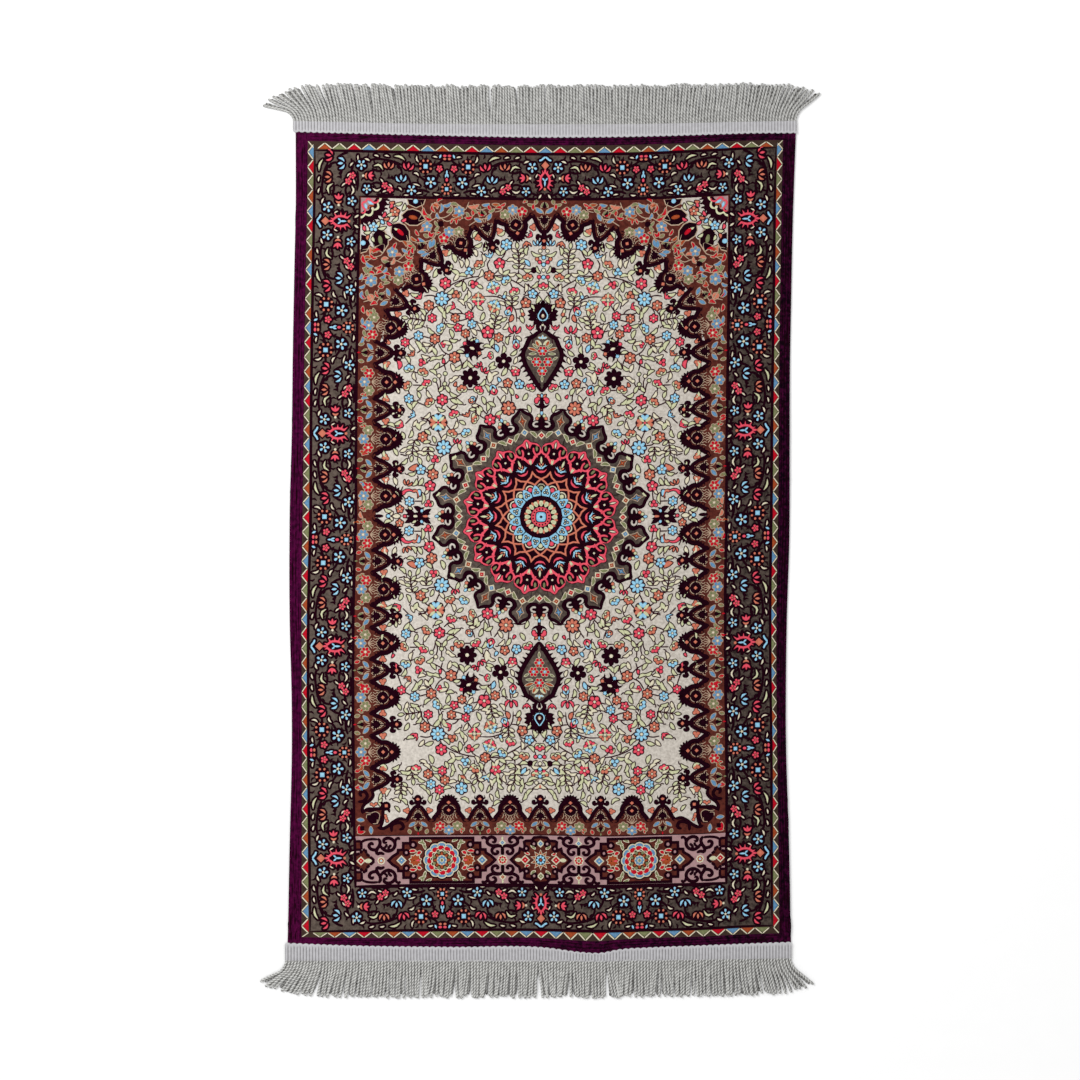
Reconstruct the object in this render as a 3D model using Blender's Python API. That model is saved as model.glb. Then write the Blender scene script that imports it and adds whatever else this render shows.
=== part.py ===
"""Prayer rug: a woven chenille cloth with a fringed tape sewn over each of its two ends.

Frame: metres, +Z up. The rug lies on Z = 0 with the point of its arch towards +Y, and its origin is on
the floor under the middle of its bounding box.

Pieces: rug_cloth is the woven cloth, one slab. fringe_top and fringe_bottom are the two tapes. Each tape
laps over the end of the cloth, stands on the floor just past it, and carries a row of cut cords.
"""

import math
from collections import namedtuple

import bmesh
import bpy
import numpy as np

# Cloth
CLOTH_THICKNESS = 0.0030
RIM_ROUNDING = 0.0009  # radius of the rolled edge, above and below
COLUMNS_ACROSS = 28
ROWS_ALONG = 16

# Tape
LAP_SHARE = 0.55  # share of the tape's width that lies on the cloth
TAPE_CLEARANCE = 0.0003  # air between the tape and the cloth
TAPE_THICKNESS = 0.0012

# Cords
CORDS_PER_END = 150
CORD_WIDTH = 0.0031
CORD_HEIGHT = 0.0028
CORD_SECTIONS = 5
CORD_TIP_SHARE = 0.82  # width of the cut tip, as a share of the cord's
TIP_CLEARANCE = 0.0005  # least air between two neighbours at their tips
FAN_DECAY = 2.1  # cords over which the splay of a corner falls to a third

# Half of the cloth's nominal length. The edge tables bend the straight cloth to its real outline.
HALF_LENGTH = 0.565

SideRow = namedtuple("SideRow", "y left right")
SIDES = (
    SideRow(-0.565, -0.3450, 0.3450),
    SideRow(-0.438, -0.3418, 0.3418),
    SideRow(-0.329, -0.3391, 0.3382),
    SideRow(-0.219, -0.3391, 0.3377),
    SideRow(-0.110, -0.3418, 0.3391),
    SideRow(0.000, -0.3420, 0.3425),
    SideRow(0.110, -0.3391, 0.3430),
    SideRow(0.219, -0.3377, 0.3432),
    SideRow(0.329, -0.3357, 0.3450),
    SideRow(0.438, -0.3336, 0.3473),
    SideRow(0.565, -0.3336, 0.3518),
)

# Where each tape's inner edge (seam) and outer edge (root, where the cords leave it) run.
EndRow = namedtuple("EndRow", "x seam root")
TOP_END = (
    EndRow(-0.337, 0.5597, 0.5733),
    EndRow(-0.260, 0.5576, 0.5716),
    EndRow(-0.191, 0.5558, 0.5700),
    EndRow(-0.123, 0.5542, 0.5692),
    EndRow(0.008, 0.5521, 0.5690),
    EndRow(0.151, 0.5535, 0.5695),
    EndRow(0.220, 0.5555, 0.5709),
    EndRow(0.288, 0.5576, 0.5724),
    EndRow(0.352, 0.5580, 0.5736),
)
# The cloth swells over the lower tape from x = 0.04 to 0.12.
BOTTOM_END = (
    EndRow(-0.348, -0.5514, -0.5747),
    EndRow(-0.260, -0.5549, -0.5751),
    EndRow(-0.123, -0.5569, -0.5754),
    EndRow(0.014, -0.5583, -0.5754),
    EndRow(0.055, -0.5638, -0.5754),
    EndRow(0.083, -0.5651, -0.5758),
    EndRow(0.110, -0.5603, -0.5751),
    EndRow(0.151, -0.5576, -0.5744),
    EndRow(0.220, -0.5549, -0.5735),
    EndRow(0.288, -0.5521, -0.5723),
    EndRow(0.345, -0.5501, -0.5713),
)

# One row for each fringe: outward is +1 or -1 along Y, fans are the splay of its outermost cords in degrees.
FringeRow = namedtuple("FringeRow", "name end outward cord_length left_fan right_fan seed")
FRINGES = (
    FringeRow("fringe_top", TOP_END, 1, 0.0545, 78.0, 50.0, 11),
    FringeRow("fringe_bottom", BOTTOM_END, -1, 0.0505, 62.0, 54.0, 23),
)


def through(table, column, at):
    """Value of a column at each place: a cubic Hermite curve through the rows, held level past its ends."""
    stations = np.array([row[0] for row in table])
    values = np.array([getattr(row, column) for row in table])
    slopes = np.gradient(values, stations)
    at = np.clip(np.asarray(at, float), stations[0], stations[-1])
    i = np.clip(np.searchsorted(stations, at) - 1, 0, len(stations) - 2)
    step = stations[i + 1] - stations[i]
    t = (at - stations[i]) / step
    rise = t * t * (3 - 2 * t)
    leave = t * (1 - t) ** 2 * slopes[i]
    arrive = t * t * (t - 1) * slopes[i + 1]
    return values[i] * (1 - rise) + values[i + 1] * rise + step * (leave + arrive)


def cloth_end(end, x):
    """Y of the cloth's cut end, hidden under the tape."""
    seam = through(end, "seam", x)
    return seam + LAP_SHARE * (through(end, "root", x) - seam)


def on_cloth(across, along):
    """X and Y of a point of the cloth, from its shares -1 to 1 across and along the straight cloth."""
    level = along * HALF_LENGTH
    left = through(SIDES, "left", level)
    right = through(SIDES, "right", level)
    x = left + (right - left) * (across + 1) / 2
    bottom = cloth_end(BOTTOM_END, x)
    top = cloth_end(TOP_END, x)
    return x, bottom + (top - bottom) * (along + 1) / 2


def tape_stations(fringe):
    """X of the tape's sections: its own two ends, and every column of the cloth between them."""
    across = np.linspace(-1, 1, COLUMNS_ACROSS + 1)
    columns, _ = on_cloth(across, np.full_like(across, fringe.outward))
    left, right = fringe.end[0].x, fringe.end[-1].x
    between = columns[(columns > left) & (columns < right)]
    return np.concatenate([[left], between, [right]])


def add_object(name, mesh_builder, colour, roughness):
    """Object of its own, with a mesh from a bmesh and a plain woven-yarn material."""
    mesh = bpy.data.meshes.new(name)
    bmesh.ops.recalc_face_normals(mesh_builder, faces=mesh_builder.faces)
    mesh_builder.to_mesh(mesh)
    mesh_builder.free()
    obj = bpy.data.objects.new(name, mesh)
    bpy.context.scene.collection.objects.link(obj)
    material = bpy.data.materials.new(name + "_yarn")
    material.use_nodes = True
    shader = material.node_tree.nodes["Principled BSDF"]
    shader.inputs["Base Color"].default_value = (*colour, 1)
    shader.inputs["Roughness"].default_value = roughness
    shader.inputs["Metallic"].default_value = 0
    mesh.materials.append(material)
    return obj


def make_cloth():
    """The woven cloth: an even slab with a rolled rim, flat above and below."""
    bm = bmesh.new()
    across, along = np.meshgrid(np.linspace(-1, 1, COLUMNS_ACROSS + 1), np.linspace(-1, 1, ROWS_ALONG + 1))
    xs, ys = on_cloth(across, along)

    def layer(z, inset):
        """Grid of vertices at one height, its rim drawn in by the inset."""
        shrink_x = 1 - inset / xs.max()
        shrink_y = 1 - inset / ys.max()
        return [
            [bm.verts.new((x * shrink_x, y * shrink_y, z)) for x, y in zip(row_x, row_y)]
            for row_x, row_y in zip(xs, ys)
        ]

    def rim(grid):
        """Border vertices of a layer, in order round the cloth."""
        side_right = [row[-1] for row in grid[1:-1]]
        side_left = [row[0] for row in reversed(grid[1:-1])]
        return grid[0] + side_right + list(reversed(grid[-1])) + side_left

    def ring(z):
        """Border vertices at the cloth's full outline."""
        outline = rim([list(zip(row_x, row_y)) for row_x, row_y in zip(xs, ys)])
        return [bm.verts.new((x, y, z)) for x, y in outline]

    bottom = layer(0, RIM_ROUNDING)
    top = layer(CLOTH_THICKNESS, RIM_ROUNDING)
    for grid in (bottom, top):
        for row, following in zip(grid, grid[1:]):
            for k in range(COLUMNS_ACROSS):
                bm.faces.new((row[k], row[k + 1], following[k + 1], following[k]))
    rings = [rim(bottom), ring(RIM_ROUNDING), ring(CLOTH_THICKNESS - RIM_ROUNDING), rim(top)]
    for lower, upper in zip(rings, rings[1:]):
        for k in range(len(lower)):
            after = (k + 1) % len(lower)
            bm.faces.new((lower[k], lower[after], upper[after], upper[k]))
    return add_object("rug_cloth", bm, (0.27, 0.20, 0.17), 0.95)


def clump_leans(count, widest_closing, rng):
    """Lean of each cord in radians: cords lie in clumps whose tips draw together, with gaps between clumps."""
    leans = []
    while len(leans) < count:
        size = int(rng.integers(3, 8))
        clump_lean = math.radians(rng.uniform(-3.2, 3.2))
        leans += [clump_lean - widest_closing * (k - (size - 1) / 2) for k in range(size)]
    return leans[:count]


def cord_leans(fringe, pitch, rng):
    """Lean of each cord, with the corner cords splayed outwards and no two neighbours crossing."""
    spare = pitch - CORD_WIDTH - TIP_CLEARANCE
    widest_closing = spare / fringe.cord_length
    leans = clump_leans(CORDS_PER_END, widest_closing, rng)
    for k in range(CORDS_PER_END):
        from_right = CORDS_PER_END - 1 - k
        leans[k] -= math.radians(fringe.left_fan) * math.exp(-k / FAN_DECAY)
        leans[k] += math.radians(fringe.right_fan) * math.exp(-from_right / FAN_DECAY)
    for k in range(1, CORDS_PER_END):
        leans[k] = max(leans[k], leans[k - 1] - widest_closing)
    return leans


def cord_path(x, y, lean, length, outward):
    """Centre line on the floor: it leaves the tape square and bends to its lean over its first half."""
    path = [(x, y, 0.0)]
    step = length / CORD_SECTIONS
    for k in range(CORD_SECTIONS):
        bend = min(1.0, (k + 0.5) / (CORD_SECTIONS / 2))
        heading = lean * bend
        x += step * math.sin(heading)
        y += step * math.cos(heading) * outward
        path.append((x, y, heading))
    return path


def add_cord(bm, root, path, outward):
    """Three-sided cord grown out of its root triangle, flat on the floor, with a narrower cut tip."""
    last = root
    for k, (x, y, heading) in enumerate(path[1:], start=1):
        share = 1 - (1 - CORD_TIP_SHARE) * (k / CORD_SECTIONS) ** 3
        side_x = math.cos(heading) * CORD_WIDTH * share / 2
        side_y = -math.sin(heading) * outward * CORD_WIDTH * share / 2
        section = [
            bm.verts.new((x - side_x, y - side_y, 0)),
            bm.verts.new((x + side_x, y + side_y, 0)),
            bm.verts.new((x, y, CORD_HEIGHT * share)),
        ]
        for a in range(3):
            b = (a + 1) % 3
            bm.faces.new((last[a], last[b], section[b], section[a]))
        last = section
    bm.faces.new(last)


def zip_rails(bm, one, other):
    """Triangles between two rails that run the same way, each step taken on the rail that lags in X."""
    i = j = 0
    while i < len(one) - 1 or j < len(other) - 1:
        step_one = j == len(other) - 1 or (i < len(one) - 1 and one[i + 1].co.x <= other[j + 1].co.x)
        if step_one:
            bm.faces.new((one[i], one[i + 1], other[j]))
            i += 1
        else:
            bm.faces.new((one[i], other[j + 1], other[j]))
            j += 1


def make_fringe(fringe):
    """One tape with its cords: an L-shaped strip that laps over the cloth's end and stands on the floor."""
    bm = bmesh.new()
    rng = np.random.default_rng(fringe.seed)
    end, outward = fringe.end, fringe.outward
    left, right = end[0].x, end[-1].x
    stations = tape_stations(fringe)
    lap_under = CLOTH_THICKNESS + TAPE_CLEARANCE
    lap_top = lap_under + TAPE_THICKNESS

    def rail(y_values, z):
        """Vertices along the tape's stations at one height."""
        return [bm.verts.new((x, y, z)) for x, y in zip(stations, y_values)]

    seam = through(end, "seam", stations)
    riser = cloth_end(end, stations) + outward * TAPE_CLEARANCE
    section_rails = [
        rail(riser, lap_top),
        rail(seam, lap_top),
        rail(seam, lap_under),
        rail(riser, lap_under),
        rail(riser, 0),
    ]
    for one, other in zip(section_rails, section_rails[1:]):
        zip_rails(bm, one, other)

    pitch = (right - left) / CORDS_PER_END
    leans = cord_leans(fringe, pitch, rng)
    base_rail = [bm.verts.new((left, float(through(end, "root", left)), 0))]
    apex_rail = [bm.verts.new((left, float(through(end, "root", left)), CORD_HEIGHT))]
    for k, lean in enumerate(leans):
        x = left + (k + 0.5) * pitch
        y = float(through(end, "root", x))
        root = [
            bm.verts.new((x - CORD_WIDTH / 2, y, 0)),
            bm.verts.new((x + CORD_WIDTH / 2, y, 0)),
            bm.verts.new((x, y, CORD_HEIGHT)),
        ]
        length = fringe.cord_length * rng.uniform(0.965, 1.02)
        add_cord(bm, root, cord_path(x, y, lean, length, outward), outward)
        bm.faces.new((base_rail[-1], root[0], root[2], apex_rail[-1]))
        base_rail += root[:2]
        apex_rail.append(root[2])
    corner_y = float(through(end, "root", right))
    corner = [bm.verts.new((right, corner_y, 0)), bm.verts.new((right, corner_y, CORD_HEIGHT))]
    bm.faces.new((base_rail[-1], corner[0], corner[1], apex_rail[-1]))
    base_rail.append(corner[0])
    apex_rail.append(corner[1])
    zip_rails(bm, section_rails[-1], base_rail)
    zip_rails(bm, apex_rail, section_rails[0])
    for tip in (0, -1):
        bm.faces.new([r[tip] for r in section_rails] + [base_rail[tip], apex_rail[tip]])
    return add_object(fringe.name, bm, (0.52, 0.49, 0.44), 0.9)


def centre_on_origin(objects):
    """Shift every mesh so that the origin is under the middle of the whole rug."""
    corners = np.array([vertex.co[:] for obj in objects for vertex in obj.data.vertices])
    middle = (corners.min(axis=0) + corners.max(axis=0)) / 2
    for obj in objects:
        for vertex in obj.data.vertices:
            vertex.co.x -= middle[0]
            vertex.co.y -= middle[1]


def main():
    """Clear the scene and build the three pieces."""
    for obj in list(bpy.data.objects):
        bpy.data.objects.remove(obj, do_unlink=True)
    pieces = [make_cloth()] + [make_fringe(fringe) for fringe in FRINGES]
    centre_on_origin(pieces)


main()
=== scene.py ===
"""Looks of a prayer rug: woven pattern, chenille yarn, ribbed end tapes and twisted fringe cords.

Charts are in woven points of 1.37 mm, measured from the middle of the medallion: x to the right, y towards
the point of the arch. ClothMap bends the straight chart to the uneven woven cloth, in metres.
"""
import logging
import math
from dataclasses import dataclass, field
from enum import Enum
from functools import lru_cache
from typing import Callable, Iterable, NamedTuple, Sequence

import bpy
import numpy as np
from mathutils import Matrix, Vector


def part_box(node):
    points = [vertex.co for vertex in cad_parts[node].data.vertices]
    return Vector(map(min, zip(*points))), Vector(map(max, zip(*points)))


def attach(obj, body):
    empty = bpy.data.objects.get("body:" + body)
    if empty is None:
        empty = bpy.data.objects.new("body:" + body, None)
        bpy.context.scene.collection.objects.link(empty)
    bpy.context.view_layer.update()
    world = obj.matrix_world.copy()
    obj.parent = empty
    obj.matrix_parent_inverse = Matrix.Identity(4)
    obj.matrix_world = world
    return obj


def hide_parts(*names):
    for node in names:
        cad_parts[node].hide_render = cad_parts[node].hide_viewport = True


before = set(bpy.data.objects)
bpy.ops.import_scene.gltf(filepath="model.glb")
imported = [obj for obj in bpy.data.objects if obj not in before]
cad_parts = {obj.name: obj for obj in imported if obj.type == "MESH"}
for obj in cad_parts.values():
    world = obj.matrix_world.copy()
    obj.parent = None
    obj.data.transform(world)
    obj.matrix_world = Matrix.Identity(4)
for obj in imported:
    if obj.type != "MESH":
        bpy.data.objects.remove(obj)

LOG = logging.getLogger("prayer_rug")
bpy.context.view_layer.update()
POINT = 0.00137  # one woven point of the charts, in metres
MM = 0.001


# ---------------------------------------------------------------------------------------------------------
# Finishes
# ---------------------------------------------------------------------------------------------------------


class Ink(Enum):
    """Yarn colours of the pattern."""

    DARK = "dark"
    PLUM = "plum"
    IVORY = "ivory"
    TAUPE = "taupe"
    OLIVE = "olive"
    BROWN = "brown"
    MAUVE = "mauve"
    CORAL = "coral"
    SKY = "sky"
    SALMON = "salmon"
    LEAF = "leaf"
    CREAM = "cream"
    RED = "red"
    BLUE = "blue"
    RUST = "rust"
    SAGE = "sage"
    UMBER = "umber"
    SAND = "sand"


@dataclass(frozen=True)
class YarnFinish:
    """One dyed yarn.

    Args:
        light: sRGB colour of the pile's tips, 0 to 255.
        deep: sRGB colour between the tufts, and of the painted shade.
        mottle: share of the deep colour that the clouds reach.
        cloud: size of the mottling, in metres.
        pitch: distance between the weave's rows, in metres.
        relief: depth of the weave, in metres.
        lean: painted shade: share of the deep colour gained from the left edge to the right one.
    """

    light: tuple[int, int, int]
    deep: tuple[int, int, int]
    mottle: float = 0.45
    cloud: float = 0.0030
    pitch: float = 0.0014
    relief: float = 0.00018
    lean: float = 0.18


FINISHES: dict[Ink, YarnFinish] = {
    Ink.DARK: YarnFinish((40, 4, 20), (9, 0, 5), 0.6),
    Ink.PLUM: YarnFinish((88, 10, 62), (11, 2, 11), 0.95, 0.0050, 0.0016, 0.00034, 0.46),
    Ink.IVORY: YarnFinish((232, 224, 213), (136, 125, 114), 0.56, 0.0040, relief=0.0004, lean=0.34),
    Ink.TAUPE: YarnFinish((106, 93, 84), (30, 22, 22), 0.85, 0.0050, 0.0014, 0.00024, 0.50),
    Ink.OLIVE: YarnFinish((70, 54, 46), (38, 26, 22), 0.55, 0.0040),
    Ink.BROWN: YarnFinish((106, 50, 40), (42, 16, 18), 0.75, 0.0045),
    Ink.MAUVE: YarnFinish((180, 146, 146), (142, 104, 108), 0.55, 0.0050),
    Ink.CORAL: YarnFinish((252, 98, 116), (176, 40, 62), 0.50),
    Ink.SKY: YarnFinish((174, 226, 246), (100, 160, 198), 0.50),
    Ink.SALMON: YarnFinish((222, 136, 110), (172, 84, 66), 0.50),
    Ink.LEAF: YarnFinish((226, 226, 188), (160, 164, 122), 0.50),
    Ink.CREAM: YarnFinish((242, 234, 208), (178, 168, 140), 0.45),
    Ink.RED: YarnFinish((212, 26, 46), (140, 8, 24), 0.50),
    Ink.BLUE: YarnFinish((118, 164, 198), (64, 104, 144), 0.55),
    Ink.RUST: YarnFinish((186, 88, 50), (120, 48, 24), 0.55),
    Ink.SAGE: YarnFinish((142, 146, 104), (90, 94, 62), 0.55),
    Ink.UMBER: YarnFinish((62, 30, 36), (32, 12, 20), 0.5),
    Ink.SAND: YarnFinish((202, 178, 152), (156, 128, 108), 0.5),
}
# The cords' and tape's deep colours serve mostly as painted shade, on the cords' lower sides and in the tape's grooves.
CORD_FINISH = YarnFinish((255, 255, 251), (34, 28, 24), 0.20, 0.0060, 0.0009, 0.00010, 0.04)
TAPE_FINISH = YarnFinish((206, 205, 208), (92, 88, 90), 0.20, 0.0050, 0.0011, 0.00012, 0.04)


def linear(colour: Sequence[float]) -> tuple[float, float, float, float]:
    """sRGB 0 to 255 as linear light, by the usual power curve of 2.4 with its straight foot."""
    shares = np.asarray(colour, float) / 255
    values = np.where(shares <= 0.04045, shares / 12.92, ((shares + 0.055) / 1.055) ** 2.4)
    return (*values.tolist(), 1.0)


# ---------------------------------------------------------------------------------------------------------
# Materials
# ---------------------------------------------------------------------------------------------------------


class NodeSheet:
    """Short-hand for adding nodes to a tree and linking them."""

    def __init__(self, tree: bpy.types.NodeTree) -> None:
        """Keep the tree whose nodes this adds."""
        self.tree = tree

    def add(self, kind: str, settings: dict | None = None, **sockets: object) -> bpy.types.Node:
        """Add a node.

        Args:
            kind: the node's type, as Blender names it.
            settings: properties of the node itself.
            sockets: values or outputs for its inputs, with spaces as underscores.

        Returns:
            The new node.
        """
        node = self.tree.nodes.new(kind)
        for name, value in (settings or {}).items():
            setattr(node, name, value)
        for name, value in sockets.items():
            socket = node.inputs[int(name[1:])] if name[1:].isdigit() else node.inputs[name.replace("_", " ")]
            if isinstance(value, bpy.types.NodeSocket):
                self.tree.links.new(value, socket)
            else:
                socket.default_value = value
        return node

    def math(self, operation: str, first: object, second: object = 0.0) -> bpy.types.NodeSocket:
        """Output of a Math node on two values or outputs."""
        return self.add("ShaderNodeMath", {"operation": operation}, _0=first, _1=second).outputs[0]


GRAIN_SCALE = 900.0  # fineness of the pile's grain
CLOUD_RANGE = (0.33, 0.67)  # noise values that stand for no cloud and for a full one
CLOUD_SHARE, GRAIN_SHARE = 0.7, 0.6  # what the clouds and the grain add to the mottling
CLEAR = 0.15  # mottling that still leaves the tips' own colour
SIDE_SHADE_SPAN = 0.70  # metres over which a yarn gains its whole painted side shade
TUFT_SHARE, FUZZ_SHARE = 0.25, 0.8  # what the rows and the mottling add to the height


def chenille_group() -> bpy.types.NodeTree:
    """Node group of a woven chenille surface.

    Colour goes from the tips' colour to the deep one by clouds and by fine grain, the yarn's own tone, and by painted
    shade towards a shape's rim and from left to right. height = TUFT_SHARE * (a sine across + a sine along)
    + FUZZ_SHARE * the mottling.

    Returns:
        The group, with outputs Color and Normal.
    """
    group = bpy.data.node_groups.new("chenille", "ShaderNodeTree")
    ports = group.interface
    for name in ("Light", "Deep", "Mottle", "Cloud", "Pitch", "Relief", "RimShade", "Lean"):
        kind = "NodeSocketColor" if name in ("Light", "Deep") else "NodeSocketFloat"
        ports.new_socket(name=name, in_out="INPUT", socket_type=kind)
    ports.new_socket(name="Color", in_out="OUTPUT", socket_type="NodeSocketColor")
    ports.new_socket(name="Normal", in_out="OUTPUT", socket_type="NodeSocketVector")
    sheet = NodeSheet(group)
    into = group.nodes.new("NodeGroupInput").outputs
    place = sheet.add("ShaderNodeTexCoord").outputs["Object"]
    cloud_scale = sheet.math("DIVIDE", 1.0, into["Cloud"])
    clouds = sheet.add("ShaderNodeTexNoise", Vector=place, Scale=cloud_scale, Detail=3.0, Roughness=0.6)
    grain = sheet.add("ShaderNodeTexNoise", Vector=place, Scale=GRAIN_SCALE, Detail=2.0, Roughness=0.7)
    thin, full = CLOUD_RANGE
    spread = sheet.add("ShaderNodeMapRange", Value=clouds.outputs["Fac"], From_Min=thin, From_Max=full)
    mixed = sheet.math("ADD", sheet.math("MULTIPLY", spread.outputs[0], CLOUD_SHARE),
                       sheet.math("MULTIPLY", grain.outputs["Fac"], GRAIN_SHARE))
    split = sheet.add("ShaderNodeSeparateXYZ", Vector=place)
    # Painted shade: the colour darkens from left to right, standing in for light that falls off towards the right.
    painted_side_shade = sheet.math("MULTIPLY", sheet.math("DIVIDE", split.outputs[0], SIDE_SHADE_SPAN), into["Lean"])
    # shade: the mottling, which is the yarn's own tone, plus painted shade at the rim and towards the right
    shade = sheet.math("ADD", sheet.math("MULTIPLY", sheet.math("SUBTRACT", mixed, CLEAR), into["Mottle"]),
                       sheet.math("ADD", into["RimShade"], painted_side_shade))
    colour = sheet.add("ShaderNodeMix", {"data_type": "RGBA", "clamp_factor": True})
    group.links.new(shade, colour.inputs[0])
    group.links.new(into["Light"], colour.inputs[6])
    group.links.new(into["Deep"], colour.inputs[7])
    turn = sheet.math("DIVIDE", math.tau, into["Pitch"])
    rows = [sheet.math("SINE", sheet.math("MULTIPLY", split.outputs[axis], turn)) for axis in (0, 1)]
    tufts = sheet.math("MULTIPLY", sheet.math("ADD", rows[0], rows[1]), TUFT_SHARE)
    height = sheet.math("ADD", tufts, sheet.math("MULTIPLY", mixed, FUZZ_SHARE))
    bump = sheet.add("ShaderNodeBump", Strength=0.9, Distance=into["Relief"], Height=height)
    out = group.nodes.new("NodeGroupOutput")
    group.links.new(colour.outputs[2], out.inputs["Color"])
    group.links.new(bump.outputs["Normal"], out.inputs["Normal"])
    return group


class Dyer:
    """Makes and keeps one material for each yarn finish."""

    def __init__(self) -> None:
        """Build the shared weave group."""
        self.group = chenille_group()
        self.made: dict[str, bpy.types.Material] = {}

    def material(self, name: str, finish: YarnFinish, rim: float = 0.0) -> bpy.types.Material:
        """Yarn material.

        Args:
            name: the material's name.
            finish: the dyed yarn.
            rim: painted shade: how far a shape darkens towards its own rim, where its crown attribute falls to 0.

        Returns:
            The material, made once for each name.
        """
        if name in self.made:
            return self.made[name]
        material = bpy.data.materials.new(name)
        material.use_nodes = True
        tree = material.node_tree
        sheet = NodeSheet(tree)
        weave = sheet.add("ShaderNodeGroup", {"node_tree": self.group})
        weave.inputs["Light"].default_value = linear(finish.light)
        weave.inputs["Deep"].default_value = linear(finish.deep)
        for port in ("Mottle", "Cloud", "Pitch", "Relief", "Lean"):
            weave.inputs[port].default_value = getattr(finish, port.lower())
        if rim:
            # Painted shade: where the crown attribute is low, at rims, on cords' lower sides and in tape grooves, the
            # colour goes deep.
            crown = sheet.add("ShaderNodeAttribute", {"attribute_name": "crown"}).outputs["Fac"]
            tree.links.new(sheet.math("MULTIPLY", sheet.math("SUBTRACT", 1.0, crown), rim), weave.inputs["RimShade"])
        shader = tree.nodes["Principled BSDF"]
        tree.links.new(weave.outputs["Color"], shader.inputs["Base Color"])
        tree.links.new(weave.outputs["Normal"], shader.inputs["Normal"])
        shader.inputs["Roughness"].default_value = 0.9
        shader.inputs["Specular IOR Level"].default_value = 0.02
        shader.inputs["Sheen Weight"].default_value = 0.02
        shader.inputs["Sheen Roughness"].default_value = 0.5
        self.made[name] = material
        return material


# ---------------------------------------------------------------------------------------------------------
# Cloth map
# ---------------------------------------------------------------------------------------------------------


class SideRow(NamedTuple):
    """Level y, and x of the left edge, left border line, right border line and right edge, in metres."""

    y: float
    left: float
    left_line: float
    right_line: float
    right: float


class EndRow(NamedTuple):
    """Place x, and y of the border line, of the seam and of the cords' roots, in metres."""

    x: float
    line: float
    seam: float
    root: float


SIDES = (
    SideRow(-0.565, -0.3450, -0.3133, 0.3185, 0.3450),
    SideRow(-0.438, -0.3418, -0.3148, 0.3181, 0.3418),
    SideRow(-0.329, -0.3391, -0.3162, 0.3180, 0.3382),
    SideRow(-0.219, -0.3391, -0.3167, 0.3165, 0.3377),
    SideRow(-0.110, -0.3418, -0.3158, 0.3163, 0.3391),
    SideRow(0.000, -0.3420, -0.3128, 0.3177, 0.3425),
    SideRow(0.110, -0.3391, -0.3126, 0.3185, 0.3430),
    SideRow(0.219, -0.3377, -0.3115, 0.3199, 0.3432),
    SideRow(0.329, -0.3357, -0.3099, 0.3214, 0.3450),
    SideRow(0.438, -0.3336, -0.3077, 0.3226, 0.3473),
    SideRow(0.565, -0.3336, -0.3058, 0.3254, 0.3518),
)
TOP_END = (
    EndRow(-0.337, 0.5344, 0.5597, 0.5733),
    EndRow(-0.260, 0.5332, 0.5576, 0.5716),
    EndRow(-0.191, 0.5317, 0.5558, 0.5700),
    EndRow(-0.123, 0.5305, 0.5542, 0.5692),
    EndRow(0.008, 0.5289, 0.5521, 0.5690),
    EndRow(0.151, 0.5302, 0.5535, 0.5695),
    EndRow(0.220, 0.5335, 0.5555, 0.5709),
    EndRow(0.288, 0.5368, 0.5576, 0.5724),
    EndRow(0.352, 0.5381, 0.5580, 0.5736),
)
BOTTOM_END = (
    EndRow(-0.348, -0.5354, -0.5514, -0.5747),
    EndRow(-0.260, -0.5348, -0.5549, -0.5751),
    EndRow(-0.123, -0.5333, -0.5569, -0.5754),
    EndRow(0.014, -0.5333, -0.5583, -0.5754),
    EndRow(0.055, -0.5343, -0.5638, -0.5754),
    EndRow(0.083, -0.5348, -0.5651, -0.5758),
    EndRow(0.110, -0.5346, -0.5603, -0.5751),
    EndRow(0.151, -0.5333, -0.5576, -0.5744),
    EndRow(0.220, -0.5316, -0.5549, -0.5735),
    EndRow(0.288, -0.5279, -0.5521, -0.5723),
    EndRow(0.345, -0.5268, -0.5501, -0.5713),
)


def smooth(stations: np.ndarray, values: np.ndarray, at: np.ndarray) -> np.ndarray:
    """Value at each place, on the cubic Hermite curve through the stations, held level past its ends."""
    stations, values = np.asarray(stations, float), np.asarray(values, float)
    slopes = np.gradient(values, stations)
    at = np.clip(np.asarray(at, float), stations[0], stations[-1])
    i = np.clip(np.searchsorted(stations, at) - 1, 0, len(stations) - 2)
    step = stations[i + 1] - stations[i]
    t = (at - stations[i]) / step
    rise = t * t * (3 - 2 * t)
    leave = t * (1 - t) ** 2 * slopes[i]
    arrive = t * t * (t - 1) * slopes[i + 1]
    return values[i] * (1 - rise) + values[i + 1] * rise + step * (leave + arrive)


def column(table: Sequence[NamedTuple], name: str, at: np.ndarray) -> np.ndarray:
    """Value of a table's column at each place, on a smooth curve through its rows."""
    return smooth([row[0] for row in table], [getattr(row, name) for row in table], at)


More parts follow.
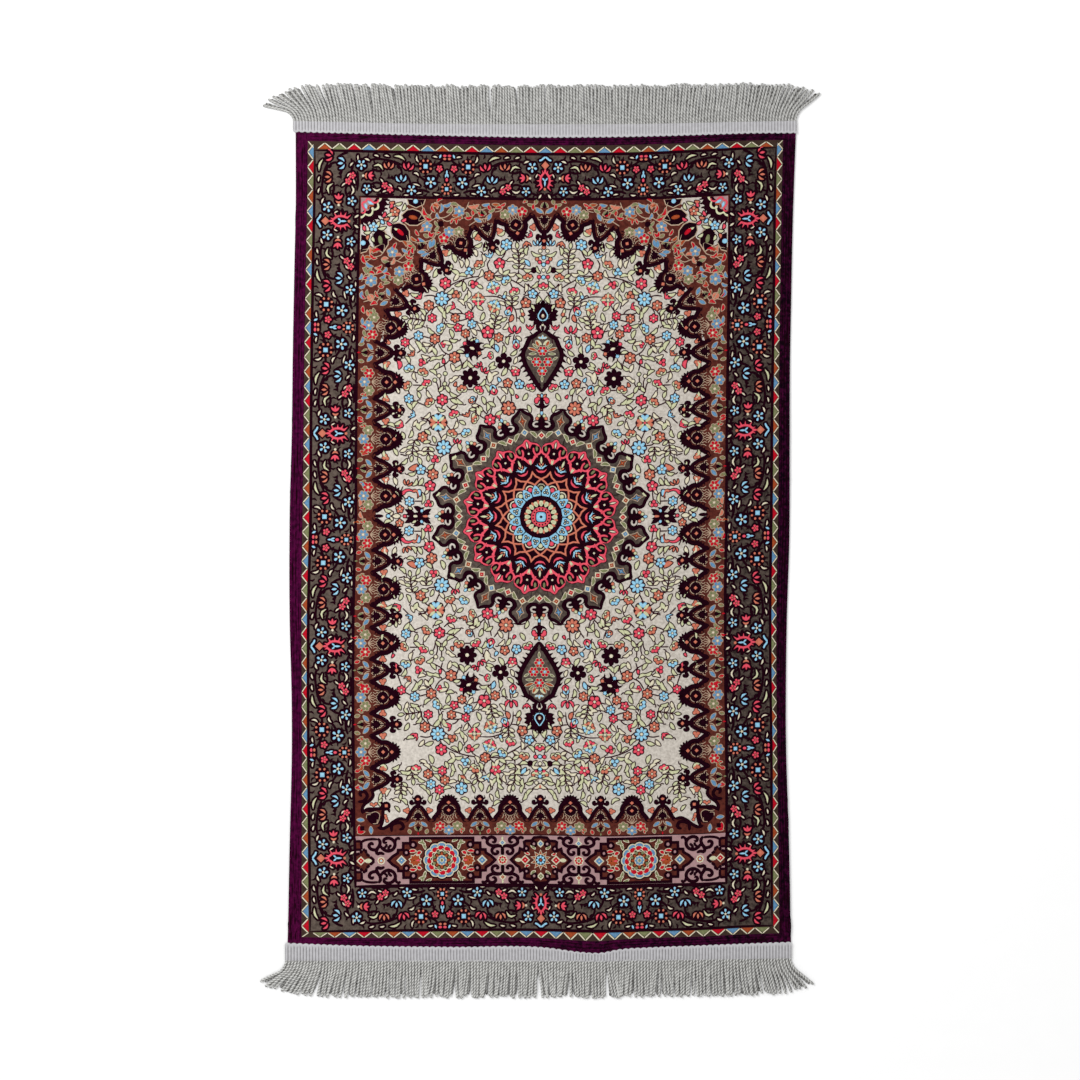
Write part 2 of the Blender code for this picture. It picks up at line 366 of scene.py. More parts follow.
@dataclass
class ClothMap:
    """Bends the straight chart to the cloth as it was woven, and gives the height of its face."""

    edge: float = 250.0  # chart x of the side edge
    line: float = 230.2  # chart x of the outer border line
    inner: float = 185.1  # chart x of the inner border line
    top_seam: float = 379.5
    top_line: float = 362.4
    top_inner: float = 318.7
    panel_line: float = -318.9  # dark line over the bottom panel
    panel_top: float = -319.4  # upper edge of the panel's own ground
    bottom_inner: float = -369.0
    bottom_line: float = -413.5
    bottom_seam: float = -431.0
    border_width: float = 0.0616  # metres from the outer to the inner border line
    half_length: float = 0.565
    lap_share: float = 0.55
    swell: float = 0.00022  # height of the soft unevenness
    shift: np.ndarray = field(init=False)
    face: float = field(init=False)

    def __post_init__(self) -> None:
        """Work out where the tables' middle lies in the frame, from the cloth's solid."""
        low, high = (np.array(corner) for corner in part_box("rug_cloth"))
        across = np.linspace(-1, 1, 29)
        along = np.linspace(-1, 1, 17)
        self.shift = np.zeros(2)
        x, y = self.outline(*np.meshgrid(across, along))
        self.shift = np.array([low[0] + high[0] - x.min() - x.max(), low[1] + high[1] - y.min() - y.max()]) / 2
        self.face = float(high[2])

    def cloth_end(self, end: Sequence[EndRow], x: np.ndarray) -> np.ndarray:
        """Y of the cloth's cut end under the tape, before the shift."""
        seam = column(end, "seam", x)
        return seam + self.lap_share * (column(end, "root", x) - seam)

    def outline(self, across: np.ndarray, along: np.ndarray) -> tuple[np.ndarray, np.ndarray]:
        """Place of a point of the whole cloth, from its shares -1 to 1 across and along."""
        level = along * self.half_length
        left, right = column(SIDES, "left", level), column(SIDES, "right", level)
        x = left + (right - left) * (across + 1) / 2
        bottom, top = self.cloth_end(BOTTOM_END, x), self.cloth_end(TOP_END, x)
        return x + self.shift[0], bottom + (top - bottom) * (along + 1) / 2 + self.shift[1]

    def place(self, x: np.ndarray, y: np.ndarray) -> tuple[np.ndarray, np.ndarray]:
        """Place on the cloth of chart points: straight between the woven lines, which follow the tables.

        Args:
            x: chart x, in woven points.
            y: chart y, in woven points.

        Returns:
            World x and y, in metres.
        """
        level = y * POINT - 0.0005
        lines = [column(SIDES, name, level) for name in ("left", "left_line", "right_line", "right")]
        lines = [lines[0], lines[1], lines[1] + self.border_width, lines[2] - self.border_width, lines[2], lines[3]]
        stations = (-self.edge, -self.line, -self.inner, self.inner, self.line, self.edge)
        across = self.between(x, stations, lines)
        ends = [column(end, name, across) for end in (BOTTOM_END, TOP_END) for name in ("seam", "line")]
        rows = [ends[0], ends[1], ends[1] + self.border_width, ends[3] - self.border_width, ends[3], ends[2]]
        levels = (self.bottom_seam, self.bottom_line, self.bottom_inner,
                  self.top_inner, self.top_line, self.top_seam)
        return across + self.shift[0], self.between(y, levels, rows) + self.shift[1]

    @staticmethod
    def between(value: np.ndarray, stations: Sequence[float], lines: Sequence[np.ndarray]) -> np.ndarray:
        """Sum of each span's width times the share of it that the value has passed."""
        total = lines[0]
        for low, high, near, far in zip(stations, stations[1:], lines, lines[1:]):
            total = total + (far - near) * np.clip((value - low) / (high - low), 0, 1)
        return total

    def height(self, x: np.ndarray, y: np.ndarray) -> np.ndarray:
        """Height of the cloth's face: its thickness and a soft unevenness of three crossed sine waves."""
        waves = (np.sin(21 * x + 9 * y + 0.4) + np.sin(-13 * x + 27 * y + 2.1) + np.sin(34 * x - 17 * y + 4.0)) / 3
        return self.face + self.swell * waves


# ---------------------------------------------------------------------------------------------------------
# Shapes
# ---------------------------------------------------------------------------------------------------------


Path = Sequence[tuple[float, float]]


class Outline(Enum):
    """How wide a blade is at each share of its length."""

    LEAF = "leaf"
    OVAL = "oval"
    PETAL = "petal"
    DROP = "drop"
    STROKE = "stroke"
    HORN = "horn"

    def width(self, a: np.ndarray) -> np.ndarray:
        """Share of the full width: sines and roots of the share of the length."""
        if self is Outline.LEAF:
            return np.sin(np.pi * a)
        if self is Outline.OVAL:
            return np.sqrt(np.clip(1 - (2 * a - 1) ** 2, 0, 1))
        if self is Outline.PETAL:
            return np.sqrt(np.clip(1 - (2 * a**1.5 - 1) ** 2, 0, 1))
        if self is Outline.DROP:
            return np.sin(np.pi * a**0.6) ** 0.9
        if self is Outline.STROKE:
            return np.sqrt(np.clip(1 - (2 * a - 1) ** 8, 0, 1))
        return np.sqrt(np.clip(a * 8, 0, 1)) * (1 - a) ** 0.8


def placed(x: float = 0.0, y: float = 0.0, turn: float = 0.0, size: float = 1.0, flip: bool = False) -> np.ndarray:
    """Matrix that scales, mirrors in x, turns anticlockwise by degrees and moves, in this order."""
    c, s = math.cos(math.radians(turn)) * size, math.sin(math.radians(turn)) * size
    side = -1.0 if flip else 1.0
    return np.array([[c * side, -s, x], [s * side, c, y]])


def polar(angle: float, radius: float, turn: float = 0.0, size: float = 1.0) -> np.ndarray:
    """Matrix of a place at a compass angle (degrees, clockwise from +y) and radius, with +y facing outwards."""
    a = math.radians(angle)
    return placed(radius * math.sin(a), radius * math.cos(a), turn - angle, size)


def after(outer: np.ndarray, inner: np.ndarray) -> np.ndarray:
    """Matrix of the inner placement followed by the outer one."""
    return np.hstack([outer[:, :2] @ inner[:, :2], outer[:, :2] @ inner[:, 2:] + outer[:, 2:]])


def turned(path: Path, side: float = 1.0, up: float = 1.0) -> tuple[tuple[float, float], ...]:
    """Path with each x times side and each y times up."""
    return tuple((side * x, up * y) for x, y in path)


def whole(half: Path) -> list[tuple[float, float]]:
    """Closed outline: a half one that ends on the upright axis, and its mirror image."""
    first = 0 if half[0][0] == 0 else None
    return list(half) + [(-x, y) for x, y in half[-2:first:-1]]


@dataclass(frozen=True)
class Shape:
    """Flat shape with a crown: points, height shares from 0 at the rim to 1, and triangles."""

    xy: np.ndarray
    height: np.ndarray
    faces: np.ndarray

    def at(self, *args: float, **kwargs: float) -> "Shape":
        """Copy placed by placed()."""
        matrix = placed(*args, **kwargs)
        faces = self.faces if np.linalg.det(matrix[:, :2]) > 0 else self.faces[:, ::-1]
        return Shape(self.xy @ matrix[:, :2].T + matrix[:, 2], self.height, faces)

    def ring(self, count: int, first: float = 0.0) -> "Shape":
        """Copies turned about the origin in equal steps, the first by an angle in degrees."""
        turns = np.radians(first) + np.arange(count) * math.tau / count
        c, s = np.cos(turns)[:, None], np.sin(turns)[:, None]
        x, y = self.xy.T
        xy = np.stack([x * c - y * s, x * s + y * c], axis=-1).reshape(-1, 2)
        faces = (self.faces[None] + (np.arange(count) * len(x))[:, None, None]).reshape(-1, 3)
        return Shape(xy, np.tile(self.height, count), faces)

    def mirrored(self) -> "Shape":
        """This shape and its mirror image in x."""
        return self + self.at(flip=True)

    def __add__(self, other: "Shape") -> "Shape":
        """Both shapes as one."""
        faces = np.vstack([self.faces, other.faces + len(self.xy)])
        return Shape(np.vstack([self.xy, other.xy]), np.concatenate([self.height, other.height]), faces)


@lru_cache(maxsize=None)
def blade_faces(steps: int) -> np.ndarray:
    """Triangles of a blade: a tip, rows of left, ridge and right points, and a tip."""
    rows = 1 + 3 * np.arange(steps - 2)[:, None]
    quads = np.vstack([np.hstack([rows + k, rows + k + 1, rows + k + 4, rows + k + 3]) for k in (0, 1)])
    last = 1 + 3 * (steps - 1)
    tips = np.array([[0, 2, 1], [0, 3, 2], [last, last - 3, last - 2], [last, last - 2, last - 1]])
    return np.vstack([tips, quads[:, [0, 1, 2]], quads[:, [0, 2, 3]]])


@lru_cache(maxsize=None)
def blade(spine: tuple[tuple[float, float], ...], width: float, outline: Outline = Outline.LEAF,
          steps: int = 6, grow: float = 0.0) -> Shape:
    """Leaf, petal or stroke: spine(a) + b * half width(a) * normal(a), with the height of a ridge.

    Args:
        spine: chart points that the middle line passes, smoothed by a cubic curve.
        width: full width at the widest place.
        outline: how the width changes along the spine.
        steps: spans along the spine, closer together near its ends.
        grow: how far the shape is widened and lengthened on all sides.

    Returns:
        The shape.
    """
    points = np.array(spine, float)
    reach = np.concatenate([[0], np.cumsum(np.hypot(*np.diff(points, axis=0).T))])
    a = (1 - np.cos(np.linspace(0, np.pi, steps + 1))) / 2
    along = a * (reach[-1] + 2 * grow) - grow
    fine = np.clip(along, 0, reach[-1])
    middle = np.stack([smooth(reach, points[:, k], fine) for k in (0, 1)], axis=1)
    nudge = reach[-1] * 1e-3
    ahead, behind = (np.stack([smooth(reach, points[:, k], np.clip(fine + step, 0, reach[-1])) for k in (0, 1)], axis=1)
                     for step in (nudge, -nudge))
    tangent = ahead - behind
    tangent /= np.hypot(*tangent.T)[:, None]
    middle = middle + tangent * (along - fine)[:, None]
    half = width / 2 * outline.width(a) + grow * Outline.STROKE.width(a) * 0.95
    side = np.stack([-tangent[:, 1], tangent[:, 0]], axis=1) * half[:, None]
    body = np.stack([middle + side, middle, middle - side], axis=1)[1:-1].reshape(-1, 2)
    height = np.tile([0.0, 1.0, 0.0], steps - 1)
    xy = np.vstack([middle[:1], body, middle[-1:]])
    return Shape(xy, np.concatenate([[0], height, [0]]), blade_faces(steps)[:, ::-1])


@lru_cache(maxsize=None)
def disc_faces(count: int, rings: int) -> np.ndarray:
    """Triangles of a disc: a fan round its middle, then bands of quads."""
    k = np.arange(count)
    after_k = (k + 1) % count
    parts = [np.stack([np.zeros(count, int), 1 + k, 1 + after_k], 1)]
    for ring in range(rings - 1):
        inner, outer = 1 + ring * count, 1 + (ring + 1) * count
        parts += [np.stack([inner + k, outer + k, outer + after_k], 1),
                  np.stack([inner + k, outer + after_k, inner + after_k], 1)]
    return np.vstack(parts)


def disc(radii: np.ndarray, rings: int = 1) -> Shape:
    """Round shape: share * radius(angle) in each direction, height 1 - share squared, angles from +x."""
    radii = np.asarray(radii, float)
    angle = np.arange(len(radii)) * math.tau / len(radii)
    shares = (np.arange(rings) + 1) / rings
    reach = shares[:, None] * radii
    xy = np.stack([reach * np.cos(angle), reach * np.sin(angle)], axis=-1).reshape(-1, 2)
    height = np.repeat(1 - shares**2, len(radii))
    return Shape(np.vstack([[[0, 0]], xy]), np.concatenate([[1], height]), disc_faces(len(radii), rings))


@lru_cache(maxsize=None)
def dot(radius: float, sides: int = 8, rings: int = 1) -> Shape:
    """Round dot: the same radius in every direction."""
    return disc(np.full(sides, radius), rings)


@lru_cache(maxsize=None)
def oval(across: float, along: float, sides: int = 8, rings: int = 1) -> Shape:
    """Ellipse with half-axes across x and along y."""
    shape = dot(1.0, sides, rings)
    return Shape(shape.xy * (across, along), shape.height, shape.faces)


@lru_cache(maxsize=None)
def lobed(radius: float, depth: float, lobes: int, sides: int = 40, first: float = 90.0, sharp: float = 1.0) -> Shape:
    """Lobed disc: radius - depth * (1 - |cos(half the lobes times the angle)| ** sharp)."""
    angle = np.arange(sides) * math.tau / sides - math.radians(first)
    return disc(radius - depth * (1 - np.abs(np.cos(lobes * angle / 2)) ** sharp))


@lru_cache(maxsize=None)
def spiky(radius: float, depth: float, points: int, first: float = 90.0) -> Shape:
    """Star: the radius at each point and radius - depth between two points."""
    radii = np.where(np.arange(2 * points) % 2 == 0, radius, radius - depth)
    return disc(radii).at(turn=first)


def patch(points: Sequence[tuple[float, float]], middle: tuple[float, float] = (0.0, 0.0), rings: int = 1,
          crown: float = 0.0) -> Shape:
    """Filled outline: middle + share * (outline - middle), flat or with a crown at its middle.

    Args:
        points: the outline, seen whole from the middle.
        middle: centre of the fan.
        rings: number of equal shares, more where a wide patch has to bend with the cloth.
        crown: height share of the middle.

    Returns:
        The shape.
    """
    rim = np.array(points, float)
    area = np.sum(rim[:, 0] * np.roll(rim[:, 1], -1) - np.roll(rim[:, 0], -1) * rim[:, 1])
    shares = (np.arange(rings) + 1)[:, None, None] / rings
    xy = (np.array(middle) + shares * (rim - middle)).reshape(-1, 2)
    height = np.repeat(crown * (1 - shares.ravel()), len(rim))
    faces = disc_faces(len(rim), rings)
    return Shape(np.vstack([[middle], xy]), np.concatenate([[crown], height]), faces if area > 0 else faces[:, ::-1])


@lru_cache(maxsize=None)
def loop(points: tuple[tuple[float, float], ...], width: float) -> Shape:
    """Closed line with mitred corners: point + b * half width * mitre, with the height of a ridge."""
    corners = np.array(points, float)
    ahead = np.roll(corners, -1, axis=0) - corners
    ahead /= np.hypot(*ahead.T)[:, None]
    side = np.stack([-ahead[:, 1], ahead[:, 0]], axis=1)
    mitre = side + np.roll(side, 1, axis=0)
    mitre *= width / 2 / np.maximum((mitre * side).sum(axis=1, keepdims=True), 0.45)
    xy = np.stack([corners + mitre, corners, corners - mitre], axis=1).reshape(-1, 2)
    k = np.arange(len(corners))
    follow = (k + 1) % len(corners)
    quads = np.vstack([np.stack([3 * k + row + 1, 3 * follow + row + 1, 3 * follow + row, 3 * k + row], 1)
                       for row in (0, 1)])
    return Shape(xy, np.tile([0.0, 1.0, 0.0], len(k)), np.vstack([quads[:, [0, 1, 2]], quads[:, [0, 2, 3]]]))


@lru_cache(maxsize=None)
def panel(x0: float, x1: float, y0: float, y1: float, step: float = 12.0) -> Shape:
    """Flat rectangle in a grid, so that it bends with the cloth."""
    nx, ny = max(1, round((x1 - x0) / step)), max(1, round((y1 - y0) / step))
    x, y = np.meshgrid(np.linspace(x0, x1, nx + 1), np.linspace(y0, y1, ny + 1))
    k = (np.arange(nx)[None] + (nx + 1) * np.arange(ny)[:, None]).ravel()
    faces = np.vstack([np.stack([k, k + 1, k + nx + 2], 1), np.stack([k, k + nx + 2, k + nx + 1], 1)])
    return Shape(np.stack([x.ravel(), y.ravel()], 1), np.zeros(x.size), faces)


def frame_ring(inner: tuple[float, float, float], outer: tuple[float, float, float]) -> Shape:
    """Flat rectangular ring between two rectangles, each given by its half width, bottom and top."""
    (ix, ib, it), (ox, ob, ot) = inner, outer
    sides = panel(-ox, -ix, ob, ot) + panel(ix, ox, ob, ot)
    return sides + panel(-ix, ix, ob, ib) + panel(-ix, ix, it, ot)


# ---------------------------------------------------------------------------------------------------------
# Chart
# ---------------------------------------------------------------------------------------------------------


class Layer(Enum):
    """Height of a shape's rim and crown over its ground, in millimetres."""

    GROUND = (0.0, 0.0001)
    OUTLINE = (0.03, 0.16)
    FILL = (0.14, 0.44)
    EYE = (0.22, 0.58)


IDENTITY = placed()
MIRROR = placed(flip=True)


def scatter(rng: np.random.Generator, low: tuple[float, float], high: tuple[float, float],
            taken: Sequence[tuple[float, float, float]], gap: float, tries: int) -> list[tuple[float, float]]:
    """Random places in a box that keep clear of one another and of what is there already.

    Args:
        rng: the random numbers.
        low: least x and y.
        high: greatest x and y.
        taken: x, y and clearance of what is there.
        gap: least distance between two of the places.
        tries: number of places drawn.

    Returns:
        The places kept.
    """
    filled = np.array([(x, y, clear) for x, y, clear in taken])
    kept: list[tuple[float, float]] = []
    for x, y in rng.uniform(low, high, (tries, 2)):
        if np.all(np.hypot(filled[:, 0] - x, filled[:, 1] - y) >= filled[:, 2]):
            filled = np.vstack([filled, (x, y, gap)])
            kept.append((round(float(x), 1), round(float(y), 1)))
    return kept


class Chart:
    """Collects shapes by yarn, and sets each yarn's shapes into one mesh."""

    def __init__(self, cloth: ClothMap) -> None:
        """Start empty, with one copy of each shape and no ground under it."""
        self.cloth = cloth
        self.shapes: dict[str, list[tuple[np.ndarray, np.ndarray, np.ndarray]]] = {}
        self.copies: list[np.ndarray] = [IDENTITY]
        self.ground = 0.0
        self.zone = "rug"

    def start(self, zone: str, ground: float, copies: Sequence[np.ndarray] = (IDENTITY,)) -> None:
        """Set the zone's name, its ground's height in millimetres, and the copies of each shape."""
        self.zone, self.ground, self.copies = zone, ground, list(copies)

    def lay(self, ink: Ink, shape: Shape, layer: Layer, at: np.ndarray = IDENTITY, lift: float = 0.0) -> None:
        """Lay a shape once for each copy.

        Args:
            ink: its yarn.
            shape: the shape, in its own axes.
            layer: its rim and crown.
            at: where it goes in the zone's chart.
            lift: extra height in millimetres.
        """
        name = f"{self.zone}_{ink.value}" if ink is Ink.DARK else ink.value
        rim, crown = layer.value
        height = self.ground + lift + rim + (crown - rim) * shape.height
        for copy in self.copies:
            matrix = after(copy, at)
            xy = shape.xy @ matrix[:, :2].T + matrix[:, 2]
            faces = shape.faces if np.linalg.det(matrix[:, :2]) > 0 else shape.faces[:, ::-1]
            self.shapes.setdefault(name, []).append((np.column_stack([xy, height, shape.height]), faces, layer))

    def berry(self, at: np.ndarray, ink: Ink, rim: float, radius: float, sides: tuple[int, int] = (9, 8),
              edge: Ink = Ink.DARK, lift: float = 0.0) -> None:
        """Lay a round berry on a disc of the edge's yarn."""
        self.lay(edge, dot(rim, sides[0]), Layer.OUTLINE, at, lift)
        self.lay(ink, dot(radius, sides[1], 2), Layer.FILL, at, lift)

    def meshes(self) -> Iterable[tuple[str, np.ndarray, np.ndarray, np.ndarray]]:
        """World points, triangles and crown shares of each yarn's shapes, bent to the cloth."""
        for name, parts in self.shapes.items():
            counts = np.cumsum([0] + [len(points) for points, _, _ in parts])
            points = np.vstack([part[0] for part in parts])
            faces = np.vstack([part[1] + start for part, start in zip(parts, counts)])
            flat = np.concatenate([np.full(len(p), layer is Layer.GROUND) for p, _, layer in parts])
            x, y = self.cloth.place(points[:, 0], points[:, 1])
            z = self.cloth.height(x, y) + points[:, 2] * MM
            yield name, np.column_stack([x, y, z]), faces, np.where(flat, 1.0, points[:, 3])


def mesh_piece(name: str, points: np.ndarray, faces: np.ndarray, crown: np.ndarray | None = None,
               unwrap: np.ndarray | None = None) -> bpy.types.Object:
    """Smooth mesh object from arrays.

    Args:
        name: the piece's name.
        points: vertices, in metres.
        faces: triangles or quads, as rows of vertex numbers.
        crown: share of the crown's height at each vertex; the materials paint shade where it is low.
        unwrap: map place of each face corner, or none for the plan seen from above.

    Returns:
        The object, at the origin, linked to the scene.
    """
    mesh = bpy.data.meshes.new(name)
    sides = faces.shape[1]
    mesh.vertices.add(len(points))
    mesh.vertices.foreach_set("co", points.astype(np.float32).ravel())
    mesh.loops.add(faces.size)
    mesh.loops.foreach_set("vertex_index", faces.astype(np.int32).ravel())
    mesh.polygons.add(len(faces))
    mesh.polygons.foreach_set("loop_start", np.arange(0, faces.size, sides, dtype=np.int32))
    mesh.polygons.foreach_set("use_smooth", np.ones(len(faces), bool))
    if crown is not None:
        mesh.attributes.new("crown", "FLOAT", "POINT").data.foreach_set("value", crown.astype(np.float32))
    mesh.update(calc_edges=True)
    if unwrap is None:
        low, span = points[:, :2].min(axis=0), np.ptp(points[:, :2], axis=0)
        unwrap = ((points[:, :2] - low) / span)[faces.ravel()]
    mesh.uv_layers.new(name="OFBake").data.foreach_set("uv", unwrap.astype(np.float32).ravel())
    obj = bpy.data.objects.new(name, mesh)
    bpy.context.scene.collection.objects.link(obj)
    return obj


# ---------------------------------------------------------------------------------------------------------
# Motifs
# ---------------------------------------------------------------------------------------------------------


@dataclass
class Motifs:
    """Flowers, leaves and scrolls, each with its dark outline, drawn with +y as their own up."""

    chart: Chart
    edge: float = 0.95  # width of the outline
    rim: Ink = Ink.DARK  # yarn of the outline
    line: float = 1.0  # share of a stem's usual width

    def outlined(self, ink: Ink, at: np.ndarray, *blades: tuple, lift: float = 0.0) -> None:
        """Blades with a dark outline: each is the arguments of blade()."""
        for arguments in blades:
            self.chart.lay(self.rim, blade(*arguments, grow=self.edge), Layer.OUTLINE, at, lift)
            self.chart.lay(ink, blade(*arguments), Layer.FILL, at, lift)

    def both(self, ink: Ink, at: np.ndarray, spine: Path, width: float, outline: Outline = Outline.LEAF) -> None:
        """Outlined blade along a line, then one along its mirror image."""
        self.outlined(ink, at, (spine, width, outline, 6), (turned(spine, -1), width, outline, 6))

    def flower(self, at: np.ndarray, ink: Ink, radius: float = 5.0, petals: int = 6, eye: Ink = Ink.CREAM,
               plump: float = 1.0) -> None:
        """Open flower: oval petals on a lobed dark ground, round an eye with a dark ring."""
        lay = self.chart.lay
        lay(self.rim, lobed(radius + self.edge, 1.0, petals, petals * 6), Layer.OUTLINE, at)
        half = min(0.36 * radius, 0.62 * radius * math.sin(math.pi / petals) * 0.93) * plump
        one = oval(half, 0.37 * radius, 8, 2).at(0, 0.63 * radius)
        lay(ink, one.ring(petals), Layer.FILL, at)
        lay(eye, dot(0.22 * radius), Layer.EYE, at)

    def aster(self, at: np.ndarray, ink: Ink, radius: float = 5.2, petals: int = 5, eye: Ink = Ink.CREAM) -> None:
        """Thin-petalled flower of the border: drops round a star-shaped eye on a dark ground."""
        lay = self.chart.lay
        lay(self.rim, lobed(radius + 2.3, 1.0, petals, petals * 6), Layer.OUTLINE, at)
        petal = blade(((0, 0.34 * radius), (0, radius)), 0.46 * radius, Outline.PETAL, 6)
        lay(ink, petal.ring(petals), Layer.FILL, at)
        lay(eye, spiky(0.36 * radius, 0.2 * radius, petals), Layer.EYE, at)

    def leaf(self, at: np.ndarray, ink: Ink, length: float = 8.0, width: float = 3.2, bend: float = 0.0) -> None:
        """Pointed leaf from its stalk at the origin, bent sideways in its middle."""
        spine = ((0, 0), (bend, length * 0.5), (0, length)) if bend else ((0, 0), (0, length))
        self.outlined(ink, at, (spine, width, Outline.LEAF, 6 if not bend else 7))

    def tulip(self, at: np.ndarray, ink: Ink, size: float = 6.0) -> None:
        """Bud of three petals that open upwards."""
        s = size / 6
        side_petal = ((1.0 * s, 0), (3.4 * s, 1.6 * s), (4.3 * s, 4.8 * s))
        self.outlined(ink, at, (((0, 1.0 * s), (0, 5.6 * s)), 2.1 * s, Outline.LEAF, 6))
        self.both(ink, at, side_petal, 1.8 * s)

    def posy(self, at: np.ndarray, ink: Ink, size: float = 6.0, leaf: Ink = Ink.LEAF) -> None:
        """Three round petals over a pale eye, held by two leaves that curl out below."""
        s = size / 6
        lay = self.chart.lay
        for x, y in ((0, 3.6), (-3.2, 1.8), (3.2, 1.8)):
            spot = after(at, placed(x * s, y * s))
            self.chart.berry(spot, ink, 2.1 * s + self.edge * 0.8, 1.95 * s, (10, 9), self.rim)
        lay(self.rim, dot(1.9 * s, 8), Layer.OUTLINE, at)
        lay(Ink.CREAM, dot(1.2 * s), Layer.EYE, at)
        self.both(leaf, at, ((0, -1.8 * s), (3.2 * s, -1.9 * s), (5.6 * s, 1.0 * s)), 1.9 * s)

    def trefoil(self, at: np.ndarray, ink: Ink, size: float = 4.0, leaf: Ink | None = Ink.LEAF) -> None:
        """Three round berries in a triangle, with a leaf on one side."""
        s = size / 4
        for x, y in ((0, 2.4), (-2.2, -1.2), (2.2, -1.2)):
            spot = after(at, placed(x * s, y * s))
            self.chart.berry(spot, ink, 2.0 * s + self.edge * 0.8, 1.9 * s, (10, 9), self.rim)
        if leaf:
            self.outlined(leaf, at, (((3.4 * s, -2.6 * s), (4.6 * s, 0), (3.6 * s, 3.0 * s)), 1.6 * s, Outline.LEAF, 6))

    def sprig(self, at: np.ndarray, ink: Ink = Ink.LEAF, pairs: int = 3, step: float = 5.6, reach: float = 5.6,
              width: float = 2.7, bend: float = 0.0) -> None:
        """Straight twig with pairs of leaves and one at its tip."""
        length = pairs * step
        self.stem(at, ((0, 0), (bend, length / 2), (0, length)))
        for k in range(pairs):
            lean = bend * math.sin(math.pi * (k + 0.4) / pairs)
            for side in (-1, 1):
                spot = after(at, placed(lean + side * 0.8, (k + 0.3) * step, -side * 58))
                tint = Ink.CREAM if (k + (side > 0)) % 2 else ink
                self.leaf(spot, tint, reach, width)
        self.leaf(after(at, placed(0, length)), ink, reach, width)

    def stem(self, at: np.ndarray, spine: tuple[tuple[float, float], ...], width: float = 1.15) -> None:
        """Thin dark vine along a smooth line."""
        steps = max(6, 4 * len(spine))
        self.chart.lay(self.rim, blade(spine, width * self.line, Outline.STROKE, steps), Layer.OUTLINE, at, -0.02)

    def lily(self, at: np.ndarray, ink: Ink, size: float = 6.0) -> None:
        """Bell flower seen from the side: a cup with two lips that curl back."""
        s = size / 6
        self.outlined(ink, at, (((0, 0), (0.2 * s, 2.6 * s), (0, 5.0 * s)), 3.0 * s, Outline.DROP, 6))
        self.both(ink, at, ((0.4 * s, 1.6 * s), (3.0 * s, 2.8 * s), (4.4 * s, 5.8 * s)), 2.0 * s, Outline.HORN)

    def bud(self, at: np.ndarray, ink: Ink, size: float = 4.0, tip: Ink | None = None) -> None:
        """Closed bud, with a second colour at its tip if given."""
        self.outlined(ink, at, (((0, 0), (0, size)), size * 0.62, Outline.DROP, 6))
        if tip:
            self.outlined(tip, at, (((0, size * 0.55), (0, size * 1.5)), size * 0.5, Outline.LEAF, 6))

    def bicolour(self, at: np.ndarray, first: Ink, second: Ink, size: float = 10.0) -> None:
        """Slanting bud of two colours round a pale heart."""
        s = size / 10
        self.both(first, at, ((0, 0), (-2.6 * s, 3.0 * s), (-1.2 * s, 6.4 * s)), 2.2 * s)
        self.both(second, at, ((-2.6 * s, 5.0 * s), (-2.2 * s, 8.0 * s), (0, 10.4 * s)), 1.9 * s)
        self.chart.lay(Ink.CREAM, oval(1.2 * s, 1.9 * s), Layer.EYE, after(at, placed(0, 4.8 * s)))
        self.chart.lay(self.rim, oval(3.0 * s, 4.6 * s, 12), Layer.OUTLINE, after(at, placed(0, 4.8 * s)), -0.02)

    def gem(self, at: np.ndarray, ink: Ink, size: float = 3.2, rim: Ink = Ink.CREAM, eye: Ink = Ink.CREAM) -> None:
        """Small lozenge with a pale rim and a pale eye."""
        lay = self.chart.lay
        lay(self.rim, spiky(size + 1.6, 0, 2, 0), Layer.OUTLINE, at, -0.02)
        lay(rim, spiky(size + 0.9, 0, 2, 0), Layer.OUTLINE, at, 0.06)
        lay(ink, spiky(size, 0, 2, 0), Layer.FILL, at)
        lay(eye, dot(size * 0.26, 6), Layer.EYE, at, 0.05)


# ---------------------------------------------------------------------------------------------------------
# Cloth, grounds and lines
# ---------------------------------------------------------------------------------------------------------


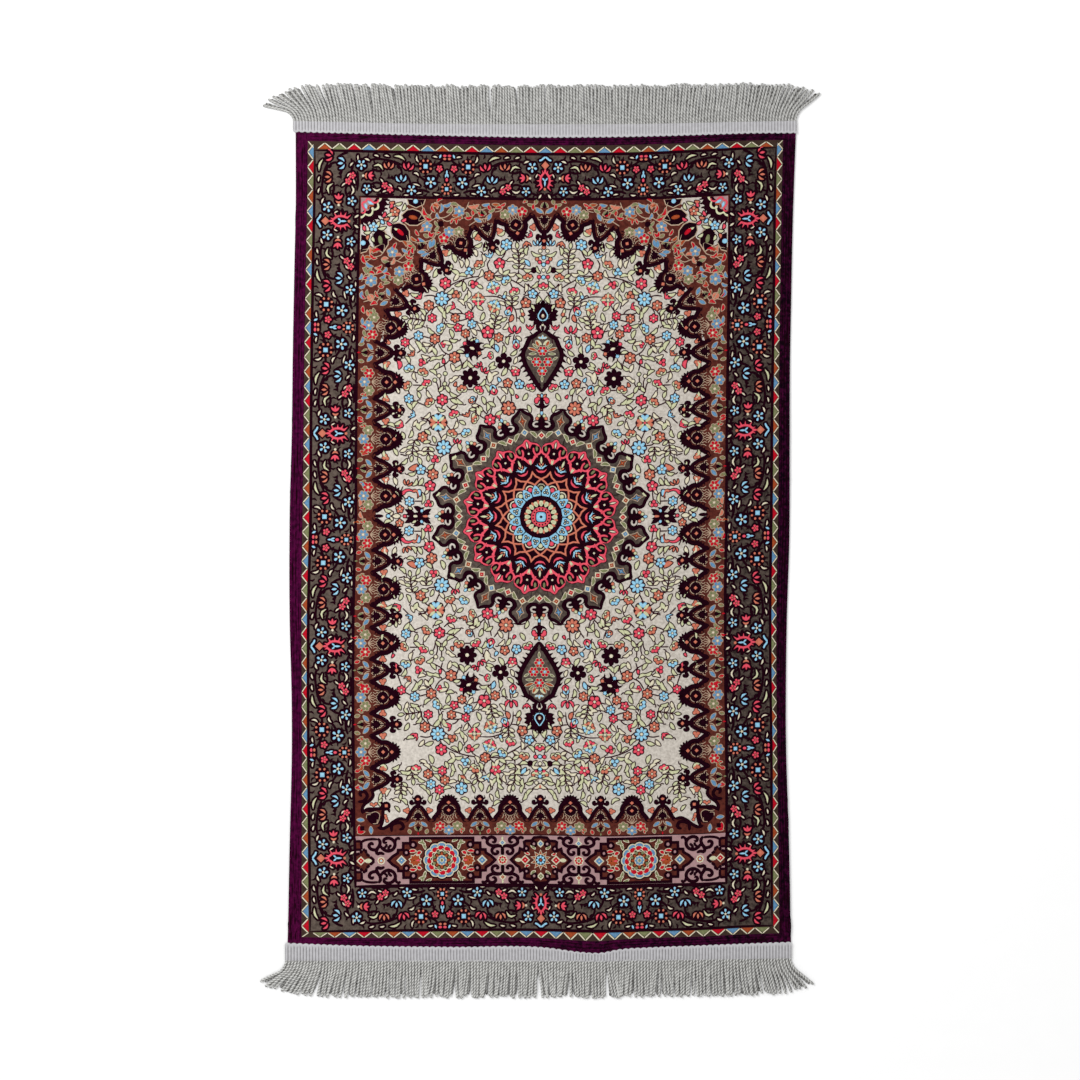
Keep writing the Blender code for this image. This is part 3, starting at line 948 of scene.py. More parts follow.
@dataclass
class GroundCloth:
    """Closed sheet of the woven cloth with a rounded rim, dyed as its plain edge bands."""

    cloth: ClothMap
    columns: int = 90
    rows: int = 220
    rim: float = 0.0013
    width: float = 0.69
    end_share: float = 0.002  # share of the colour map that each cut end takes

    def build(self) -> bpy.types.Object:
        """Sweep a closed section along the rug: z = rim - sqrt(rim^2 - depth^2) near each side edge.

        Returns:
            The closed cloth, without its material.
        """
        near = 2 * self.rim / self.width * np.array([0, 0.12, 0.42])
        inner = 1 - 2 * self.rim / self.width
        shares = np.concatenate([near - 1, np.linspace(-inner, inner, self.columns), 1 - near[::-1]])
        across, along = np.meshgrid(shares, np.linspace(-1, 1, self.rows + 1))
        x, y = self.cloth.outline(across, along)
        depth = self.rim - np.clip((1 - np.abs(across)) * self.width / 2, 0, self.rim)
        rounding = self.rim - np.sqrt(self.rim**2 - depth**2)
        top = np.stack([x, y, self.cloth.height(x, y) - rounding], axis=-1)
        bottom = np.stack([x, y, rounding], axis=-1)[:, ::-1]
        section = np.concatenate([top, bottom], axis=1)
        count, half = section.shape[1], len(shares)
        k = np.arange(count)
        follow = (k + 1) % count
        start = (np.arange(self.rows) * count)[:, None]
        sides = np.stack([start + k, start + follow, start + follow + count, start + k + count], -1).reshape(-1, 4)
        c = np.arange(half - 1)
        cap = np.stack([count - 1 - c, count - 2 - c, c + 1, c], 1)
        caps = np.vstack([cap, cap[:, ::-1] + self.rows * count])
        lengths = np.linalg.norm(np.diff(section[0], axis=0, append=section[0][:1]), axis=1)
        u = np.concatenate([[0], np.cumsum(lengths)]) / lengths.sum()
        v = np.linspace(2 * self.end_share, 1 - 2 * self.end_share, self.rows + 1)
        u_pair = np.stack([u[k], u[k + 1], u[k + 1], u[k]], -1)
        v_pair = np.stack([v[:-1], v[:-1], v[1:], v[1:]], -1)
        side_map = np.stack(np.broadcast_arrays(u_pair[None], v_pair[:, None]), -1).reshape(-1, 2)
        cap_v = np.tile([0.0, 0.0, self.end_share, self.end_share], (half - 1, 1))
        cap_map = np.stack([u[cap[:, [3, 2, 2, 3]]], cap_v], -1)
        cap_map = np.vstack([cap_map.reshape(-1, 2), (cap_map[:, ::-1] + (0, 1 - self.end_share)).reshape(-1, 2)])
        return mesh_piece("woven_cloth", section.reshape(-1, 3), np.vstack([sides, caps]), None,
                          np.vstack([side_map, cap_map]))


@dataclass
class Grounds:
    """Flat grounds of the pattern's zones, the ribs of the edge bands and the dark lines between zones."""

    chart: Chart
    lift: float = 0.06  # of each zone's ground over the cloth, in millimetres
    side_ribs: tuple[float, ...] = (239.4, 241.9, 245.0, 248.3)
    end_ribs: tuple[float, ...] = (372.8, 375.2, 377.9, -423.2, -425.7, -428.4)

    def build(self) -> None:
        """Lay the zones from the edge inwards."""
        cloth, lay = self.chart.cloth, self.chart.lay
        self.chart.start("line", 0.0)
        outer = (237.8, -421.5, 371.2)
        line = (cloth.line, cloth.bottom_line, cloth.top_line)
        inner = (cloth.inner, cloth.bottom_inner, cloth.top_inner)
        for ink, zone in ((Ink.OLIVE, frame_ring(line, outer)), (Ink.TAUPE, frame_ring(inner, line)),
                          (Ink.BROWN, panel(-cloth.inner, cloth.inner, cloth.panel_top, cloth.top_inner)),
                          (Ink.MAUVE, panel(-cloth.inner, cloth.inner, cloth.bottom_inner, cloth.panel_top))):
            lay(ink, zone, Layer.GROUND, lift=self.lift)
        for x in self.side_ribs:
            for side in (-1, 1):
                self.stroke(Ink.PLUM, (side * x, cloth.bottom_seam), (side * x, cloth.top_seam), 3.0)
        for y in self.end_ribs:
            self.stroke(Ink.PLUM, (-237.9, y), (237.9, y), 2.6)
        self.streaks()
        for reach, bottom, top in (line, inner):
            for x in (-reach, reach):
                self.stroke(Ink.DARK, (x, bottom), (x, top), 2.8, 0.08)
            for y in (bottom, top):
                self.stroke(Ink.DARK, (-reach - 1.3, y), (reach + 1.3, y), 2.8, 0.08)
        self.stroke(Ink.DARK, (-cloth.inner, cloth.panel_line), (cloth.inner, cloth.panel_line), 1.0)

    def streaks(self, count: int = 190, seed: int = 5) -> None:
        """Short dark threads along the four edge bands; the right gets over twice as many, the extra ones painted
        shade.
        """
        rng = np.random.default_rng(seed)
        cloth = self.chart.cloth
        # The right side's larger share of threads is painted shade for the darker light on that side.
        for side, share in ((-1, 1.2), (1, 2.6)):
            for _ in range(round(count * share)):
                x, y = side * rng.uniform(238.6, 249.6), rng.uniform(cloth.bottom_seam + 8, cloth.top_seam - 8)
                thread = blade(((0, 0), (0, round(rng.uniform(5, 22)))), 1.1, Outline.LEAF, 4)
                self.chart.lay(Ink.DARK, thread, Layer.FILL, placed(x, y - 4), 0.08)
        for low, high in ((372.6, 378.6), (-429.4, -423.4)):
            for _ in range(round(count * 0.7)):
                spot = placed(rng.uniform(-236, 226), rng.uniform(low, high), -90)
                thread = blade(((0, 0), (0, round(rng.uniform(5, 16)))), 1.0, Outline.LEAF, 4)
                self.chart.lay(Ink.DARK, thread, Layer.FILL, spot, 0.08)

    def stroke(self, ink: Ink, first: tuple[float, float], last: tuple[float, float], width: float,
               lift: float = 0.0) -> None:
        """Long straight ridge of pile."""
        self.chart.lay(ink, blade((first, last), width, Outline.STROKE, 72), Layer.FILL, lift=lift)


@dataclass
class ToothedGuard:
    """Narrow guard of coloured triangles under a pale zigzag line, all round the border."""

    chart: Chart
    side_pitch: float = 14.506
    end_pitch: float = 14.7
    order: tuple[Ink, ...] = (Ink.BLUE, Ink.RED, Ink.SAGE, Ink.RUST)
    bottom_order: tuple[Ink, ...] = (Ink.RED, Ink.BLUE, Ink.RUST, Ink.SAGE)
    side_teeth: int = 54
    end_teeth: int = 16  # from the middle outwards

    def tooth(self, ink: Ink, at: np.ndarray, pitch: float, height: float) -> None:
        """One triangle with its base on x and its apex along y, and the two lines over it."""
        half = pitch / 2
        fill = patch(((-half + 0.9, 0), (half - 0.9, 0), (0, height * 0.78)), (0, height * 0.28), 1, 0.8)
        self.chart.lay(ink, fill, Layer.FILL, at, 0.02)
        for side in (-1, 1):
            line = blade(((side * half, 0.2), (0, height)), 1.15, Outline.STROKE, 4)
            self.chart.lay(Ink.CREAM, line, Layer.FILL, at, 0.12)

    def build(self) -> None:
        """Lay the teeth down both sides and along both ends, mirrored about the middle."""
        self.chart.start("line", 0.06, (IDENTITY, MIRROR))
        for k in range(self.side_teeth):
            self.tooth(self.order[k % 4], placed(-231.7, 360.8 - k * self.side_pitch, 90), self.side_pitch, 6.1)
        for k in range(self.end_teeth):
            reach = -k * self.end_pitch
            self.chart.copies = [IDENTITY, MIRROR] if k else [IDENTITY]
            self.tooth(self.order[k % 4], placed(reach, 363.8), self.end_pitch, 5.9)
            self.tooth(self.bottom_order[k % 4], placed(reach, -414.9, 180), self.end_pitch, 6.4)
        for y, side in ((371.0, 1), (-421.3, -1)):
            corner = blade(((-237.5, y), (-231.6, y - side * 6.4)), 1.0, Outline.STROKE, 4)
            self.chart.lay(Ink.CREAM, corner, Layer.FILL, lift=0.12)


# ---------------------------------------------------------------------------------------------------------
# Main border
# ---------------------------------------------------------------------------------------------------------


@dataclass
class FlowerBorder:
    """Border of scrolling flowers: one unit from a palmette to a rosette, mirrored and repeated.

    A unit's own axes are s, along the border from the palmette, and t, inwards from the outer line.
    """

    chart: Chart
    draw: Motifs
    unit: float = 105.8
    side_end: float = 66.0  # last s of a side's unit that runs into a corner
    corner_start: float = 13.0  # first s of an end's unit that runs in from a corner
    corner_head: float = 196.6  # chart x from which that unit is measured
    end_scale: float = 0.928
    palmettes: tuple[float, ...] = (293.5, 82.0, -130.0, -341.0)

    def ways(self) -> tuple[list[tuple[np.ndarray, float, float]], list[np.ndarray], list[np.ndarray]]:
        """Placements of the unit.

        Returns:
            Each way a unit runs with its first and last s, then one placement for each palmette and rosette.
        """
        cloth = self.chart.cloth
        line = cloth.line
        units, heads, roses = [], [], []
        for side in (-1, 1):
            for level in self.palmettes:
                for way in (-1, 1):
                    matrix = np.array([[0.0, -side, side * line], [way, 0.0, level]])
                    end = level == self.palmettes[0] and way > 0 or level == self.palmettes[-1] and way < 0
                    units.append((matrix, 0.0, self.side_end if end else self.unit))
                heads.append(np.array([[0.0, -side, side * line], [-1.0, 0.0, level]]))
                if level != self.palmettes[-1]:
                    roses.append(np.array([[0.0, -side, side * line], [-1.0, 0.0, level]]))
        for level, inwards in ((cloth.top_line, -0.97), (cloth.bottom_line, 0.99)):
            for way in (-1, 1):
                scale = way * self.end_scale
                units.append((np.array([[scale, 0.0, 0.0], [0.0, inwards, level]]), 0.0, self.unit))
                units.append((np.array([[-scale, 0.0, way * self.corner_head], [0.0, inwards, level]]),
                              self.corner_start, self.unit))
                roses.append(np.array([[scale, 0.0, 0.0], [0.0, inwards, level]]))
            heads.append(np.array([[self.end_scale, 0.0, 0.0], [0.0, inwards, level]]))
        return units, heads, roses

    def build(self) -> None:
        """Lay the unit's flowers, leaves and vines, then the palmettes and rosettes on its two axes."""
        self.chart.start("border", 0.08)
        units, heads, roses = self.ways()
        d = self.draw

        def at(s: float, t: float, turn: float = 0.0) -> np.ndarray:
            """Place in the unit; also keeps only the copies whose part of the unit holds s."""
            self.chart.copies = [matrix for matrix, first, last in units if first <= s <= last]
            return placed(s, t, turn)

        for path in BORDER_VINES:
            at(*path[0])
            d.stem(IDENTITY, path, 2.5)
        self.tendrils(at)
        for s, t, radius in BORDER_ASTERS:
            d.aster(at(s, t), Ink.SKY, radius)
        for s, t in BORDER_ROSES:
            d.flower(at(s, t), Ink.CORAL, 3.6, 5, Ink.SALMON)
        self.chart.lay(Ink.CREAM, dot(1.3), Layer.EYE, at(16, 24.4))
        d.outlined(Ink.SALMON, at(19.5, 24.4, -90), (((-3.2, 0.8), (0, -1.2), (3.2, 0.8)), 2.4, Outline.LEAF, 6))
        for turn in (-132, -90, -48):
            d.leaf(at(21.5, 24.2, turn), Ink.CORAL, 6.2, 2.4)
        for s, t, turn, length, width, bend, ink in BORDER_LEAVES:
            d.leaf(at(s, t, turn), ink, length * 1.08, width * 0.84, bend)
        d.tulip(at(43.4, 16.6, 180), Ink.SALMON, 7.0)
        d.tulip(at(57.2, 29.6, 175), Ink.SKY, 7.4)
        d.tulip(at(63.9, 17.4, 190), Ink.CORAL, 7.4)
        self.squared(at(83.0, 13.8), 7.4)
        self.chart.copies = heads
        self.palmette()
        self.chart.copies = roses
        self.rosette()

    def tendrils(self, at: Callable[..., np.ndarray], tries: int = 256, seed: int = 17) -> None:
        """Small dark curls at free places between the flowers and leaves."""
        rng = np.random.default_rng(seed)
        taken = [(s, t, 8.4) for s, t, _ in BORDER_ASTERS]
        taken += [(s, t, 8.4) for s, t in ((83.0, 13.8), (43.4, 14.0), (57.2, 33.0), (63.9, 20.5), (0, 8), (0, 18),
                                           (0, 28), (self.unit, 4), (self.unit, 22))]
        taken += [(s, t, 6.0) for s, t in BORDER_ROSES + ((20.5, 24.4), (self.unit, 36))]
        taken += [(row[0], row[1], 4.6) for row in BORDER_LEAVES]
        for s, t in scatter(rng, (2.0, 3.0), (104.0, 43.5), taken, 4.7, tries):
            bend = round(rng.choice((-1.9, 1.9)), 1)
            curl = blade(((0, -3.2), (bend, 0), (0, 3.2)), 2.2, Outline.LEAF, 6)
            self.chart.lay(Ink.DARK, curl, Layer.OUTLINE, at(s, t, round(rng.uniform(0, 360))))

    def squared(self, at: np.ndarray, radius: float) -> None:
        """Rosette of eight small round petals about a blue square."""
        lay = self.chart.lay
        lay(Ink.DARK, lobed(radius + 1.3, 1.4, 8, 48), Layer.OUTLINE, at)
        lay(Ink.SALMON, oval(1.15, 1.3, 8).at(0, radius * 0.82).ring(8, 22.5), Layer.FILL, at)
        lay(Ink.SKY, spiky(radius * 0.42, 0, 2, 45), Layer.FILL, at)

    def palmette(self) -> None:
        """Flame palmette on the unit's first axis, with its bracket, bud and leaves."""
        d, lay = self.draw, self.chart.lay
        for side in (-1, 1):
            d.outlined(Ink.SKY, placed(), (((0, 2.8), (side * 2.2, 4.4), (side * 3.6, 5.6), (side * 6.6, 6.8)), 1.9,
                                           Outline.STROKE, 7))
            for flame in (((1.6, 20), (3.2, 16.4)), ((3.4, 23), (8.6, 20)), ((4.4, 26.8), (9.4, 26.8)),
                          ((4.2, 30), (9.0, 32.4)), ((2.8, 32.6), (6.6, 37.0))):
                d.outlined(Ink.CORAL, IDENTITY, (turned(flame, side), 2.2, Outline.HORN, 5))
            lay(Ink.CORAL, blade(((side * 0.8, 18.4), (side * 4.6, 23.5), (side * 4.8, 29.5), (side * 2.8, 34.2)), 2.3,
                                 Outline.STROKE, 9), Layer.FILL, lift=0.05)
            d.leaf(placed(side * 3.6, 40.5, -side * 35), Ink.CREAM, 5.4, 2.0)
            lay(Ink.SKY, blade(((side * 0.4, 27.0), (side * 2.9, 23.8)), 1.8, Outline.LEAF, 5), Layer.EYE)
        lay(Ink.DARK, oval(5.6, 9.6, 16).at(0, 26.4), Layer.OUTLINE, lift=0.02)
        lay(Ink.DARK, spiky(6.2, 0, 2, 0).at(0, 11.4), Layer.OUTLINE)
        lay(Ink.SALMON, spiky(4.2, 0, 2, 0).at(0, 11.4), Layer.FILL)
        lay(Ink.CORAL, blade(((0, 14.4), (0, 20.2)), 2.6, Outline.LEAF, 6), Layer.FILL, lift=0.04)
        lay(Ink.SKY, blade(((0, 25.4), (0, 32.8)), 2.0, Outline.LEAF, 6), Layer.EYE)
        lay(Ink.SALMON, dot(1.5), Layer.EYE, placed(0, 35.2))
        for side in (-1, 1):
            lay(Ink.DARK, blade(((0, 43.6), (side * 5.6, 39.6)), 1.7, Outline.STROKE, 5), Layer.OUTLINE)

    def rosette(self) -> None:
        """Half rosette, bud and small rosette on the unit's last axis."""
        d, lay = self.draw, self.chart.lay
        s = self.unit
        lay(Ink.DARK, oval(10.0, 6.0, 20).at(s, 3.4), Layer.OUTLINE)
        for side in (-1, 1):
            lay(Ink.CORAL, oval(2.0, 1.3).at(s + side * 2.5, 3.0), Layer.FILL)
            lay(Ink.SALMON, oval(1.7, 1.2).at(s + side * 2.5, 6.1), Layer.FILL)
            d.leaf(placed(s + side * 6.4, 1.6, -side * 25), Ink.SKY, 4.4, 2.2)
            d.outlined(Ink.SKY, placed(s, 0), (((side * 0.5, 20.6), (side * 1.6, 24.8)), 1.9, Outline.LEAF, 5))
        d.outlined(Ink.SKY, placed(s, 17.2), (((0, 0), (0, 4.6)), 2.0, Outline.LEAF, 5))
        d.outlined(Ink.CORAL, placed(s, 25.2), (((0, 0), (0, 3.6)), 2.8, Outline.OVAL, 5))
        self.squared(placed(s, 36.2), 5.9)


BORDER_ASTERS = ((13.9, 13.4, 5.2), (20.2, 37.4, 4.7), (68.3, 37.6, 5.2), (89.0, 29.5, 5.8))  # s, t, radius
BORDER_ROSES = ((39.5, 33.7), (45.2, 37.6), (98.1, 15.9))  # s, t
BORDER_VINES = (
    ((14, 13.4), (28, 7.5), (40, 8), (50, 10), (60, 14)),
    ((50, 10), (57, 18), (58, 22)),
    ((90, 13.8), (98, 10), (104, 4)),
    ((94, 29.5), (97, 22), (98, 16)),
    ((74, 37.6), (82, 38), (88, 40)),
    ((48, 36), (55, 38), (62, 36)),
    ((7.5, 42), (12, 40), (16, 38.5)),
    ((24, 33), (31, 31), (37, 33)),
    ((25, 17), (32, 19.5), (38, 18.5)),
    ((62, 22), (66, 28), (67.5, 33)),
    ((68, 12), (73, 14), (76, 13.8)),
    ((77, 24), (81, 27), (84, 29)),
    ((46, 24), (50, 27), (53, 26.4)),
    ((30, 42.5), (40, 43.4), (50, 42.6)),
    ((6, 27), (9.5, 29), (13, 27.5)),
)
BORDER_LEAVES = (  # s, t, turn, length, width, bend, yarn
    (17.2, 7.4, -70, 5.6, 2.2, 0.5, Ink.CREAM),
    (27.0, 14.6, -70, 10.2, 2.6, 3.4, Ink.LEAF),
    (26.2, 36.6, -88, 8.6, 2.3, -2.4, Ink.CREAM),
    (27.4, 3.6, -75, 5.0, 1.9, 0.4, Ink.CREAM),
    (38.6, 3.8, -80, 5.0, 1.9, 0.4, Ink.CREAM),
    (34.6, 27.2, -40, 4.6, 1.8, 0.3, Ink.CREAM),
    (37.0, 40.6, -110, 4.4, 1.8, 0.3, Ink.CREAM),
    (43.8, 32.4, -50, 4.4, 1.8, 0.3, Ink.CREAM),
    (49.0, 4.2, -72, 11.4, 2.6, 1.6, Ink.LEAF),
    (54.0, 35.2, -50, 4.8, 1.9, 0.4, Ink.CREAM),
    (73.4, 3.2, -20, 6.6, 2.2, -1.3, Ink.CREAM),
    (70.2, 20.8, -64, 6.0, 2.2, 1.3, Ink.CREAM),
    (69.6, 31.6, -76, 7.6, 1.7, 0.4, Ink.CREAM),
    (90.6, 4.0, -80, 5.0, 1.9, 0.4, Ink.CREAM),
    (92.2, 41.2, -84, 5.6, 2.0, -0.6, Ink.CREAM),
    (73.6, 41.4, -100, 5.4, 1.7, 0.3, Ink.CREAM),
    (7.6, 20.0, -30, 4.4, 1.6, 0.4, Ink.CREAM),
    (60.0, 43.0, -90, 5.0, 1.6, 0.0, Ink.CREAM),
)


# ---------------------------------------------------------------------------------------------------------
# Ivory field and its palmettes
# ---------------------------------------------------------------------------------------------------------


class Head(NamedTuple):
    """Palmette on the field's rim: place of its dark heart, way it points in degrees from +x, share of its length."""

    x: float
    y: float
    way: float
    reach: float = 1.0


WHEELS = (
    Head(-28.3, 292.7, -78), Head(-83, 273.7, -56), Head(-126.5, 237, -34), Head(-151.5, 188.1, -5),
    Head(-155, 133.7, 0), Head(-155.4, 76.8, 0), Head(-155.4, 20, 0), Head(-155.4, -18.6, 0), Head(-155.4, -73, 0),
    Head(-155.4, -127, 0), Head(-155.4, -181, 0), Head(-155.4, -235.5, 0), Head(-91, -294.0, 90, 0.9),
    Head(-30, -294.0, 90, 0.9),
)
OVALS = (
    Head(0, 297, -90), Head(-57.4, 288.8, -72), Head(-110.7, 260.8, -46), Head(-147, 214.4, -20),
    Head(-161.6, 162.9, 0), Head(-162, 105.9, 0), Head(-162, 47.3, 0), Head(-162, -45, 0), Head(-162, -100, 0),
    Head(-162, -154, 0), Head(-162, -208, 0), Head(-162, -262.7, 0),
    Head(-121.5, -299.6, 90, 0.82), Head(-60, -299.6, 90, 0.82), Head(0, -299.6, 90, 0.82),
)
FIELD_RIM = (
    (0, 302), (-10, 302), (-46.5, 294), (-69.6, 286.7), (-103, 270), (-119.8, 253.8), (-144, 225), (-153.7, 204.2),
    (-161.8, 173.7), (-163.3, 150.2), (-165, 116.4), (-165, 60), (-165, 0), (-165, -60), (-165, -120), (-165, -180),
    (-165, -251), (-166.5, -274), (-166.3, -279.5), (-170.4, -287.2), (-176.2, -297.5), (-170, -299),
    (-163, -305), (-158.6, -311.8), (-152, -309.2), (-145.5, -304.6), (-140, -302.2), (-132, -303.4), (-109.7, -302),
    (-73.2, -302), (-47.9, -302), (-11.4, -302), (0, -302),
)


def finer(points: Path, step: float = 10.0) -> list[tuple[float, float]]:
    """Closed outline with points at most one step apart."""
    fine = []
    for (x0, y0), (x1, y1) in zip(points, list(points[1:]) + [points[0]]):
        count = max(1, math.ceil(math.hypot(x1 - x0, y1 - y0) / step))
        fine += [(x0 + (x1 - x0) * k / count, y0 + (y1 - y0) * k / count) for k in range(count)]
    return fine


def left_rim() -> np.ndarray:
    """Points of the field's left rim, without those that close it along the axis."""
    rim = np.array(finer(FIELD_RIM, 4.0))
    return rim[rim[:, 0] < -0.5]


def outside(rim: np.ndarray, x: float, y: float) -> float:
    """Distance of a place outside the field's rim, or a negative one within it."""
    gaps = np.hypot(rim[:, 0] - x, rim[:, 1] - y)
    near = rim[np.argmin(gaps)]
    middle = np.array([0.0, min(max(y, -200.0), 150.0)])
    way = np.dot(np.array([x, y]) - near, near - middle)
    return float(np.min(gaps) * np.sign(way))


@dataclass
class PalmetteRow:
    """Ivory field, and the row of dark palmettes that points into it from the flowered brown ground."""

    chart: Chart
    draw: Motifs

    def build(self) -> None:
        """Lay the field's ground, then each palmette with the flowers behind it, mirrored."""
        self.chart.start("guard", 0.0)
        self.chart.lay(Ink.IVORY, patch(finer(whole(FIELD_RIM)), rings=14), Layer.GROUND, lift=0.14)
        self.chart.copies = [IDENTITY, MIRROR]
        corner = ((-166, -279), (-169.8, -284.3), (-174.6, -288), (-176.9, -295.8), (-170, -296), (-166, -290))
        self.chart.lay(Ink.IVORY, patch(corner, (-170, -290)), Layer.GROUND, lift=0.145)
        for heads, back in ((WHEELS, self.trio), (OVALS, self.pair)):
            for k, head in enumerate(heads):
                at = after(placed(head.x, head.y, head.way - 90), np.array([[1.0, 0, 0], [0, head.reach, 0]]))
                copies = [IDENTITY] if head.x == 0 else [IDENTITY, MIRROR]
                self.chart.start("guard", 0.08, copies)
                back(at, k)
                self.chart.start("guard", 0.22, copies)
                if heads is WHEELS:
                    self.wheel(at, -9.6 if head.way in (0, 90) else -5.5)
                else:
                    self.teardrop(at)

    def band(self, at: np.ndarray, path: tuple[tuple[float, float], ...], width: float,
             outline: Outline = Outline.STROKE) -> None:
        """Dark ridge along a path and its mirror image."""
        one = blade(path, width, outline, 4 * len(path))
        self.chart.lay(Ink.DARK, one, Layer.FILL, at)
        self.chart.lay(Ink.DARK, one.at(flip=True), Layer.FILL, at)

    def thread(self, at: np.ndarray, path: tuple[tuple[float, float], ...], ink: Ink, width: float) -> None:
        """Thin line along a path and its mirror image."""
        one = blade(path, width, Outline.STROKE, 3 * len(path))
        self.chart.lay(ink, one, Layer.FILL, at, 0.06)
        self.chart.lay(ink, one.at(flip=True), Layer.FILL, at, 0.06)

    def combs(self, at: np.ndarray, spots: Sequence[tuple[float, float, float]], low: float, high: float,
              width: float) -> None:
        """Short dark teeth that stand inwards from a bell's rim, at x, y and turn on both sides."""
        for x, y, turn in spots:
            for side in (-1, 1):
                spot = after(at, placed(side * x, y, side * turn))
                self.chart.lay(Ink.DARK, blade(((0, low), (0, high)), width, Outline.HORN, 4), Layer.FILL, spot, 0.02)

    def wheel(self, at: np.ndarray, foot: float) -> None:
        """Broad palmette: a bell-shaped dark rim round a brown heart with a spiked wheel, and a serrated crown."""
        lay = self.chart.lay
        flare = 15.4 + (9.6 + foot) * 0.35
        half = ((flare + 1.4, foot - 1.0), (12.6, foot * 0.55), (11.2, 0), (10.4, 4.6), (6.6, 9.6), (0, 11.0))
        lay(Ink.BROWN, patch(whole(half), (0, 0), 2), Layer.GROUND, at, -0.02)
        lay(Ink.DARK, oval(9.2, 8.0, 20).at(0, 0.8), Layer.GROUND, at, 0.02)
        bell = ((flare + 1.0, foot - 0.4), (12.8, foot * 0.62), (10.0, -1.4), (9.8, 3.0), (8.0, 6.8), (4.2, 9.4))
        self.band(at, bell, 4.3)
        lip = ((flare - 2.2, foot * 0.72), (flare - 0.6, foot - 2.6), (flare + 2.4, foot - 3.4))
        self.band(at, lip, 3.0, Outline.HORN)
        self.combs(at, ((10.6, -7.6, 110), (8.9, -5.0, 96), (8.0, -2.2, 88), (7.6, 0.8, 76), (6.6, 3.4, 62),
                        (5.0, 5.6, 45)), -1.5, 2.6, 1.6)
        lay(Ink.DARK, dot(6.4, 12, 2).at(0, 8.8), Layer.FILL, at, -0.05)
        lay(Ink.DARK, oval(5.6, 5.4, 14, 2).at(0, 2.6), Layer.FILL, at, -0.06)
        for turn, length in ((0, 7.0), (20, 7.0), (40, 7.4), (62, 7.8), (84, 8.4)):
            for side in (-1, 1):
                spot = after(at, placed(0, 8.8, side * turn))
                lay(Ink.DARK, blade(((0, 3.0), (0, length + 2.4)), 3.3, Outline.LEAF, 5), Layer.FILL, spot, -0.02)
        for path in (((9.6, -8.4), (7.6, -4.8), (6.2, -1.6)), ((3.6, -9.0), (2.8, -6.6), (4.2, -4.8)),
                     ((7.4, 0.4), (6.0, 4.4), (2.6, 6.6))):
            self.thread(at, path, Ink.BROWN, 1.3)
        for path in (((8.4, -9.4), (6.6, -6.2), (7.0, -3.2), (5.2, -1.2)),
                     ((5.2, -9.8), (3.8, -7.4), (5.0, -5.4), (3.4, -4.0)),
                     ((6.2, 1.0), (5.0, 3.4), (3.0, 5.0), (1.0, 5.6)), ((2.0, -9.4), (1.1, -7.2), (2.3, -5.2))):
            self.thread(at, path, Ink.SAND, 0.7)
        for turn in (98, 124, 150, 180, -150, -124, -98):
            lay(Ink.SAND, dot(0.62, 6), Layer.FILL, after(at, polar(turn, 6.3)), 0.08)
        lay(Ink.DARK, spiky(4.9, 1.7, 9), Layer.FILL, at, 0.04)
        lay(Ink.SALMON, spiky(2.0, 0.6, 4), Layer.EYE, at, 0.24)
        lay(Ink.SALMON, spiky(2.0, 0.5, 4), Layer.EYE, after(at, placed(0, 8.6)), 0.16)

    def teardrop(self, at: np.ndarray) -> None:
        """Narrow palmette: a bell-shaped dark rim round a brown heart, with a trefoil head past its neck."""
        lay = self.chart.lay
        half = ((12.4, -6.2), (9.8, -1.8), (7.8, 2.4), (5.6, 6.6), (3.0, 10.6), (0, 14))
        lay(Ink.BROWN, patch(whole(half), (0, 2), 2), Layer.GROUND, at, -0.02)
        for dark in (oval(6.8, 5.6, 18).at(0, 0.4), oval(3.2, 5.0, 14).at(0, 6.6)):
            lay(Ink.DARK, dark, Layer.GROUND, at, 0.02)
        self.band(at, ((12.4, -5.0), (9.6, -1.6), (8.0, 2.6), (5.4, 7.2), (1.7, 12.8)), 3.8)
        self.band(at, ((9.8, -2.4), (10.2, -5.8), (12.6, -7.4)), 2.6, Outline.HORN)
        lay(Ink.DARK, blade(((0, 8.4), (0, 19.5)), 5.2, Outline.STROKE, 6), Layer.FILL, at)
        self.band(at, ((0.6, 15.6), (3.4, 16.0), (6.4, 14.6), (6.9, 17.6), (4.8, 18.8)), 3.3)
        lay(Ink.DARK, blade(((0, 14.5), (0, 26.0)), 8.0, Outline.OVAL, 7), Layer.FILL, at, 0.02)
        self.band(at, ((1.0, 20.4), (4.8, 21.6), (4.8, 25.0)), 3.2, Outline.HORN)
        self.combs(at, ((8.4, -1.4, 100), (7.2, 0.8, 88), (6.2, 3.2, 76), (4.8, 5.6, 64)), -1.2, 2.4, 1.5)
        for path in (((6.0, -0.6), (4.8, 3.6), (2.4, 7.4), (0.4, 9.4)), ((4.0, -4.4), (5.6, -2.4))):
            self.thread(at, path, Ink.BROWN, 1.3)
        for path, width in ((((3.6, 1.8), (3.2, 3.8), (1.6, 5.6), (0.4, 7.4)), 0.7),
                            (((1.2, 3.6), (0.8, 5.2), (1.4, 6.4)), 0.6), (((6.6, -3.8), (6.2, -1.6), (4.6, -0.4)), 0.7),
                            (((2.4, -5.2), (3.6, -3.6), (5.0, -3.0)), 0.7)):
            self.thread(at, path, Ink.SAND, width)
        for x, y in ((2.2, -3.4), (4.4, -0.8), (3.9, 1.2), (2.6, 3.2), (1.6, 8.4)):
            for side in (-1, 1):
                lay(Ink.SAND, dot(0.6, 6), Layer.FILL, after(at, placed(side * x, y)), 0.08)
        lay(Ink.DARK, oval(3.7, 3.0, 12, 2), Layer.FILL, at, 0.02)
        lay(Ink.SALMON, spiky(2.0, 0.5, 4), Layer.EYE, after(at, placed(0, 20.3)), 0.18)
        for side in (-1, 1):
            for x, y in ((10.4, 4.8), (12.8, 6.6), (10.2, 8.2)):
                spot = after(at, placed(side * x, y))
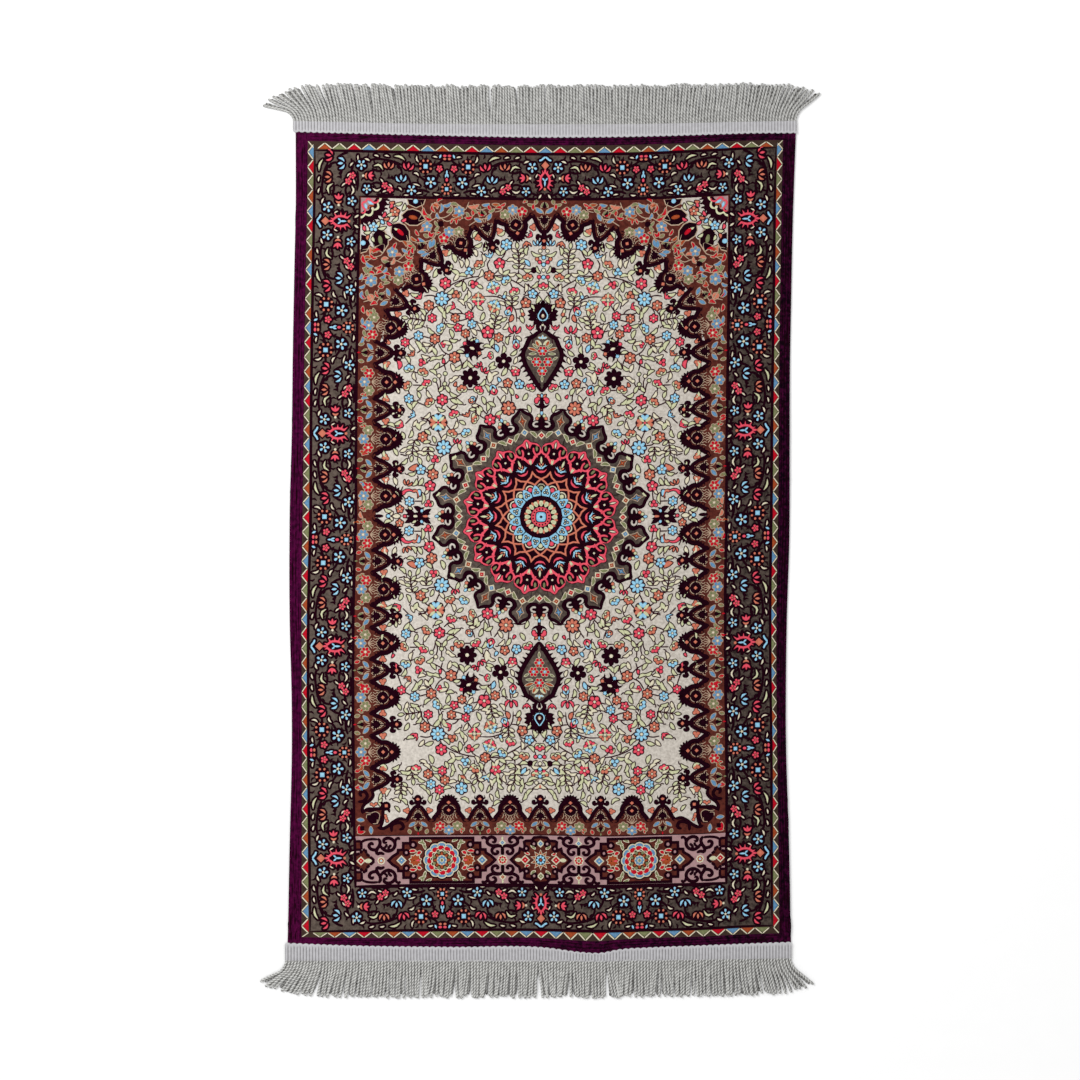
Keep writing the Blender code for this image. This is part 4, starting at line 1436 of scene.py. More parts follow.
                lay(Ink.UMBER, dot(2.5, 9), Layer.OUTLINE, spot, -0.06)
                lay(Ink.SALMON, dot(1.8, 8), Layer.FILL, spot, -0.06)

    def trio(self, at: np.ndarray, k: int) -> None:
        """Three flowers behind a broad palmette, in an order that changes from one to the next."""
        order = (Ink.SAGE, Ink.RED) if k % 2 else (Ink.RED, Ink.SAGE)
        d = self.draw
        if k > 2:
            d.flower(after(at, placed(-8.6, -17.6)), order[0], 5.0)
            d.flower(after(at, placed(8.6, -17.4)), order[1], 5.0)
            d.flower(after(at, placed(0, -22.0)), Ink.BLUE, 5.2)
        for turn, reach in ((0, 6.6), (26, 7.4), (-26, 7.4), (52, 7.0), (-52, 7.0)):
            line = ((0, 0), (0, reach))
            self.chart.lay(Ink.SAND, blade(line, 0.8, Outline.STROKE, 4), Layer.FILL, after(at, placed(0, -15.0, turn)),
                           -0.04)
        for side in (-1, 1):
            d.leaf(after(at, placed(side * 15.4, -22.5, side * 60)), Ink.RED, 4.6, 1.9)
            d.leaf(after(at, placed(side * 15.2, -20.0, side * 150)), Ink.SAGE, 4.6, 2.4)
            if k > 2:
                d.leaf(after(at, placed(side * 13.0, -25.6, side * 20)), Ink.RED, 3.6, 1.5)

    def pair(self, at: np.ndarray, k: int) -> None:
        """Pair of blue leaves behind a narrow palmette, with drops and a dark lozenge."""
        lay = self.chart.lay
        d = self.draw
        inks = (Ink.RED, Ink.SAGE) if k % 2 else (Ink.SAGE, Ink.RED)
        for side in (-1, 1):
            d.leaf(after(at, placed(side * 8.8, -13.0, side * 47)), Ink.BLUE, 8.0, 3.6)
            d.leaf(after(at, placed(side * 9.2, -16.4, side * 165)), inks[0], 5.4, 3.2)
            d.leaf(after(at, placed(side * 9.2, -17.6, side * 165)), inks[1], 2.6, 1.5)
            d.leaf(after(at, placed(side * 3.4, -13.4, side * 150)), Ink.SAGE, 5.4, 2.2)
            self.chart.lay(Ink.SAND, blade(((side * 0.6, -6.0), (side * 1.6, -9.6), (side * 4.6, -12.4)), 0.8,
                                           Outline.STROKE, 6), Layer.FILL, at)
        lay(Ink.DARK, spiky(3.6, 0, 2, 0), Layer.OUTLINE, after(at, placed(0, -15.6)), 0.05)
        lay(Ink.DARK, dot(2.9), Layer.FILL, after(at, placed(0, -15.6)))
        if at[0, 2]:
            lay(inks[1], blade(((0, -19.5), (0, -23.5)), 1.8, Outline.LEAF, 5), Layer.FILL, at)


@dataclass
class CornerCurls:
    """Slanting palmette of each lower corner, and the half-scrolls that tie it to the row."""

    chart: Chart
    draw: Motifs
    scrolls: tuple[tuple[tuple[float, float], ...], ...] = (
        ((-167.2, -273.6), (-165.8, -278.8), (-169.6, -284.0), (-174.4, -287.4), (-176.8, -292.0), (-176.6, -297.0)),
        ((-133.6, -303.1), (-140.3, -302.4), (-145.6, -305.0), (-152.0, -309.8), (-157.4, -312.0), (-162.0, -310.6)),
        ((-177.4, -296.4), (-172.0, -292.6), (-164.0, -292.2), (-157.4, -291.2), (-156.6, -287.2), (-160.2, -285.6)),
        ((-159.6, -312.4), (-156.8, -304.0), (-156.4, -298.0), (-155.6, -293.2), (-151.4, -292.4), (-149.6, -296.0)),
        ((-181.0, -285.0), (-175.4, -284.2), (-171.6, -279.0), (-174.8, -274.6), (-179.0, -276.4), (-177.2, -280.0)),
        ((-148.0, -315.4), (-147.4, -308.4), (-143.2, -306.4), (-137.6, -307.0), (-136.4, -311.4), (-140.4, -313.4)),
    )
    threads: tuple[tuple[tuple[float, float], ...], ...] = (
        ((-173.6, -295.6), (-168.8, -296.4), (-163.4, -295.0), (-160.0, -297.0), (-160.4, -303.0), (-162.4, -307.6)),
        ((-172.8, -301.6), (-172.4, -298.2), (-168.4, -297.8)), ((-162.0, -302.6), (-162.6, -306.6), (-166.6, -307.0)),
    )

    def build(self) -> None:
        """Lay the palmette's ground, its dark scrolls and pale threads, then its flowers, mirrored."""
        self.chart.start("guard", 0.22, (IDENTITY, MIRROR))
        lay, d = self.chart.lay, self.draw
        body = ((-177.0, -296.0), (-171.0, -293.0), (-157.0, -292.0), (-157.0, -303.0), (-159.0, -312.0),
                (-170.0, -309.0), (-175.0, -304.0))
        lay(Ink.BROWN, patch(body, (-166, -301), 2), Layer.GROUND, lift=-0.02)
        lay(Ink.DARK, oval(8.6, 6.6, 18), Layer.GROUND, placed(-165.4, -300.8, -45), 0.02)
        for path in self.scrolls:
            lay(Ink.DARK, blade(path, 3.3, Outline.STROKE, 4 * len(path)), Layer.FILL)
        for path in self.threads:
            lay(Ink.SAND, blade(path, 0.7, Outline.STROKE, 4 * len(path)), Layer.FILL, lift=0.06)
        lay(Ink.DARK, oval(4.0, 3.2, 12, 2), Layer.FILL, placed(-166.9, -302.1, 45), 0.02)
        lay(Ink.DARK, oval(4.6, 4.6, 12, 2), Layer.FILL, placed(-153.0, -289.4), 0.02)
        lay(Ink.SALMON, spiky(2.0, 0.5, 4), Layer.EYE, placed(-152.9, -289.2, 45), 0.18)
        for x, y in ((-165.4, -288.6), (-163.2, -287.2), (-167.6, -287.4), (-153.2, -301.6), (-152.2, -304.4),
                     (-154.0, -299.2)):
            lay(Ink.UMBER, dot(2.1, 7), Layer.OUTLINE, placed(x, y), -0.06)
            lay(Ink.SALMON, dot(1.5, 6), Layer.FILL, placed(x, y), -0.06)
        self.chart.ground = 0.10
        d.leaf(placed(-174.8, -303.4, 86), Ink.BLUE, 7.6, 3.6)
        d.leaf(placed(-168.7, -309.6, 184), Ink.BLUE, 7.6, 3.6)
        d.outlined(Ink.RED, IDENTITY, (((-181.0, -315.6), (-180.0, -308.4)), 3.2, Outline.LEAF, 6),
                   (((-182.0, -316.0), (-174.6, -314.8)), 3.2, Outline.LEAF, 6))
        lay(Ink.DARK, spiky(3.2, 0, 2, 0), Layer.FILL, placed(-177.4, -311.6, 45))
        d.gem(placed(-180.6, -270.6), Ink.RED, 1.9, Ink.SAND, Ink.RED)
        d.leaf(placed(-174.4, -272.0, -40), Ink.BLUE, 6.0, 2.8)


# ---------------------------------------------------------------------------------------------------------
# Corners, medallion and pendants
# ---------------------------------------------------------------------------------------------------------


@dataclass
class Spandrels:
    """Upper corners of the inner ground: a quarter rosette, an ivory band and arabesques down to the field.

    Places are measured from the inner corner: x to the right and y down from it.
    """

    chart: Chart
    draw: Motifs
    pen: Motifs  # for the ivory part
    corner: tuple[float, float] = (-183.4, 317.2)

    def at(self, x: float, y: float, turn: float = 0.0) -> np.ndarray:
        """Chart placement of a corner place."""
        return placed(self.corner[0] + x, self.corner[1] - y, turn)

    def arc(self, radii: Sequence[float]) -> list[tuple[float, float]]:
        """Quarter outline about the corner with radii at equal angles from the top edge to the side edge."""
        angles = np.linspace(0, math.pi / 2, len(radii))
        return [(self.corner[0] + r * math.cos(a), self.corner[1] - r * math.sin(a)) for r, a in zip(radii, angles)]

    def quarter(self, ink: Ink, radius: float, depth: float, lobes: float, lift: float, first: float = 0.0) -> None:
        """Quarter disc with a lobed edge: radius - depth * (1 - |cos(lobes * angle)|)."""
        angles = np.linspace(0, math.pi / 2, 41)
        radii = radius - depth * (1 - np.abs(np.cos(lobes * angles + first)))
        middle = (self.corner[0] + 6, self.corner[1] - 6)
        self.chart.lay(ink, patch([self.corner] + self.arc(radii), middle, 3), Layer.GROUND, lift=lift)

    def build(self) -> None:
        """Lay the corner's rings, its flowers and the arabesques, mirrored."""
        self.chart.start("spandrel", 0.06, (IDENTITY, MIRROR))
        lay, pen = self.chart.lay, self.pen
        self.quarter(Ink.IVORY, 51.5, 6.0, 10, 0.06)
        self.quarter(Ink.DARK, 27.0, 2.2, 14, 0.12)
        self.quarter(Ink.LEAF, 20.6, 3.0, 6, 0.18)
        self.quarter(Ink.DARK, 18.4, 2.8, 6, 0.21)
        self.quarter(Ink.MAUVE, 14.6, 2.2, 6, 0.24)
        for angle in np.radians((4, 13, 22, 31, 40, 49, 58, 67, 76, 85)):
            spot = self.at(26.6 * math.cos(angle), 26.6 * math.sin(angle), -math.degrees(angle) - 90)
            lay(Ink.DARK, blade(((0, -2.0), (0, 3.0)), 2.6, Outline.LEAF, 5), Layer.FILL, spot, -0.14)
        self.chart.ground = 0.26
        for ink, width, path in CORNER_ROSETTE:
            spine = tuple((self.corner[0] + x, self.corner[1] - y) for x, y in path)
            style = Outline.STROKE if ink is Ink.CORAL else Outline.LEAF
            lay(ink, blade(spine, width, style, 3 * len(path) + 2), Layer.FILL)
        lay(Ink.CREAM, dot(1.5), Layer.EYE, self.at(11.7, 10.6), 0.2)
        self.chart.ground = 0.16
        pen.flower(self.at(34.1, 13.4), Ink.SALMON, 4.8, 5)
        pen.flower(self.at(13.0, 28.9), Ink.SKY, 4.8, 5)
        for x, y, turn, length, ink in (
                (17.4, 30.6, -75, 8.6, Ink.LEAF), (3.7, 34.6, -82, 7.0, Ink.LEAF), (31.5, 23.1, -47, 8.0, Ink.LEAF),
                (41.4, 12.0, -20, 7.4, Ink.LEAF), (34.0, 5.8, -75, 7.4, Ink.LEAF), (21.6, 18.6, -30, 5.6, Ink.CORAL),
                (23.0, 20.6, -80, 5.6, Ink.SALMON), (20.6, 21.4, -140, 5.0, Ink.SKY), (26.4, 17.2, -60, 5.6, Ink.LEAF),
                (19.0, 23.4, 170, 5.4, Ink.LEAF), (26.6, 23.6, -120, 5.4, Ink.CORAL), (29.0, 9.4, -20, 4.8, Ink.CORAL),
                (28.4, 4.2, -80, 5.0, Ink.SALMON), (4.0, 27.8, 190, 5.0, Ink.CORAL), (8.8, 37.4, 160, 5.0, Ink.SALMON),
                (24.6, 36.4, -120, 6.0, Ink.LEAF), (40.6, 22.4, -60, 5.6, Ink.CORAL), (12.4, 38.4, 200, 5.6, Ink.LEAF),
                (33.4, 29.6, -100, 6.0, Ink.LEAF)):
            pen.leaf(self.at(x, y, turn), ink, length, 3.0, 0.9)
        self.chart.ground = 0.10
        body = ((-9.6, 0), (-6, 5.4), (-1.5, 7.4), (4.5, 6.2), (10.5, 0), (4.5, -6.2), (-1.5, -7.4), (-6, -5.4))
        for x, y, turn, ink, size in CORNER_LOBES:
            clipped = ink is Ink.SKY
            spot = after(self.at(x, y, turn), np.array([[size * 1.18, 0, 0], [0, size * 1.06, 0]]))
            shape = ((-10, -1.6), (-8, 4), (0, 7.6), (8, 4), (10, -1.6)) if clipped else body
            if clipped and x < 10:
                shape = ((-1.4, -10), (-1.4, 10), (4, 8), (7.6, 0), (4, -8))
            elif clipped:
                spot = after(self.at(x, y, 180), placed(size=size))
            lay(Ink.SAND, patch([(px * 1.12, py * 1.14) for px, py in shape], (1, 1)), Layer.GROUND, spot, 0.02)
            lay(Ink.DARK, patch(shape, (1, 1), 2, 1.0), Layer.FILL, spot)
            eye = dot(2.7, 10, 2) if clipped else oval(3.8, 2.0, 10, 2)
            lay(ink, eye, Layer.EYE, after(spot, placed(0.6, 0.6) if clipped else IDENTITY), 0.2)
        self.arabesques()

    def fill(self, tries: int = 6840, seed: int = 9) -> None:
        """Small curled leaves at free places of the brown ground, down both sides of the field."""
        rng = np.random.default_rng(seed)
        rim = left_rim()
        taken = [(self.corner[0] + x, self.corner[1] - y, gap)
                 for table, gap in ((CORNER_FLOWERS, 7.4), (CORNER_LEAVES, 4.2))
                 for x, y, *_ in table]
        for heads, spots in ((WHEELS, ((-8.6, -17.6), (8.6, -17.4), (0, -22.0))),
                             (OVALS, ((-6, -10.5), (6, -10.5), (0, -16)))):
            for head in heads:
                at = placed(head.x, head.y, head.way - 90)
                taken += [(*(at[:, :2] @ spot + at[:, 2]), 7.4) for spot in spots]
        taken += [(self.corner[0] + x, self.corner[1] - y, 11.5) for x, y, *_ in CORNER_LOBES]
        inks = (Ink.RED, Ink.SAGE, Ink.BLUE, Ink.RUST, Ink.RED, Ink.SALMON)
        places = scatter(rng, (-181.5, -300.0), (0.0, 315.0), taken, 5.0, tries)
        kept = [(x, y) for x, y in places
                if math.hypot(x - self.corner[0], y - self.corner[1]) > 55 and outside(rim, x, y) > 9.5]
        for k, (x, y) in enumerate(kept):
            bend = (-1.4, 1.4)[k % 2]
            self.draw.leaf(placed(x, y, round(rng.uniform(0, 360))), inks[k % len(inks)], 6.4, 2.7, bend)

    def arabesques(self) -> None:
        """Flowers, curled leaves and pale outlines on the brown ground."""
        d, lay = self.draw, self.chart.lay
        self.chart.ground = 0.08
        for x, y, radius, petals, ink in CORNER_FLOWERS:
            d.flower(self.at(x, y), ink, radius, petals)
        for x, y, turn, length, width, bend, ink in CORNER_LEAVES:
            d.leaf(self.at(x, y, turn), ink, length, width, bend)
        for x, y in ((80, 24.6), (60.4, 48), (72.3, 58.6), (28.1, 66.3)):
            lay(Ink.DARK, dot(3.0, 10, 2), Layer.FILL, self.at(x, y))
            for turn in (0, 90, 180, 270):
                lay(Ink.SAND, blade(((0, 3.6), (0, 5.4)), 1.0, Outline.DROP, 4), Layer.FILL, self.at(x, y, turn + 45))
        self.fill()
        for path in CORNER_THREADS:
            spine = tuple((self.corner[0] + x, self.corner[1] - y) for x, y in path)
            lay(Ink.SAND, blade(spine, 0.9, Outline.STROKE, 4 * len(path)), Layer.FILL, lift=-0.02)


CORNER_ROSETTE = (  # yarn, width, line from the corner
    (Ink.CORAL, 1.8, ((0.2, 15), (3.5, 14.8), (4.4, 12.8), (3, 10.4), (1.4, 8), (1.2, 6), (2.4, 4.4), (4.6, 3.8),
                      (5.8, 1.5), (8, 1), (10, 2.4), (12, 4.4), (14.6, 4.6), (16.8, 3.6), (17.2, 1.2))),
    (Ink.SKY, 2.9, ((6.4, 3.7), (12.6, 6.4))), (Ink.SKY, 2.9, ((4.2, 5.5), (5.5, 11.2))),
    (Ink.RUST, 2.2, ((7.3, 7.7), (13.4, 7.7))), (Ink.RUST, 2.2, ((7.3, 7.7), (7.7, 11.7))),
)
CORNER_LOBES = (  # x, y, turn, yarn of the eye, size
    (55.0, 2.0, 90, Ink.SKY, 0.86), (52.3, 18.6, -10, Ink.RUST, 1.0), (39.8, 33.6, -43, Ink.RED, 1.0),
    (20.0, 41.8, -78, Ink.SAGE, 1.0), (2.2, 45.6, 0, Ink.SKY, 0.86),
)
CORNER_FLOWERS = (  # x, y, radius, petals, yarn
    (66.3, 27.7, 5.2, 5, Ink.BLUE), (88.4, 32.6, 5.2, 6, Ink.BLUE), (98.2, 32.3, 5.0, 6, Ink.SAGE),
    (83.5, 38.9, 5.2, 5, Ink.RED), (98.2, 11.6, 5.4, 6, Ink.BLUE), (32.3, 53.7, 5.2, 5, Ink.BLUE),
    (48.8, 68.0, 5.2, 5, Ink.RED), (39.6, 73.0, 5.2, 6, Ink.BLUE), (38.6, 81.4, 5.0, 6, Ink.SAGE),
    (11.6, 82.4, 6.0, 6, Ink.BLUE), (151.6, 9.6, 5.2, 6, Ink.BLUE), (161.1, 11.6, 5.0, 5, Ink.RED),
    (144.1, 14.6, 5.0, 6, Ink.SAGE),
)
CORNER_LEAVES = (  # x, y, turn, length, width, bend, yarn
    (62.5, 9.0, -150, 9.0, 3.4, 2.2, Ink.RED), (64.0, 17.0, -115, 8.4, 2.8, 1.6, Ink.RED),
    (74.0, 13.0, 20, 8.0, 2.8, -1.6, Ink.RED), (78.5, 13.5, -10, 9.0, 3.0, 2.2, Ink.BLUE),
    (82.0, 6.0, -70, 8.4, 3.2, 2.0, Ink.BLUE), (86.0, 13.0, -40, 8.0, 3.4, 1.6, Ink.SAGE),
    (89.0, 5.0, -100, 8.0, 2.8, -1.6, Ink.SAGE), (71.5, 4.6, -100, 7.0, 2.6, 1.2, Ink.RUST),
    (92.0, 20.0, -70, 7.4, 2.6, 1.0, Ink.RUST), (74.0, 22.0, -140, 6.4, 2.4, 0.6, Ink.SAGE),
    (104.0, 18.0, -80, 7.6, 3.0, 1.2, Ink.RED), (107.0, 6.6, -80, 11.0, 4.0, 2.2, Ink.SALMON),
    (70.9, 48.0, -20, 8.6, 3.6, 0.6, Ink.BLUE), (61.0, 56.8, -70, 8.6, 3.6, 0.6, Ink.BLUE),
    (55.0, 31.0, -150, 6.4, 2.4, 0.6, Ink.RED), (58.0, 39.0, -120, 7.4, 2.8, 1.0, Ink.BLUE),
    (68.0, 37.0, -60, 6.4, 2.4, 0.8, Ink.RED), (74.0, 31.0, -40, 6.0, 2.4, 0.8, Ink.SAGE),
    (90.0, 24.0, -20, 5.4, 2.0, 0.0, Ink.RED), (95.6, 24.5, 0, 5.4, 2.0, 0.0, Ink.RED),
    (77.6, 44.0, 150, 6.0, 2.2, 0.6, Ink.SAGE), (50.0, 43.0, -150, 6.0, 2.4, 0.6, Ink.SAGE),
    (50.0, 51.0, 170, 6.4, 2.4, 0.8, Ink.RED), (36.0, 44.5, 160, 6.6, 2.6, 0.8, Ink.RED),
    (28.0, 60.0, 100, 6.6, 2.6, 0.8, Ink.SALMON), (42.0, 50.0, -120, 7.0, 2.8, 0.8, Ink.BLUE),
    (21.0, 52.0, 110, 9.0, 3.2, 2.4, Ink.RED), (17.0, 60.0, 60, 8.0, 2.8, -2.0, Ink.RED),
    (3.0, 57.0, 200, 9.0, 3.4, 1.6, Ink.RED), (6.0, 64.0, -120, 8.6, 3.2, 2.0, Ink.BLUE),
    (3.0, 70.0, -150, 7.6, 2.8, -1.6, Ink.SAGE), (12.0, 70.0, 160, 7.6, 2.8, 1.6, Ink.SAGE),
    (22.0, 62.0, -100, 7.0, 2.6, 1.0, Ink.SAGE), (21.0, 73.0, 60, 6.8, 2.4, 0.8, Ink.SALMON),
    (46.0, 58.0, -100, 7.0, 2.6, 1.0, Ink.RED), (52.0, 62.0, 160, 6.4, 2.4, 0.6, Ink.SAGE),
    (45.0, 79.0, -90, 6.6, 2.2, 0.6, Ink.RED), (30.5, 76.5, 75, 6.4, 2.2, 0.6, Ink.RED),
    (30.0, 84.0, 110, 6.0, 2.4, 0.8, Ink.SAGE), (22.0, 84.0, 170, 6.0, 2.4, 0.6, Ink.RUST),
    (3.0, 93.0, 190, 8.0, 3.4, 1.8, Ink.BLUE), (9.0, 96.0, -150, 8.0, 3.0, 1.6, Ink.SALMON),
    (16.0, 93.0, -150, 7.0, 2.6, 1.0, Ink.RED), (4.0, 108.0, 190, 7.0, 3.0, 1.0, Ink.RED),
    (8.0, 112.0, -160, 6.4, 2.4, 0.6, Ink.SALMON), (3.5, 120.0, 190, 7.0, 2.8, 0.6, Ink.BLUE),
    (5.0, 132.0, 200, 6.4, 2.6, 0.6, Ink.SAGE), (14.0, 110.0, -160, 6.0, 2.4, 0.0, Ink.SAGE),
    (108.0, 18.0, 30, 6.0, 2.4, 0.6, Ink.SAGE), (117.0, 12.0, -120, 7.4, 2.8, 1.0, Ink.RED),
    (121.0, 5.0, -80, 7.4, 3.0, 1.0, Ink.BLUE), (128.0, 12.0, -60, 6.4, 2.6, 0.6, Ink.SAGE),
    (131.0, 4.0, -90, 7.0, 2.6, 0.6, Ink.RUST), (139.0, 6.0, -60, 6.0, 2.4, 0.6, Ink.RED),
    (172.0, 3.4, 180, 6.0, 2.8, 0.0, Ink.RED), (176.0, 8.6, -120, 7.0, 3.0, 0.6, Ink.BLUE),
    (166.5, 3.6, -100, 5.4, 2.4, 0.6, Ink.SAGE),
)
CORNER_THREADS = (
    ((60, 3), (62, 12), (58, 22), (64, 20), (72, 10), (70, 4)),
    ((74, 18), (84, 18), (92, 10), (88, 3)),
    ((96, 4), (104, 10), (108, 2)),
    ((76, 30), (74, 38), (64, 43), (54, 44)),
    ((68, 23), (78, 18), (86, 22), (94, 19)),
    ((46, 36), (48, 46), (44, 56), (38, 62)),
    ((2, 52), (12, 50), (24, 46), (22, 56), (12, 60), (3, 66)),
    ((20, 68), (16, 76), (6, 76), (2, 84)),
    ((30, 66), (36, 62), (42, 64), (54, 56)),
    ((20, 90), (14, 100), (4, 104)),
    ((112, 4), (118, 10), (126, 8)), ((108, 26), (118, 20), (128, 18)), ((134, 12), (140, 10), (142, 4)),
    ((26, 92), (20, 100), (16, 106)), ((12, 116), (6, 124), (3, 130)),
    ((54, 70), (50, 78), (46, 84)), ((74, 50), (80, 46), (88, 44)), ((62, 62), (66, 56), (72, 52)),
)


MEDALLION_GROUND = (  # degrees from an odd axis, radius
    (0, 107.6), (2.5, 104.6), (4.6, 100.8), (5.3, 97.6), (4.9, 93.6), (4.9, 90.4), (6.75, 88.2), (9.7, 88.4),
    (11.25, 89.6),
)
CORAL_LOBE = (  # degrees from an odd axis, radius
    (0, 79.0), (1.4, 78.0), (3.0, 75.6), (4.4, 74.5), (6.0, 74.4), (8.0, 73.6), (9.6, 71.8), (10.6, 69.4),
    (11.25, 66.2),
)
PALMETTE_LOBE = (  # degrees from an even axis, radius
    (0, 64.2), (1.4, 62.8), (3.2, 60.2), (5.0, 57.6), (6.6, 55.8), (8.6, 54.4), (11.25, 53.4),
)
SKY_ARCH = ((-3.6, 21.2), (-4.35, 23.6), (-4.0, 26.2), (-2.9, 28.8), (-1.5, 30.9), (0, 33.0), (1.5, 30.9), (2.9, 28.8),
            (4.0, 26.2), (4.35, 23.6), (3.6, 21.2))
STAR_LINE = ((0, 45.4), (2.6, 40.8), (7.3, 37.4), (2.9, 34.9), (0, 32.6), (-2.9, 34.9), (-7.3, 37.4), (-2.6, 40.8))


@dataclass
class Medallion:
    """Round centre of sixteen folds; "even" shapes lie on the axis, "odd" ones half a fold from it."""

    chart: Chart
    draw: Motifs
    pale: Motifs  # pen of the garland
    folds: int = 16

    @property
    def odd(self) -> float:
        """Half a fold, in degrees."""
        return 180 / self.folds

    def ring(self, first: float, ground: float) -> None:
        """Lay what follows once for each fold, from an angle on, on a ground height."""
        turns = [first + k * 360 / self.folds for k in range(self.folds)]
        self.chart.start("medallion", ground, [polar(turn, 0) for turn in turns])

    def every_other(self, first: float, ground: float) -> None:
        """Lay what follows on every second fold of the right half, and in its mirror image."""
        right = [polar(first + k * 720 / self.folds, 0) for k in range(self.folds // 4)]
        self.chart.start("medallion", ground, right + [after(MIRROR, matrix) for matrix in right])

    def rim(self, profile: Sequence[tuple[float, float]], first: float, grow: float) -> list[tuple[float, float]]:
        """Outline of all folds from (degrees from a fold's axis, radius), the same on both of its sides."""
        fold = [(-angle, radius) for angle, radius in profile[:0:-1]] + list(profile[:-1])
        turns = [(math.radians(first + k * 360 / self.folds + angle), radius + grow)
                 for k in range(self.folds) for angle, radius in fold]
        return [(radius * math.sin(turn), radius * math.cos(turn)) for turn, radius in turns]

    def build(self) -> None:
        """Lay the grounds, then the rings from the middle outwards."""
        self.chart.start("medallion", 0.0)
        for ink, profile, first, grow, lift in (
                (Ink.TAUPE, MEDALLION_GROUND, self.odd, 0.0, 0.22), (Ink.UMBER, CORAL_LOBE, self.odd, 1.0, 0.27),
                (Ink.CORAL, CORAL_LOBE, self.odd, 0.0, 0.32), (Ink.DARK, PALMETTE_LOBE, 0.0, 0.0, 0.38)):
            self.chart.lay(ink, patch(self.rim(profile, first, grow), (0, 0), 7), Layer.GROUND, lift=lift)
        for part in (self.heart, self.petals, self.stars, self.palmettes, self.lobes, self.garland, self.bracket):
            part()

    def heart(self) -> None:
        """Middle: blue eye, red ring with dark dots, and pale wedges with salmon tips."""
        lay = self.chart.lay
        self.chart.start("medallion", 0.40)
        lay(Ink.CORAL, dot(10.0, 32, 2), Layer.OUTLINE, lift=0.06)
        turns = np.arange(24) * math.tau / 24
        square = 1 / (np.abs(np.cos(turns)) ** 4 + np.abs(np.sin(turns)) ** 4) ** 0.25
        lay(Ink.DARK, disc(5.6 * square), Layer.OUTLINE, lift=0.16)
        lay(Ink.SKY, disc(4.8 * square, 2), Layer.FILL, lift=0.06)
        lay(Ink.DARK, spiky(2.2, 0.6, 4), Layer.EYE, lift=0.16)
        for turn in (45, 135, 225, 315):
            lay(Ink.DARK, dot(0.55, 6), Layer.EYE, polar(turn, 4.2), 0.0)
        self.ring(0, 0.40)
        lay(Ink.LEAF, blade(((0, 10.4), (0, 16.4)), 4.9, Outline.PETAL, 6), Layer.FILL)
        lay(Ink.OLIVE, blade(((0, 11.0), (0, 15.2)), 0.7, Outline.LEAF, 4), Layer.EYE)
        lay(Ink.SALMON, oval(0.55, 0.7, 6).at(0, 8.0), Layer.EYE)
        self.ring(self.odd, 0.40)
        lay(Ink.SALMON, blade(((0, 13.0), (0, 17.2)), 2.3, Outline.PETAL, 5), Layer.FILL, lift=0.05)
        lay(Ink.DARK, oval(0.75, 0.95, 6).at(0, 8.0), Layer.EYE)

    def petals(self) -> None:
        """Ring of blue arches with three pale dots each, and the small eyes between them."""
        lay = self.chart.lay
        self.ring(self.odd, 0.40)
        middle = (0, 26)
        lay(Ink.DARK, patch([(x * 1.2, 26 + (y - 26) * 1.12) for x, y in SKY_ARCH], middle), Layer.OUTLINE, lift=0.08)
        lay(Ink.SKY, patch(SKY_ARCH, middle, 2, 1.0), Layer.FILL, lift=0.04)
        for x, y in ((-1.45, 24.6), (1.45, 24.6), (0, 27.3)):
            lay(Ink.DARK, dot(1.55, 8), Layer.EYE, placed(x, y), 0.26)
            lay(Ink.CREAM, dot(0.85, 6), Layer.EYE, placed(x, y), 0.40)
        for first, ink in ((0.0, Ink.LEAF), (2 * self.odd, Ink.CORAL)):
            self.every_other(first, 0.40)
            lay(Ink.CREAM, oval(4.6, 4.4, 14).at(0, 29.2), Layer.OUTLINE, lift=-0.02)
            lay(Ink.DARK, oval(3.5, 3.4, 12).at(0, 29.0), Layer.OUTLINE, lift=0.02)
            lay(ink, oval(2.7, 2.8, 12).at(0, 29.0), Layer.FILL, lift=-0.10)
            lay(Ink.CREAM if ink is Ink.LEAF else ink, dot(0.9, 6), Layer.EYE, placed(0, 29.8), -0.10)
        self.chart.start("medallion", 0.40)
        for turn in (0, 180):
            lay(Ink.CREAM, oval(4.6, 4.4, 14), Layer.OUTLINE, polar(turn, 29.2), -0.02)
            lay(Ink.DARK, oval(3.5, 3.4, 12), Layer.OUTLINE, polar(turn, 29.0), 0.02)
            lay(Ink.LEAF, oval(2.7, 2.8, 12), Layer.FILL, polar(turn, 29.0), -0.10)

    def stars(self) -> None:
        """Salmon line round sixteen dark stars."""
        self.ring(self.odd, 0.40)
        self.chart.lay(Ink.SALMON, loop(STAR_LINE, 1.75), Layer.FILL, lift=0.02)
        self.chart.lay(Ink.DARK, spiky(4.6, 2.4, 4).at(0, 38.6), Layer.EYE)

